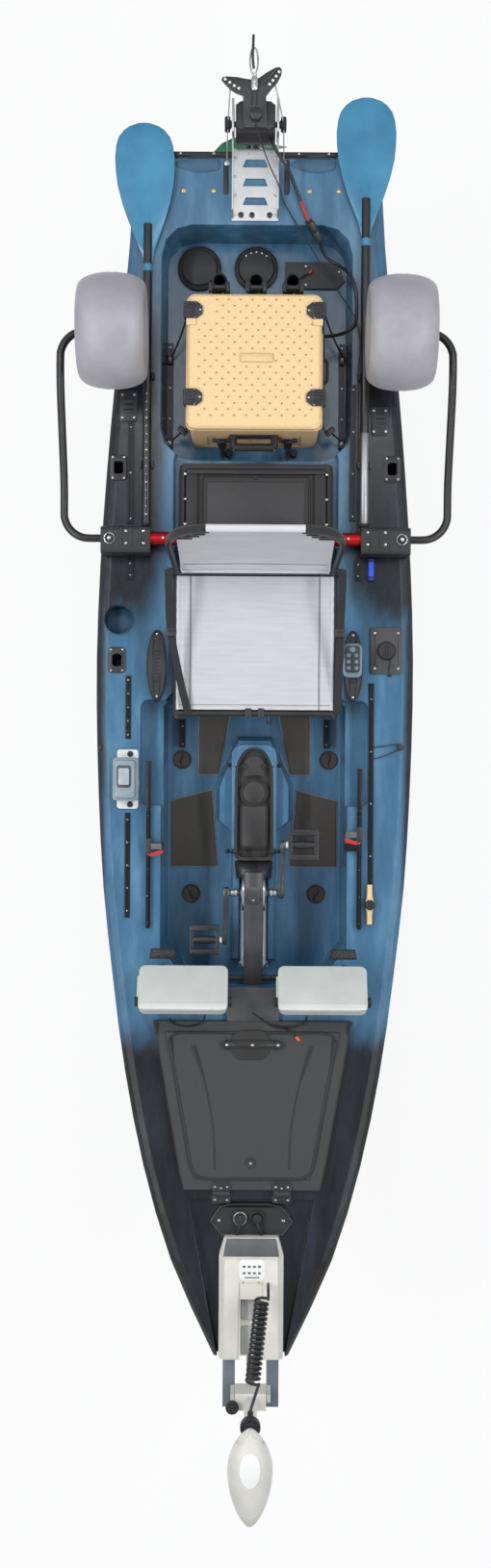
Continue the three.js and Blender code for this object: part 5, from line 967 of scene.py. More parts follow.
# Tray behind the seat: a dark moulded storage tray with a pebbled floor and rounded rim,
# clipped into the deck between the seat and the crate.
tray_paint = pebbled("tray_black", (0.022, 0.022, 0.024))
dress("seat_tray", tray_paint)
low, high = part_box("seat_tray")
tray_floor, ledge_top = 0.2935, high.z - 0.0015
tray_ledge = [slab(sx * 0.2055, 0.9105, 0.037, 0.179, 0.005, tray_floor, ledge_top, 0.002)
              for sx in (-1, 1)]
tray_ledge.append(slab(0, 1.0085, 0.448, 0.0155, 0.005, tray_floor, ledge_top, 0.002))
make("tray_ledge", tray_ledge, tray_paint, "kayak")
floor_mat = pebbled("tray_mat", (0.045, 0.046, 0.049))
make("tray_mat", [slab(0, 0.904, 0.314, 0.148, 0.012, tray_floor, tray_floor + 0.004)], floor_mat, "kayak")
rim_line = [(x, y, tray_floor + 0.002)
            for x, y in ((-0.172, 0.832), (-0.172, 0.983), (-0.165, 0.9945), (-0.012, 0.9945), (0, 0.987),
                         (0.012, 0.9945), (0.165, 0.9945), (0.172, 0.983), (0.172, 0.832))]
make("tray_rim_line", [tube(rim_line, 0.0032, 8)], tray_paint, "kayak")
make("tray_screws", [screw_head(sx * 0.226, y, high.z - 0.0005, 0.0045) for sx in (-1, 1)
                     for y in (0.84, 0.92, 1.0)], steel)

# Side handles: boat-shaped black grips on two posts, screwed beside the seat over the side pockets; the
# right one carries the drive's small hand control in grey-blue with soft buttons.
grip_rubber = pebbled("grip_rubber", (0.02, 0.021, 0.023))
shell_section = ((-1, -0.02), (-1, -0.006), (-0.85, 0), (-0.5, 0.0006), (-0.32, -0.004), (0.32, -0.004),
                 (0.5, 0.0006), (0.85, 0), (1, -0.006), (1, -0.02))
for side in ("left", "right"):
    dress(f"side_handle_{side}", grip_rubber)
    low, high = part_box(f"side_handle_{side}")
    middle, grip_top, length = (low.x + high.x) / 2, min(high.z, 0.402), high.y - low.y
    rings = []
    for k in range(21):
        swell = math.sin(math.pi * k / 20) ** 0.55
        half, drop = 0.006 + 0.0255 * swell, 0.022 * (1 - swell)
        rings.append([(middle + half * dx, low.y + length * k / 20, grip_top - drop + dz)
                      for dx, dz in shell_section])
    shell = make(f"side_handle_shell_{side}", [lofted(rings)], grip_rubber, "kayak", 40)
    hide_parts(f"side_handle_{side}")
    make(f"side_handle_posts_{side}", [slab(middle, y, 0.03, 0.026, 0.008, 0.3475, grip_top - 0.012, 0.003)
                                       for y in (low.y + 0.03, high.y - 0.03)], grip_rubber, "kayak")
    ribs = [slab(middle, low.y + 0.06 + 0.012 * i, 0.017, 0.004, 0.0018, grip_top - 0.0055,
                 grip_top - 0.0022, 0.0007) for i in range(9)]
    make(f"grip_ribs_{side}", ribs, black_rubber)
    make(f"grip_screws_{side}", [screw_head(middle, y, grip_top - 0.0175, 0.0042)
                                 for y in (low.y + 0.014, high.y - 0.014)], steel)
remote_grey = moulded("remote_grey", (0.115, 0.175, 0.235), 0.42)
rx, ry, rz = 0.306, 0.398, grip_top - 0.0008
make("hand_control", [slab(rx, ry, 0.062, 0.108, 0.018, rz, rz + 0.017, 0.005)], remote_grey)
make("hand_control_face", [slab(rx, ry + 0.004, 0.048, 0.086, 0.012, rz + 0.0165, rz + 0.0182, 0.0008)],
     black_plastic)
keys = [turned([(0.006, 0), (0.006, 0.0022), (0.0045, 0.0032), (0.0001, 0.0034)],
               (rx + dx, ry + dy, rz + 0.0176), count=14) for dx in (-0.012, 0.012)
        for dy in (-0.024, -0.004, 0.016)]
keys.append(turned([(0.009, 0), (0.009, 0.0022), (0.007, 0.0032), (0.0001, 0.0034)],
                   (rx, ry + 0.034, rz + 0.0176), count=18))
make("hand_control_keys", keys, remote_grey)

# Left control unit: a small pale grey-blue box on a white base plate with a framed screen, a
# side knob and two clamp screws, screwed to the left side deck.
low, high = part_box("control_unit")
(cx, cy), top = middle_of(low, high), high.z
white_cap = moulded("white_cap", (0.62, 0.63, 0.62), 0.38)
unit_grey = moulded("unit_grey", (0.21, 0.27, 0.31), 0.4)
base = make("control_unit_base", [slab(cx + 0.004, cy, 0.068, high.y - low.y, 0.01, low.z, low.z + 0.01,
                                       0.002)], white_cap)
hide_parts("control_unit")
side_knob = [(0.012, 0), (0.012, 0.006), (0.0105, 0.009), (0.0005, 0.0095)]
make("control_unit_body", [slab(cx, cy, 0.082, 0.136, 0.012, low.z + 0.008, top - 0.014, 0.004),
                           slab(cx - 0.002, cy, 0.066, 0.12, 0.01, top - 0.017, top, 0.006),
                           turned(side_knob, (high.x - 0.009, cy - 0.012, top - 0.03), (1, 0, 0), 20)],
     unit_grey)
frame_slate = moulded("frame_slate", (0.035, 0.045, 0.055), 0.35)
screen_pale = moulded("screen_pale", (0.36, 0.4, 0.41), 0.2)
face_x, face_y = cx - 0.004, cy + 0.008
make("control_unit_frame", [slab(face_x, face_y, 0.046, 0.07, 0.009, top - 0.001, top + 0.0014, 0.0006)],
     frame_slate)
make("control_unit_screen", [slab(face_x, face_y, 0.033, 0.052, 0.004, top + 0.0008, top + 0.0018, 0.0003)],
     screen_pale)
clamp_screw = [(0.0095, 0), (0.0095, 0.003), (0.006, 0.005), (0.005, 0.011), (0.0005, 0.0115)]
make("control_unit_screws", [turned(clamp_screw, (cx + 0.012, y, low.z + 0.0095), count=16)
                             for y in (low.y + 0.014, high.y - 0.014)], black_rubber)

# Rod rails: black anodised channels inside the cockpit's side walls, each with a row of
# screws and a swinging rod arm that a red strap holds.
red_webbing = moulded("red_webbing", (0.5, 0.02, 0.015), 0.75)
rod_x = 0.334
arm_grey = moulded("arm_grey", (0.09, 0.095, 0.1), 0.5)
for side, sign, end_y, y in (("left", -1, 0.082, -0.19), ("right", 1, 0.062, -0.15)):
    name = f"rod_rail_{side}"
    dress(name, anodised)
    low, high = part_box(name)
    step = (high.y - low.y - 0.04) / 4
    make(f"rod_rail_screws_{side}", [screw_head(sign * rod_x, low.y + 0.02 + step * i, high.z - 0.001,
                                                0.0026) for i in range(5)], steel)
    make(f"rod_rail_tail_{side}", [slab(sign * rod_x, (end_y - 0.075) / 2, 0.017, end_y + 0.071, 0.003,
                                        high.z - 0.012, high.z - 0.002, 0.002),
                                   slab(sign * rod_x, (end_y - 0.451) / 2, 0.0035, end_y + 0.43, 0.0015,
                                        high.z - 0.003, high.z + 0.0006, 0.0003)], anodised)
    make(f"rod_arm_clip_{side}", [slab(sign * rod_x, y, 0.02, 0.05, 0.004, 0.3695, 0.3745)], black_plastic)
    make(f"rod_arm_pad_{side}", [slab(sign * 0.309, y, 0.036, 0.02, 0.003, 0.3705, 0.3735, 0.001)],
         arm_grey)
    loop = [(sign * 0.338, y - 0.018, 0.37), (sign * 0.322, y - 0.024, 0.3735),
            (sign * 0.3, y - 0.018, 0.3725), (sign * 0.288, y - 0.014, 0.3705)]
    fold = [(x, py - 0.005, z + 0.001) for x, py, z in loop]
    make(f"rod_arm_strap_{side}", [ribbon(flowing(line, 5), width, 0.0014, (0, 0, 1))
                                   for line, width in ((loop, 0.008), (fold, 0.005))], red_webbing)

# Floor pads and plugs: dark foam pads glued to the cockpit floor inside a pale bevelled edge,
# and four round drain plugs with a curved finger ridge.
pad_foam = pebbled("pad_foam", (0.05, 0.044, 0.036), 0.2)
pad_edge = moulded("pad_edge", (0.19, 0.2, 0.2), 0.6)
pads = {"rear": [(0.084, 0.233), (0.182, 0.233), (0.182, 0.042), (0.12, 0.042)],
        "front": [(0.142, -0.013), (0.272, -0.048), (0.272, -0.262), (0.122, -0.262)]}
for side, sign in (("left", -1), ("right", 1)):
    for end, outline in pads.items():
        dress(f"{end}_pad_{side}", pad_foam)
        points = [(sign * x, y) for x, y in outline]
        make(f"{end}_pad_edge_{side}", [plate(shrunk(points, -0.0045), 0.1052, 0.1078, 0.0012)], pad_edge)


def surface_at(x, y, solid=hull, missed=0.0):
    inward = solid.matrix_world.inverted()
    hit, where, _, _ = solid.ray_cast(inward @ Vector((x, y, 1.0)), inward.to_3x3() @ Vector((0, 0, -1)))
    return (solid.matrix_world @ where).z if hit else missed


plugs = []
for x, y, turn in ((-0.238, 0.089, 0.1), (0.245, 0.089, 0.1), (-0.206, -0.354, 0.7), (0.206, -0.354, -0.3)):
    z = surface_at(x, y)
    plugs.append(turned([(0.031, 0), (0.031, 0.0035), (0.0285, 0.0058), (0.0265, 0.0045), (0.025, 0.0022),
                         (0.0001, 0.0022)], (x, y, z), count=36))
    ridge = [(x + 0.0035 * math.sin(t * 3.1) * math.cos(turn) - 0.022 * t * math.sin(turn),
              y + 0.0035 * math.sin(t * 3.1) * math.sin(turn) + 0.022 * t * math.cos(turn), z + 0.0035)
             for t in (k / 8 - 1 for k in range(17))]
    plugs.append(tube(ridge, [0.0015 + 0.0028 * math.sin(math.pi * k / 16) for k in range(17)], 8))
make("floor_plugs", plugs, pad_foam, "kayak")

# Console insert: a black moulded tray over the drive slot with a round cup ring, a recessed
# rectangle and a domed rear end; bungee cords hooked into hull eyes hold it down.
console_black = pebbled("console_black", (0.03, 0.029, 0.028), 0.15)
dress("console_tray", console_black)
top = 0.24
ring_y = -0.019
raised = [turned([(0.0445, 0), (0.0445, 0.004), (0.041, 0.0065), (0.0375, 0.004), (0.0375, 0)],
                 (0, ring_y, top - 0.001), count=48)]
shell_line = ([(0.056, -0.232), (0.056, 0.02)]
              + [(0.056 * math.cos(math.radians(a)), 0.04 + 0.082 * math.sin(math.radians(a)))
                 for a in range(0, 181, 15)])
shell_line += [(-0.056, 0.02), (-0.056, -0.232)]
raised.append(tube([(p.x, p.y, top - 0.0005) for p in flowing([(x, y, 0) for x, y in shell_line], 2)],
                   0.0032, 8))
well_line = oblong(0, -0.128, 0.084, 0.142, 0.012)
raised.append(tube([(x, y, top - 0.0008) for x, y in well_line + well_line[:2]], 0.0028, 8))
dome = ([(0.034, 0.03), (0.034, 0.062)]
        + [(0.034 * math.cos(math.radians(a)), 0.066 + 0.036 * math.sin(math.radians(a)))
           for a in range(10, 171, 20)])
dome += [(-0.034, 0.062), (-0.034, 0.03), (-0.012, 0.036), (0.012, 0.036)]
raised.append(plate(dome, top - 0.001, top + 0.004, 0.0018))
make("console_ribs", raised, console_black)
outer_line = ([(0.073, -0.2)] + [(0.039 * sx + 0.034 * math.cos(math.radians(a)),
                                  0.103 + 0.034 * math.sin(math.radians(a)))
                                 for sx, span in ((1, range(0, 91, 18)), (-1, range(90, 181, 18)))
                                 for a in span] + [(-0.073, -0.2)])
inner_line = [(0.0615 * math.cos(math.radians(a)), 0.035 + 0.093 * math.sin(math.radians(a)))
              for a in range(180, -1, -12)]
make("console_surround", [plate(outer_line + [(-0.0635, -0.2)] + inner_line + [(0.0635, -0.2)], 0.214,
                                0.2435, 0.003)], hull_paint)
# The wells are flat sheets slightly darker than the tray: painted shade for the recessed rectangle and the
# cup ring's floor.
make("console_wells", [plate(shrunk(well_line, 0.004), top - 0.001, top + 0.0002, 0.0001),
                       plate(disc(0, ring_y, 0.037, 40), top - 0.001, top + 0.0004, 0.0001)],
     moulded("console_well_painted_shade", (0.022, 0.022, 0.023), 0.42))
hooks, eyes = [], []
for y, eye_y, spread in ((0.064, 0.07, 0.083), (-0.214, -0.214, 0.087)):
    for side in (-1, 1):
        x = side * 0.0335
        curl = [(x + side * 0.008 * math.cos(t) - side * 0.002, y + 0.009 * math.sin(t), top + 0.0045)
                for t in (2 * math.pi * k / 12 for k in range(10))]
        hooks.append(tube(curl, 0.003, 8))
        base = surface_at(side * spread, eye_y)
        eyes.append(turned([(0.007, 0), (0.007, 0.004), (0.004, 0.009), (0.0001, 0.01)],
                           (side * spread, eye_y, base), count=14))
        line = flowing([(x + side * 0.004, y, top + 0.0045),
                        (side * 0.06, (y + eye_y) / 2 - 0.002, top + 0.004),
                        (side * spread, eye_y, base + 0.007)], 5)
        make(f"console_bungee_{len(eyes)}", [tube(line, 0.0019, 7)], black_rubber)
make("console_hooks", hooks, black_rubber)
make("console_eyes", eyes, black_plastic)

# Pedal drive: a dark moulded spine that hangs on a cross bar in two screwed clamps, with the
# gear head between the cranks, bright hub rings, and the leg and propeller under the hull.
drive_grey = moulded("drive_grey", (0.043, 0.044, 0.044), 0.42, 500)
crank_grey = moulded("crank_grey", (0.075, 0.08, 0.082), 0.34, 700, metallic=0.6)
bar_black = moulded("bar_black", (0.02, 0.02, 0.022), 0.36, 700)
dress("drive_unit", drive_grey)
dress("pivot_bar", bar_black)
hub_y, hub_z = -0.337, 0.34
shell = []
for i in range(17):
    t = i / 16
    y = -0.64 + t * 0.37
    z = 0.3105 + (0.397 - 0.3105) * min(1, t / 0.8) ** 1.15
    half = 0.0305 + 0.001 * math.sin(t * 3)
    shell.append([(half * sx, y, z - drop)
                  for sx, drop in ((-1, 0.05), (-1, 0.006), (-0.8, 0.001), (0, -0.0012), (0.8, 0.001),
                                   (1, 0.006), (1, 0.05))])
make("drive_spine_shell", [lofted(shell)], drive_grey, "drive")
rim = []
for side in (-1, 1):
    rim.append(turned([(0.058, 0), (0.058, 0.006), (0.0555, 0.0075), (0.053, 0.006), (0.051, 0.0)],
                      (side * 0.0295, hub_y, hub_z), (side, 0, 0), 48))
    rim.append(turned([(0.03, 0), (0.03, 0.009), (0.026, 0.011), (0.019, 0.0115), (0.0185, 0.004)],
                      (side * 0.0295, hub_y, hub_z), (side, 0, 0), 32))
make("drive_hub_rings", rim, steel, "drive")
make("drive_hub_discs", [turned([(0.0555, 0), (0.0555, 0.003), (0.031, 0.0045), (0.029, 0.003)],
                                (side * 0.0298, hub_y, hub_z), (side, 0, 0), 40) for side in (-1, 1)],
     bar_black, "drive")
cap = []
for i in range(9):
    a = math.radians(52 + 9 * i)
    y, z = hub_y - 0.0588 * math.cos(a), hub_z + 0.0588 * math.sin(a)
    cap.append([(0.023 * sx, y + 0.0006 * (i == 0), z + lift)
                for sx, lift in ((-1, -0.004), (-0.92, 0.0012), (0, 0.003), (0.92, 0.0012), (1, -0.004))])
make("drive_head_cap", [lofted(cap)], crank_grey, "drive")
make("drive_cap_screw", [screw_head(0, hub_y - 0.02, hub_z + 0.0575, 0.0032)], steel, "drive")
shroud = []
for y, half, z in ((-0.24, 0.062, 0.228), (-0.252, 0.063, 0.249), (-0.27, 0.06, 0.262),
                   (-0.288, 0.058, 0.262), (-0.297, 0.058, 0.235)):
    shroud.append([(half * math.sin(math.radians(a)) * (1.0 if abs(a) > 60 else 0.98), y,
                    0.2 + (z - 0.2) * math.cos(math.radians(a)) ** 0.4) for a in range(-88, 89, 16)])
make("drive_shroud", [lofted(shroud)], bar_black, "drive")

# Crank: two forged dark arms with round ends on one axle, each with a pedal that turns on
# its own spindle; the pedals are open cages round a central barrel, with grip pins.
arms = [turned([(0.0105, -0.079), (0.0105, 0.079)], (0, hub_y, hub_z), (1, 0, 0), 24)]
for side, name in ((-1, "left"), (1, "right")):
    low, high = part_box(f"pedal_{name}")
    y, z, middle = (low.y + high.y) / 2, (low.z + high.z) / 2, (low.x + high.x) / 2
    reach = math.hypot(y - hub_y, z - hub_z)
    along = ((y - hub_y) / reach, (z - hub_z) / reach)
    rings = []
    for t, half, near, far in ((-0.1, 0.008, 0.079, 0.094), (-0.05, 0.0155, 0.077, 0.0965),
                               (0.03, 0.018, 0.0765, 0.0975), (0.14, 0.0145, 0.078, 0.0955),
                               (0.5, 0.0115, 0.082, 0.096), (0.86, 0.012, 0.085, 0.0985),
                               (0.97, 0.0145, 0.0845, 0.0995), (1.05, 0.0125, 0.0855, 0.099),
                               (1.08, 0.007, 0.087, 0.0975)):
        at_y, at_z = hub_y + along[0] * reach * t, hub_z + along[1] * reach * t
        rings.append([(side * x, at_y - along[1] * w, at_z + along[0] * w)
                      for x, w in ((near, -half * 0.75), (near, half * 0.75), ((near + far) / 2, half),
                                   (far, half * 0.7), (far, -half * 0.7), ((near + far) / 2, -half))])
    arms += [lofted(rings), turned([(0.0065, 0), (0.0065, 0.085)], (side * 0.098, y, z), (side, 0, 0), 18)]
    cage = [slab(middle, y + fore * 0.039, 0.096, 0.018, 0.004, z - 0.011, high.z + 0.001, 0.002)
            for fore in (-1, 1)]
    cage += [slab(middle + end * 0.0415, y, 0.013, 0.09, 0.003, z - 0.01, high.z, 0.002) for end in (-1, 1)]
    cage += [turned([(0.002, 0), (0.002, 0.0045), (0.0001, 0.005)],
                    (middle - 0.04 + 0.02 * k, y + fore * 0.0425, high.z), count=8) for fore in (-1, 1)
             for k in range(5)]
    cage.append(turned([(0.009, 0), (0.0115, 0.003), (0.0115, 0.024), (0.0135, 0.032), (0.0135, 0.062),
                        (0.0115, 0.07), (0.0115, 0.09), (0.009, 0.094)],
                       (side * (abs(middle) - 0.047), y, z), (side, 0, 0), 20))
    pedal = make(f"pedal_cage_{name}", cage, bar_black, f"pedal_{name}")
    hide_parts(f"pedal_{name}")
    make(f"pedal_collar_{name}", [turned([(0.0085, 0), (0.0105, 0.002), (0.0105, 0.008), (0.0085, 0.01)],
                                         (side * 0.1, y, z), (side, 0, 0), 20)], white_cap, "crank")
arm_pair = make("crank_arms", arms, crank_grey, "crank", 50)
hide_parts("crank")
make("crank_axle_rings", [turned([(0.014, 0), (0.014, 0.008), (0.011, 0.011), (0.011, 0.02)],
                                 (side * 0.052, hub_y, hub_z), (side, 0, 0), 24) for side in (-1, 1)],
     steel, "crank")

make("pivot_clamp_caps", [slab(sx * 0.15, -0.611, 0.042, 0.03, 0.005, 0.3155, 0.3225, 0.0025)
                          for sx in (-1, 1)], bar_black, "kayak")
make("pivot_clamp_tabs", [slab(sx * 0.15, -0.588, 0.024, 0.024, 0.006, 0.306, 0.312, 0.002)
                          for sx in (-1, 1)], bar_black, "kayak")
make("pivot_clamp_screws", [screw_head(sx * 0.15 + dx, -0.6105, 0.322, 0.0056) for sx in (-1, 1)
                            for dx in (-0.0135, 0.0135)], steel)
make("pivot_bar_ends", [turned([(0.0118, 0), (0.0118, 0.02), (0.0095, 0.022)], (sx * 0.165, -0.613, 0.29),
                               (sx, 0, 0), 18) for sx in (-1, 1)], bar_black, "kayak")

# Foot-end trays and short tracks: shallow pockets with black woven netting and two short
# anodised tracks, screwed into the cockpit's forward end.
netting, tree, shader = new_finish("netting_black", (0.012, 0.012, 0.013), 0.6)
cells = add_node(tree, "ShaderNodeTexVoronoi", (("Scale", 130.0),), feature="DISTANCE_TO_EDGE")
join_up(tree, (place_of(tree), cells.inputs["Vector"]),
        (ramp(tree, cells.outputs["Distance"],
              [(0.06, (0.05, 0.05, 0.052)), (0.16, (0.004, 0.004, 0.005))]), shader.inputs["Base Color"]))
trays, nets, tracks, heads = [], [], [], []
for side in (-1, 1):
    x, y = side * 0.286, -0.531
    z = surface_at(x, y)
    net_outline = [(x - 0.042, y - 0.014), (x + 0.042, y - 0.014), (x + 0.036, y + 0.014),
                   (x - 0.036, y + 0.014)]
    nets.append(plate(net_outline, z - 0.001, z + 0.0014, 0.0004))
    trays.append(tube([(px, py, z + 0.0018) for px, py in net_outline + net_outline[:2]], 0.0021, 6))
    tx, ty = side * 0.289, -0.586
    tz = surface_at(tx, ty)
    tracks.append(slab(tx, ty, 0.017, 0.042, 0.002, tz - 0.001, tz + 0.004, 0.0012))
    heads.append(screw_head(tx, ty, tz + 0.0038, 0.0034))
make("foot_nets", nets, netting)
make("foot_net_rims", trays, black_rubber)
make("foot_tracks", tracks, anodised)
make("foot_track_screws", heads, brass)

# Dash and fish finder displays: a dark plate between two screens under light grey sun covers,
# each held by side knobs on a tilting stand that is screwed to the deck.
dash_dark = moulded("dash_dark", (0.055, 0.055, 0.057), 0.42, 500)
dress("dash_plate", dash_dark)
make("dash_shelf", [slab(0, -0.69, 0.166, 0.112, 0.01, 0.366, 0.3735, 0.003)], dash_dark)
cover_grey = moulded("cover_grey", (0.47, 0.5, 0.48), 0.5, 700, shade=0.04)
cover_pale = moulded("cover_pale", (0.6, 0.62, 0.6), 0.45, 700, shade=0.03)
tilt = math.radians(-32)
pin = Vector((0, -0.655, 0.431))
for side, sign in (("left", -1), ("right", 1)):
    name, display_x = f"display_{side}", sign * 0.216
    dress(name, cover_grey)
    stand = (Matrix.Translation(Vector((display_x, pin.y, pin.z))) @ Matrix.Rotation(tilt, 4, "X")
             @ Matrix.Translation(Vector((0, 0, 0.039))))
    lid = [moved(plate(oblong(0, 0.001, 0.277, 0.153, 0.02, 5), 0.0035, 0.0225, 0.005), stand)]
    make(f"display_cover_{side}", lid, cover_grey, name, 40)
    strip = [moved(plate(oblong(0, -0.0625, 0.272, 0.022, 0.008, 4), 0.018, 0.0236, 0.002), stand)]
    make(f"display_cover_edge_{side}", strip, cover_pale, name)
    tabs = [moved(slab(-0.1405, 0.002, 0.006, 0.085, 0.0025, -0.003, 0.012, 0.002), stand)]
    make(f"display_card_door_{side}", tabs, white_cap, name)
    knobs = []
    profile = [(0.0001, 0.0), (0.0135, 0.0), (0.0145, 0.002), (0.0145, 0.011), (0.012, 0.0135),
               (0.0001, 0.0138)]
    for turn in (-1, 1):
        knobs.append(moved(turned(profile, (turn * 0.1365, -0.0375, 0), (turn, 0, 0), 18), stand))
        for k in range(9):
            a = 2 * math.pi * k / 9
            knobs.append(moved(slab(0, 0, 0.012, 0.003, 0.001, 0.0143, 0.0158, 0.0006),
                               stand @ Matrix.Translation(Vector((turn * 0.143, -0.0375, 0)))
                               @ Matrix.Rotation(a, 4, "X")))
    make(f"display_knob_grips_{side}", knobs, black_rubber, name)
    foot = [screw_head(display_x + dx, -0.668 + dy, surface_at(display_x + dx, -0.668 + dy) + 0.0005, 0.004)
            for dx in (-0.045, 0.045) for dy in (-0.018, 0.018)]
    make(f"display_foot_screws_{side}", foot, steel)

# Bow hatch: a dark grey moulded lid with a raised panel, two long ribs, a screwed bar handle
# over a finger recess, a screw in a round dish, and two square hinges with five screws each.
lid_grey = pebbled("lid_grey", (0.036, 0.037, 0.038), 0.1)
lid_shadow = moulded("lid_shadow", (0.018, 0.018, 0.018), 0.6)
lid_node = dress("hatch_lid", lid_grey)
rear_y, front_y, rear_half, front_half = -0.741, -1.266, 0.309, 0.214


def sheer_at(y):
    return surface_at(0.06, y, lid_node, 0.4)


def on_lid(x, y, rise=0.0):
    return x, y, sheer_at(y) + rise


def lid_half(y, inset):
    return rear_half + (front_half - rear_half) * (rear_y - y) / (rear_y - front_y) - inset


corners = [(sx * lid_half(y, 0.036), y)
           for sx, y in ((1, rear_y - 0.036), (1, front_y + 0.036), (-1, front_y + 0.036),
                         (-1, rear_y - 0.036))]
loop = []
for k in range(4):
    before, here, after = (Vector(corners[(k + d) % 4]) for d in (-1, 0, 1))
    enter, leave = here + (before - here).normalized() * 0.045, here + (after - here).normalized() * 0.045
    loop += [(1 - t) ** 2 * enter + 2 * t * (1 - t) * here + t * t * leave
             for t in (0, 0.2, 0.4, 0.6, 0.8, 1)]
    stop = after + (here - after).normalized() * 0.045
    loop += [leave.lerp(stop, t / 9) for t in range(1, 9)]
# The border is a wide dark tube: painted shade where the raised band bevels down to the inner panel.
make("hatch_borders", [tube([on_lid(p.x, p.y, -0.0005) for p in loop + loop[:2]], 0.0046, 8)],
     moulded("lid_bevel_painted_shade", (0.02, 0.0205, 0.021), 0.55), "hatch")
edge_line = [(sx * (lid_half(y, 0) + 0.001), y) for sx, ys in ((1, range(0, 11)), (-1, range(10, -1, -1)))
             for y in (rear_y - 0.0525 * k for k in ys)]
make("hatch_gap", [tube([on_lid(x, y, -0.009) for x, y in edge_line], 0.0042, 8)], lid_shadow, "hatch")
ribs = [tube(flowing([on_lid(sign * x, y, 0.0004)
                      for x, y in ((0.186, -0.815), (0.15, -0.93), (0.128, -1.036), (0.119, -1.12),
                                   (0.117, -1.2))], 5), 0.0024, 8) for sign in (-1, 1)]
make("hatch_ribs", ribs, lid_shadow, "hatch")
z = sheer_at(-0.85)
make("hatch_finger_recess", [plate(oblong(-0.006, -0.816, 0.118, 0.092, 0.03, 8), z - 0.001, z + 0.0015,
                                   0.0006)], lid_shadow, "hatch")
grip_y = -0.812
z = sheer_at(grip_y)
grip = [slab(0, grip_y, 0.186, 0.024, 0.0118, z - 0.001, z + 0.0055, 0.002),
        slab(0, grip_y, 0.166, 0.015, 0.0074, z + 0.005, z + 0.0085, 0.002)]
grip += [turned([(0.0135, 0), (0.0135, 0.006), (0.0105, 0.0085), (0.0001, 0.0088)], (x, grip_y, z),
                count=22) for x in (-0.081, 0.081)]
make("hatch_handle_grip", grip, bar_black, "hatch")
make("hatch_handle_screws", [screw_head(x, grip_y, z + 0.0084, 0.0048) for x in (-0.08, 0, 0.08)], steel,
     "hatch")
dish_x, dish_y = -0.004, -1.182
z = sheer_at(dish_y)
make("hatch_screw_dish", [turned([(0.018, 0), (0.0165, 0.0028), (0.0135, 0.003), (0.011, 0.001),
                                  (0.0001, 0.001)], (dish_x, dish_y, z - 0.0005), count=28)], lid_grey,
     "hatch")
make("hatch_dish_screw", [screw_head(dish_x, dish_y, z + 0.0008, 0.0045)], steel, "hatch")
leaves, pins, hull_leaves, hull_pins = [], [], [], []
z = 0.4165
for x in (-0.096, 0.094):
    leaves.append(slab(x, -1.2565, 0.058, 0.027, 0.006, z - 0.004, z + 0.0025, 0.0018))
    deck_z = surface_at(x, -1.299)
    hull_leaves.append(slab(x, -1.2985, 0.058, 0.026, 0.006, deck_z - 0.003, deck_z + 0.003, 0.0018))
    hull_pins += [screw_head(x + dx, -1.3, deck_z + 0.0028, 0.0038) for dx in (-0.019, 0.019)]
    for dx, dy in ((-0.019, 0.002), (0.019, 0.002), (0, -0.002)):
        pins.append(screw_head(x + dx, -1.2565 + dy, z + 0.0022, 0.0038))
make("hatch_hinge_leaves", leaves, bar_black, "hatch")
make("hatch_hinge_screws", pins, steel, "hatch")
make("hinge_deck_leaves", hull_leaves, bar_black, "kayak")
make("hinge_deck_screws", hull_pins, steel)

# Connector plate on the foredeck: a black plastic plate with a silver ring socket and a black
# socket, each with its plug and a short lead that runs under the motor mount.
dress("connector_plate", bar_black)
z = 0.3885
frame_line = [(-0.128, -1.368), (-0.096, -1.322), (-0.06, -1.316), (0.05, -1.316), (0.092, -1.324),
              (0.128, -1.37), (0.098, -1.412), (-0.096, -1.412)]
make("connector_rim", [tube([(x, y, z) for x, y in frame_line + frame_line[:2]], 0.0042, 8)], bar_black,
     "kayak")
ring_x, plug_x, plug_y = -0.036, 0.018, -1.359
sockets = [turned([(0.024, 0), (0.024, 0.007), (0.021, 0.0095), (0.018, 0.009), (0.018, 0.004)],
                  (x, plug_y, z), count=32) for x in (ring_x, plug_x)]
make("connector_sockets", sockets, bar_black, "kayak")
make("connector_ring", [turned([(0.0215, 0.0085), (0.0215, 0.0115), (0.0195, 0.013), (0.0165, 0.0115),
                                (0.0165, 0.008)], (ring_x, plug_y, z), count=32)], steel)
plug_caps = [turned([(0.0155, 0), (0.0155, 0.012), (0.012, 0.015), (0.0001, 0.0155)],
                    (x, plug_y, z + 0.006), count=20) for x in (ring_x, plug_x)]
make("connector_plugs", plug_caps, black_rubber)
lead_tubes = []
for x, end_x in ((ring_x, -0.044), (plug_x, 0.032)):
    route = [(x, -1.368, z + 0.02), (x + (end_x - x) * 0.4, -1.388, z + 0.021), (end_x, -1.402, z + 0.012),
             (end_x, -1.4135, z + 0.003)]
    lead_tubes.append(tube(flowing(route, 6), 0.0055, 8))
make("connector_leads", lead_tubes, black_rubber)
make("connector_screws", [screw_head(x, -1.367, z - 0.0005, 0.005) for x in (-0.102, 0.1)], steel)

# Bow motor mount: an off-white moulded housing with a slot for the shaft, dark grey trim, a plain
# keypad, and two grey-blue ramps ahead; the tilting block and shaft carry the steering head.
off_white = moulded("off_white", (0.66, 0.65, 0.59), 0.42, 700, shade=0.05)
trim_grey = moulded("trim_grey", (0.1, 0.11, 0.12), 0.42, 700)
pale_print = moulded("pale_panel", (0.8, 0.8, 0.79), 0.4, 700, shade=0.02)
dress("bow_mount", off_white)
top = 0.4383
make("bow_trim", [moved(plate([(-0.078, -1.412), (0.078, -1.412), (0.088, -1.468), (-0.088, -1.468)], 0,
                              0.006, 0.002), Matrix.Translation(Vector((0, 0, top - 0.004))))], trim_grey,
     "kayak")
rails = []
for sign in (-1, 1):
    rails.append(plate([(sign * 0.036, -1.474), (sign * 0.084, -1.474), (sign * 0.088, -1.785),
                        (sign * 0.041, -1.785)], top - 0.003, top + 0.0065, 0.0035))
rails.append(slab(0, -1.513, 0.112, 0.072, 0.012, top - 0.002, top + 0.005, 0.0025))
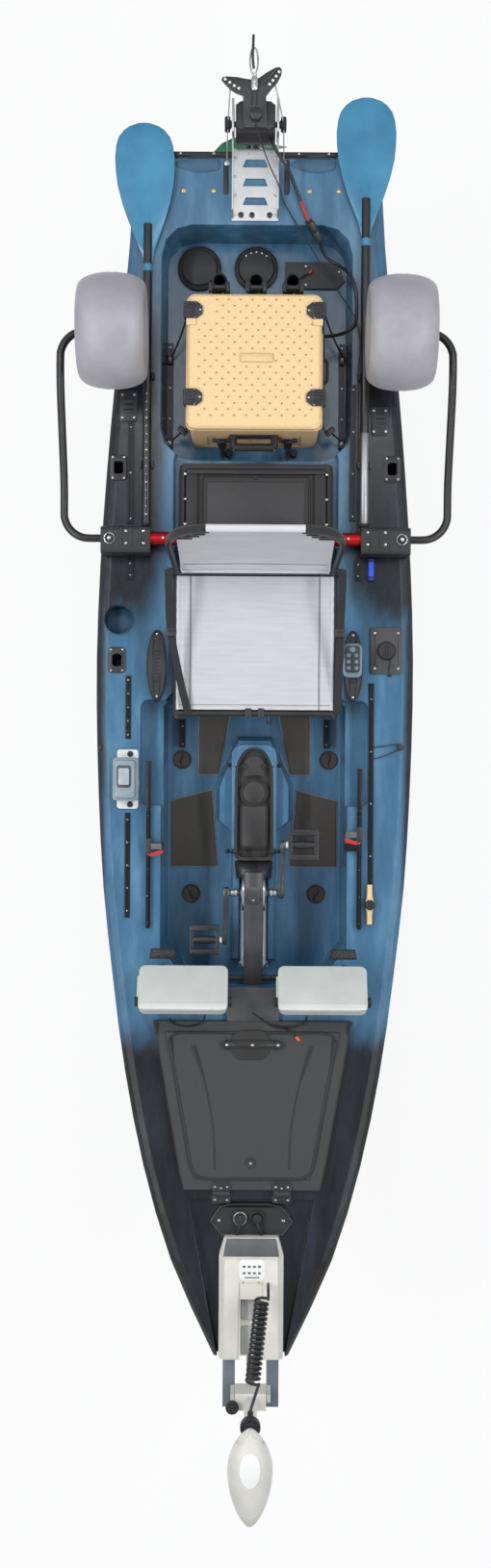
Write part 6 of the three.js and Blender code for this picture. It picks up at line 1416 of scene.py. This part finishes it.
make("bow_mount_covers", rails, off_white)
pad_x, pad_y = 0.002, -1.507
make("bow_keypad", [slab(pad_x, pad_y, 0.08, 0.066, 0.014, top + 0.004, top + 0.0068)], pale_print, "kayak")
keys = [slab(pad_x + dx, pad_y + dy, 0.009, 0.007, 0.002, top + 0.0062, top + 0.008, 0.0006)
        for dx in (-0.024, -0.008, 0.008, 0.024) for dy in (-0.01, 0.01)]
make("bow_keys", keys, trim_grey, "kayak")
make("bow_keypad_bar", [slab(pad_x, -1.531, 0.046, 0.004, 0.001, top + 0.0062, top + 0.0072, 0.0004)],
     trim_grey, "kayak")
make("bow_mount_screws", [screw_head(sign * 0.024, -1.5465, top + 0.0045, 0.0032) for sign in (-1, 1)],
     brass)
ramp_covers = [lofted([[(sign * x, y, z + lift)
                        for x, lift in ((0.049, -0.003), (0.049, 0.0022), (0.0515, 0.0035),
                                        (0.0855, 0.0035), (0.0875, 0.0022), (0.0875, -0.003))]
                       for y, z in ((-1.79, 0.4222), (-1.86, 0.424), (-1.93, 0.4257), (-1.941, 0.422),
                                    (-1.9415, 0.412))]) for sign in (-1, 1)]
make("bow_ramp_covers", ramp_covers, moulded("ramp_grey", (0.12, 0.15, 0.18), 0.42, 700), "kayak")
make("bow_slot_block", [slab(-0.004, -1.64, 0.056, 0.07, 0.006, 0.3985, 0.408, 0.003),
                        slab(-0.008, -1.74, 0.05, 0.09, 0.01, 0.3985, 0.404, 0.002)],
     moulded("slot_grey", (0.34, 0.35, 0.34), 0.45, 700))
dress("bow_cradle", off_white)
dress("bow_shaft", bar_black)
shaft_y = -1.893
make("bow_tilt_knob", [turned([(0.008, 0), (0.018, 0.002), (0.0205, 0.006), (0.0205, 0.018), (0.017, 0.022),
                               (0.0001, 0.0225)], (-0.056, -1.905, 0.5195), count=12)], black_rubber,
     "bow_cradle")
make("bow_collar_bands", [turned([(0.0295, 0), (0.0305, 0.002), (0.0305, 0.008), (0.0295, 0.01)],
                                 (0, shaft_y, z), count=28) for z in (0.71, 0.724)], bar_black,
     "bow_cradle")
make("bow_shaft_boot", [turned([(0.0172, 0), (0.0172, 0.004), (0.0205, 0.006), (0.0205, 0.012),
                                (0.019, 0.0135)], (0, shaft_y, 0.7335), count=24)], black_rubber,
     "bow_motor")

# Steering head: a smooth off-white egg-shaped plastic shell on top of the bow motor's shaft. Its two
# halves meet in a fine seam, and a plain oval panel is glued to its top.
low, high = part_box("bow_head")
length, half = (high.y - low.y) / 2, (high.x - low.x) / 2
middle_y = (low.y + high.y) / 2
widest, shaft_end, sides = 0.42, 0.784, 32
circle = [(math.cos(2 * math.pi * k / sides), math.sin(2 * math.pi * k / sides)) for k in range(sides)]
rings = []
for i in range(29):
    share = (1 - math.cos(math.pi * i / 28)) / 2
    swell = (math.sin(math.pi * share * 0.5 / widest) if share < widest
             else math.cos(math.pi / 2 * (share - widest) / (1 - widest)))
    width = max(half * max(0.00001, swell) ** 0.62, 0.0005)
    rings.append([(width * c, high.y - (high.y - low.y) * share,
                   shaft_end + (high.z - shaft_end if s > 0 else shaft_end - low.z) * width / half * s)
                  for c, s in circle])
head = make("bow_head_shell", [lofted(rings)], off_white, "bow_motor", 60)
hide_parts("bow_head")


def on_head(x, y, rise):
    hit, where, normal, _ = head.ray_cast(Vector((x, y, 1.5)), Vector((0, 0, -1)))
    return (where + normal * rise) if hit else Vector((x, y, high.z))


seam = [on_head(half * 0.86 * math.cos(a), middle_y + 0.02 + length * 0.86 * math.sin(a), 0.0002)
        for a in (2 * math.pi * k / 48 for k in range(49))]
make("bow_head_seam", [tube(seam, 0.0009, 6)], off_white, "bow_motor")
badge_y = -1.975
badge = [on_head(0, badge_y, 0.0008)]
badge += [on_head(0.03 * ring * c, badge_y + 0.048 * ring * s, 0.0008) for ring in (0.5, 1.0)
          for c, s in circle]
faces = [(0, 1 + k, 1 + (k + 1) % sides) for k in range(sides)]
faces += [(1 + k, 1 + sides + k, 1 + sides + (k + 1) % sides, 1 + (k + 1) % sides) for k in range(sides)]
panel_edge = badge[1 + sides:] + badge[1 + sides:3 + sides]
make("bow_head_panel", [([tuple(p) for p in badge], faces), tube(panel_edge, 0.0007, 6)], pale_print,
     "bow_motor")

# Curly cord: a black coiled cable from the mount housing to the shaft's collar, with a ribbed
# boot at its upper end.
cord_black = moulded("cord_black", (0.014, 0.014, 0.015), 0.3, 600)
turns, steps, coil_radius = 17, 26, 0.0195
start, end = Vector((0.034, -1.578, 0.508)), Vector((0.006, -1.782, 0.668))
axis = (end - start).normalized()
across = Vector((0, 0, 1)).cross(axis).normalized()
up_side = axis.cross(across)
coil = []
for i in range(turns * steps + 1):
    angle = 2 * math.pi * i / steps
    coil.append(start + (end - start) * (i / (turns * steps)) + across * (coil_radius * math.cos(angle))
                + up_side * (coil_radius * math.sin(angle)))
first, last = coil[0], coil[-1]
gland, gland_y, collar = 0.43895, first.y + 0.03, 0.719
lead_in = flowing([(first.x, gland_y, gland), (first.x, gland_y, gland + 0.009),
                   (first.x, first.y + 0.024, (gland + first.z) / 2), first], 5)
lead_out = flowing([last, (last.x / 2, last.y - 0.03, (last.z + collar) / 2), (0, -1.8475, collar),
                    (0, -1.8655, collar)], 8)
curly_path = lead_in[:-1] + coil + lead_out[1:]
curly = make("curly_cord_tube", [tube(curly_path, 0.0045, 8)], cord_black, "kayak", 60)
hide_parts("curly_cord")
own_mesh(curly)
boot = make("curly_cord_boot", [turned([(0.0058, 0), (0.0085, 0.002), (0.0085, 0.006), (0.007, 0.007),
                                        (0.0085, 0.008), (0.0085, 0.012), (0.007, 0.013), (0.009, 0.014),
                                        (0.009, 0.019)], (0, -1.8465, collar), (0, -1, 0), 16)],
            black_rubber, "bow_cradle")

# Stern bracket: a silver aluminium plate with three tapered windows, bolts along its side
# flanges and a black toe where it meets the deck.
silver = polished("bracket_silver", (0.62, 0.63, 0.64), 0.34, 0.0012)
dress("motor_bracket", silver)
bolts = [screw_head(x, y, 0.3555, 0.005) for x in (-0.071, 0.055) for y in (1.812, 1.875, 1.935, 1.995)]
make("bracket_bolts", bolts, steel)
toe = [turned([(0.009, 0), (0.009, 0.004), (0.006, 0.006), (0.0001, 0.0065)], (x, 1.813, 0.3553), count=14)
       for x in (-0.053, -0.018, 0.038)]
make("bracket_toe_bolts", toe, bar_black)
dress("stern_housing", bar_black)
dress("stern_shaft", silver)
for name, blade in (("stern_propeller", (0.03, 0.26, 0.12)), ("bow_propeller", (0.03, 0.26, 0.12)),
                    ("drive_propeller", (0.02, 0.02, 0.022))):
    dress(name, moulded(name + "_blades", blade, 0.32, 700))
motor_x, motor_y, cover_y = -0.008, 2.086, 2.093
housing = [slab(motor_x, cover_y, 0.118, 0.088, 0.018, 0.446, 0.4522, 0.0018)]
make("stern_housing_cover", housing, moulded("housing_black", (0.026, 0.026, 0.028), 0.34, 600),
     "stern_tilt")
make("stern_housing_screws", [screw_head(motor_x + dx, cover_y + dy, 0.4494, 0.0032)
                              for dx in (-0.048, 0.048) for dy in (-0.033, 0.033)], steel, "stern_tilt")
side_knobs = []
for sign in (-1, 1):
    x = motor_x + sign * 0.0815
    side_knobs.append(turned([(0.0001, 0), (0.021, 0), (0.0245, 0.003), (0.0245, 0.014), (0.021, 0.0175),
                              (0.0001, 0.018)], (x - sign * 0.002, motor_y, 0.392), (sign, 0, 0), 14))
make("stern_side_knobs", side_knobs, black_rubber, "stern_tilt")

# Motor cable and lines: a power cable with a connector and a red stretch, the lift line to the
# cockpit, and two steering lines with white crimps from the arm's tips to deck eyes.
def routed(points, steps):
    return flowing([(x / 1000, y / 1000, z / 1000) for x, y, z in points], steps)


power_points = [(40, 2032.7, 422.7), (41, 2024, 428), (50, 2000, 436), (80, 1955, 425), (100, 1930, 404),
                (125, 1880, 372), (146, 1830, 360), (162, 1795, 358), (178, 1768, 352), (196, 1742, 326),
                (220, 1700, 300), (262, 1670, 304), (290, 1632, 350), (310, 1585, 362), (316, 1530, 357),
                (312, 1475, 358), (286, 1446, 356), (250, 1438, 338), (222, 1437, 330), (196.6, 1437, 330)]
lift_points = [(-8, 2070.4, 476), (-6, 2050, 474), (30, 1960, 430), (70, 1890, 384), (91, 1840, 360),
               (226, 1617, 362), (320, 1460, 370), (323, 1300, 356), (323, 1000, 354), (323, 668, 351)]
left_points = [(-86.7, 2193.8, 450.8), (-89, 2170, 440), (-94, 2086, 412), (-97, 2040, 386),
               (-98, 2005, 354), (-98, 1985, 351)]
right_points = [(44.5, 2208.8, 450.8), (58, 2170, 440), (78, 2086, 412), (81, 2040, 386), (82, 2005, 354),
                (82, 1985, 351)]
line_black = moulded("line_black", (0.02, 0.02, 0.021), 0.7, 900)
line_steel = moulded("line_steel", (0.3, 0.31, 0.32), 0.4, 900)
red_jacket = moulded("red_jacket", (0.42, 0.03, 0.02), 0.42, 700)


def follows_motor(piece):
    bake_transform(piece)


def declared(name, node, points, thick, paint):
    line = routed(points, 10)
    piece = make(name, [tube(line, thick / 2, 10)], paint, None,
                 60)
    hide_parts(node)
    follows_motor(piece)


def along(points, share):
    line = routed(points, 10)
    i = int(share * (len(line) - 1))
    return line[i], (line[min(i + 1, len(line) - 1)] - line[max(i - 1, 0)]).normalized()


where, ahead = along(power_points, 0.43)
heading = Matrix.Translation(where) @ Vector((0, 1, 0)).rotation_difference(ahead).to_matrix().to_4x4()
connector = make("power_connector", [moved(slab(0, y, w, length, 0.005, -0.011, 0.011, 0.004), heading)
                                     for y, w, length in ((-0.018, 0.043, 0.036), (0.018, 0.036, 0.04))],
                 bar_black, "kayak")
line = routed(power_points, 10)
stretch = line[int(len(line) * 0.29):int(len(line) * 0.385)]
red_part = make("power_red_stretch", [tube(stretch, 0.00575, 10)], red_jacket, "kayak")
declared("power_cable_run", "power_cable", power_points, 0.011, cord_black)
declared("lift_line_run", "lift_line", lift_points, 0.004, line_black)
for side, points in (("left", left_points), ("right", right_points)):
    crimps = []
    for share in (0.12, 0.2):
        where, ahead = along(points, share)
        crimps.append(turned([(0.0022, -0.006), (0.0034, -0.0055), (0.0034, 0.0055), (0.0022, 0.006)],
                             where, ahead, 10))
    crimp = make(f"steering_crimps_{side}", crimps, white_cap, None)
    follows_motor(crimp)
    declared(f"steering_line_run_{side}", f"steering_line_{side}", points, 0.004, line_steel)
    end = points[-1]
    make(f"steering_eye_{side}", [turned([(0.009, 0), (0.009, 0.0022), (0.0045, 0.005), (0.0001, 0.0052)],
                                         (end[0] / 1000, end[1] / 1000 - 0.004, 0.3483), count=16)], steel)

# Stern steering arm and motor leg: a dark plate with two spread wings and lightening holes on
# the shaft's top, a silver pulley block with a steel snap hook, and the leg with its pod.
arm_dark = moulded("arm_dark", (0.03, 0.032, 0.035), 0.38, 600)
wings = [(-44, 2050), (28, 2050), (24, 2148), (41, 2170), (60, 2192), (71, 2214), (73, 2231), (66, 2239),
         (52, 2237), (24, 2221), (2, 2205), (-16, 2199), (-33, 2201), (-66, 2207), (-97, 2209),
         (-111, 2207), (-115, 2198), (-106, 2187), (-88, 2169), (-70, 2157), (-48, 2149)]
turn = Matrix.Translation(Vector((motor_x, motor_y, 0))) @ Matrix.Rotation(math.radians(6.5), 4, "Z")
upright = Matrix(((0, 0, 1, 0), (1, 0, 0, 0), (0, 1, 0, 0), (0, 0, 0, 1)))
pod = [(0.0005, -0.12), (0.018, -0.113), (0.034, -0.092), (0.044, -0.058), (0.048, 0), (0.047, 0.07),
       (0.04, 0.115), (0.03, 0.138), (0.0005, 0.138)]
leg = [plate([(x / 1000, y / 1000) for x, y in wings], 0.4533, 0.4637, 0.003),
       turned([(0.015, -0.17), (0.015, 0.4715), (0.0185, 0.472), (0.0205, 0.475), (0.0205, 0.484),
               (0.017, 0.488), (0.0005, 0.4885)], (motor_x, motor_y, 0), count=28),
       moved(turned(pod, (0, 0, -0.18), (0, 1, 0), 32), turn),
       moved(plate([(-0.0275, -0.18), (0.0, -0.3), (0.0275, -0.3), (0.055, -0.18)][::-1], -0.005, 0.005,
                   0.002), turn @ upright)]
steering = make("steering_wings", leg, arm_dark, "stern_motor", 50)
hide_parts("stern_shaft")
holes = [turned([(0.0001, 0), (0.0044, 0), (0.0044, 0.0005), (0.0001, 0.0005)],
                (x / 1000, y / 1000, 0.4636), count=14)
         for x, y in ((64, 2223), (55, 2209), (45, 2196), (35, 2184), (-103, 2199), (-89, 2189),
                      (-75, 2179), (-61, 2171))]
make("steering_wing_holes", holes, pale_print, "stern_motor")
ridges = [tube(flowing([(x / 1000, y / 1000, 0.464) for x, y in line], 4), 0.003, 8)
          for line in (((-20, 2120), (-22, 2165), (-60, 2190), (-100, 2203)),
                       ((-4, 2120), (0, 2170), (30, 2205), (60, 2233)))]
make("steering_wing_ribs", ridges, arm_dark, "stern_motor")
block = [slab(-0.012, 2.183, 0.021, 0.046, 0.009, 0.4635, 0.4765, 0.004),
         turned([(0.0055, 0), (0.0055, 0.002), (0.0001, 0.003)], (-0.012, 2.19, 0.476), count=16)]
oval = [(-0.014 + 0.0125 * math.cos(a), 2.252 + 0.042 * math.sin(a), 0.4725)
        for a in (2 * math.pi * k / 24 for k in range(26))]
block += [tube(oval, 0.0028, 8), tube(flowing([(-0.012, 2.2, 0.471), (-0.006, 2.208, 0.4725),
                                               (-0.012, 2.215, 0.4725), (-0.018, 2.208, 0.4725),
                                               (-0.013, 2.2, 0.471)], 4), 0.0026, 8)]
make("steering_block", block, silver, "stern_motor", 50)
make("steering_hook_tip", [tube(flowing([(-0.0145, 2.228, 0.474), (-0.018, 2.262, 0.476),
                                         (-0.017, 2.3, 0.4755), (-0.016, 2.333, 0.4735)], 4), 0.0042, 8)],
     arm_dark, "stern_motor", 50)
make("bracket_cheeks", [slab(x, 2.0955, 0.0075, 0.105, 0.0025, 0.352, 0.4465) for x in (-0.0785, 0.0625)],
     silver, "kayak")

# Gear rails on the side decks: black anodised channels sunk into the deck, with small screws;
# the right one carries a tan cleat under a black knob and a bungee to a hook at the hull's edge.
def deck_rail(name, x, y0, y1):
    shape = [(-0.0085, -0.002), (-0.0085, 0.004), (-0.0045, 0.0045), (-0.004, 0.0018), (0.004, 0.0018),
             (0.0045, 0.0045), (0.0085, 0.004), (0.0085, -0.002)]
    make(name, [lofted([[(x + dx, y, DECK + dz) for dx, dz in shape] for y in (y0, y1)])], anodised)
    make(name + "_screws", [screw_head(x, y0 + (y1 - y0) * (k + 0.3) / 4.6, DECK + 0.001, 0.003)
                            for k in range(5)], steel)


deck_rail("gear_rail_left_rear", -0.401, 0.15, 0.35)
deck_rail("gear_rail_left_front", -0.401, -0.418, -0.085)
deck_rail("gear_rail_right", 0.37, -0.434, 0.33)
cleat_tan = moulded("cleat_tan", (0.75, 0.52, 0.25), 0.5)
bar = []
for k in range(13):
    t = k / 12
    half = 0.0085 + 0.006 * math.exp(-((t - 0.5) / 0.14) ** 2)
    y = -0.308 - 0.126 * t
    lift = 0.353 + 0.006 * math.exp(-((t - 0.5) / 0.3) ** 2)
    bar.append([(0.368 + half * sx, y, lift + dz)
                for sx, dz in ((-0.9, 0), (-1, 0.004), (-0.7, 0.008), (0.7, 0.008), (1, 0.004), (0.9, 0))])
make("cleat_bar", [lofted(bar)], cleat_tan)
make("cleat_knob", [turned([(0.012, 0), (0.0165, 0.002), (0.0165, 0.011), (0.0135, 0.014), (0.006, 0.0145),
                            (0.0055, 0.012), (0.0001, 0.012)], (0.368, -0.372, 0.3665), count=10)],
     black_rubber)
make("deck_hook", [turned([(0.011, 0), (0.011, 0.003), (0.006, 0.006), (0.005, 0.012), (0.009, 0.016),
                           (0.009, 0.019), (0.0001, 0.021)], (0.461, 0.128, DECK), count=18)],
     black_plastic)
make("deck_button_left", [turned([(0.009, 0), (0.009, 0.003), (0.006, 0.006), (0.0001, 0.0068)],
                                 (-0.488, 0.122, 0.34), count=16)], black_plastic)
loop = flowing([(0.37, 0.128, 0.3545), (0.41, 0.131, 0.356), (0.452, 0.137, 0.358), (0.472, 0.128, 0.358),
                (0.452, 0.118, 0.358), (0.41, 0.1, 0.356), (0.37, 0.088, 0.3545)], 6)
make("deck_hook_bungee", [tube(loop, 0.0017, 7)], line_black, "kayak")

# Drive slot lining: sloped side walls in the hull's own colour below the slot's rim, which
# close the view to the floor beside the drive's leg and leave its swing free.
lining = []
for sign in (-1, 1):
    rings = []
    for y, pinch in ((-0.59, 0.016), (-0.57, 0.0), (-0.2, 0.0), (0.1, 0.0), (0.122, 0.016)):
        rings.append([(sign * 0.0475, y, 0.209), (sign * (0.0455 - pinch), y, 0.206),
                      (sign * (0.036 - pinch), y, 0.14), (sign * (0.0335 - pinch), y, 0.02),
                      (sign * 0.0475, y, 0.012)])
    lining.append(lofted(rings))
make("drive_slot_lining", lining, hull_paint, "kayak")

# Crate bungees: two black elastic cords on each side, one from the crate's rear corner to the
# rail's slider and one along its wall to the rail's front end, with a buckle on the way.
for side, sign in (("left", -1), ("right", 1)):
    wall = 0.2065 + 0.0065 * (sign < 0)
    anchor = (sign * wall, 1.528, 0.34)
    make(f"bungee_anchor_{side}", [slab(sign * wall, 1.53, 0.008, 0.03, 0.003, 0.325, 0.352, 0.002)],
         black_plastic)
    rail_x = sign * (0.2815 if side == "left" else 0.2885)
    runs = (("rear", [anchor, (sign * 0.245, 1.45, 0.272), (rail_x, 1.385, 0.212)]),
            ("front", [(sign * (wall + 0.004), 1.52, 0.33), (sign * (wall + 0.007), 1.35, 0.322),
                       (sign * (wall + 0.007), 1.155, 0.316), (sign * 0.246, 1.137, 0.27),
                       (rail_x, 1.118, 0.212)]))
    for label, points in runs:
        line = flowing(points, 8)
        cord = make(f"crate_bungee_{label}_{side}", [tube(line, 0.0028, 8)], line_black, "kayak",
                    60)
    make(f"bungee_buckle_{side}", [moved(slab(0, 0, 0.02, 0.034, 0.004, -0.005, 0.006, 0.003),
                                         Matrix.Translation((sign * 0.236, 1.1415, 0.289))
                                         @ Matrix.Rotation(sign * -0.9, 4, "Z"))], black_plastic)

# Display leads: black cables that lie on the hatch lid's rear edge under the displays, one with
# a spare branch that ends in an orange cap.
leads = (("right", [(0.0, -0.715, 0.372), (0.035, -0.74, 0.376), (0.075, -0.758, 0.381),
                    (0.13, -0.757, 0.381), (0.16, -0.745, 0.39), (0.17, -0.72, 0.42)]),
         ("right_branch", [(0.06, -0.752, 0.383), (0.1, -0.761, 0.3865), (0.126, -0.776, 0.386),
                           (0.138, -0.789, 0.3855)]), ("left",
                                                       [(-0.15, -0.715, 0.4), (-0.16, -0.745, 0.381),
                                                        (-0.2, -0.757, 0.3795), (-0.245, -0.752, 0.379),
                                                        (-0.262, -0.73, 0.4)]))
for side, points in leads:
    line = flowing(points, 8)
    lead = make(f"display_lead_{side}", [tube(line, 0.003, 8)], cord_black, "kayak", 60)
make("display_lead_end", [turned([(0.002, 0), (0.005, 0.001), (0.005, 0.014), (0.003, 0.018)],
                                 (0.136, -0.787, 0.3855), (0.65, -0.76, 0), 14)],
     moulded("lead_orange", (0.75, 0.12, 0.02), 0.45))
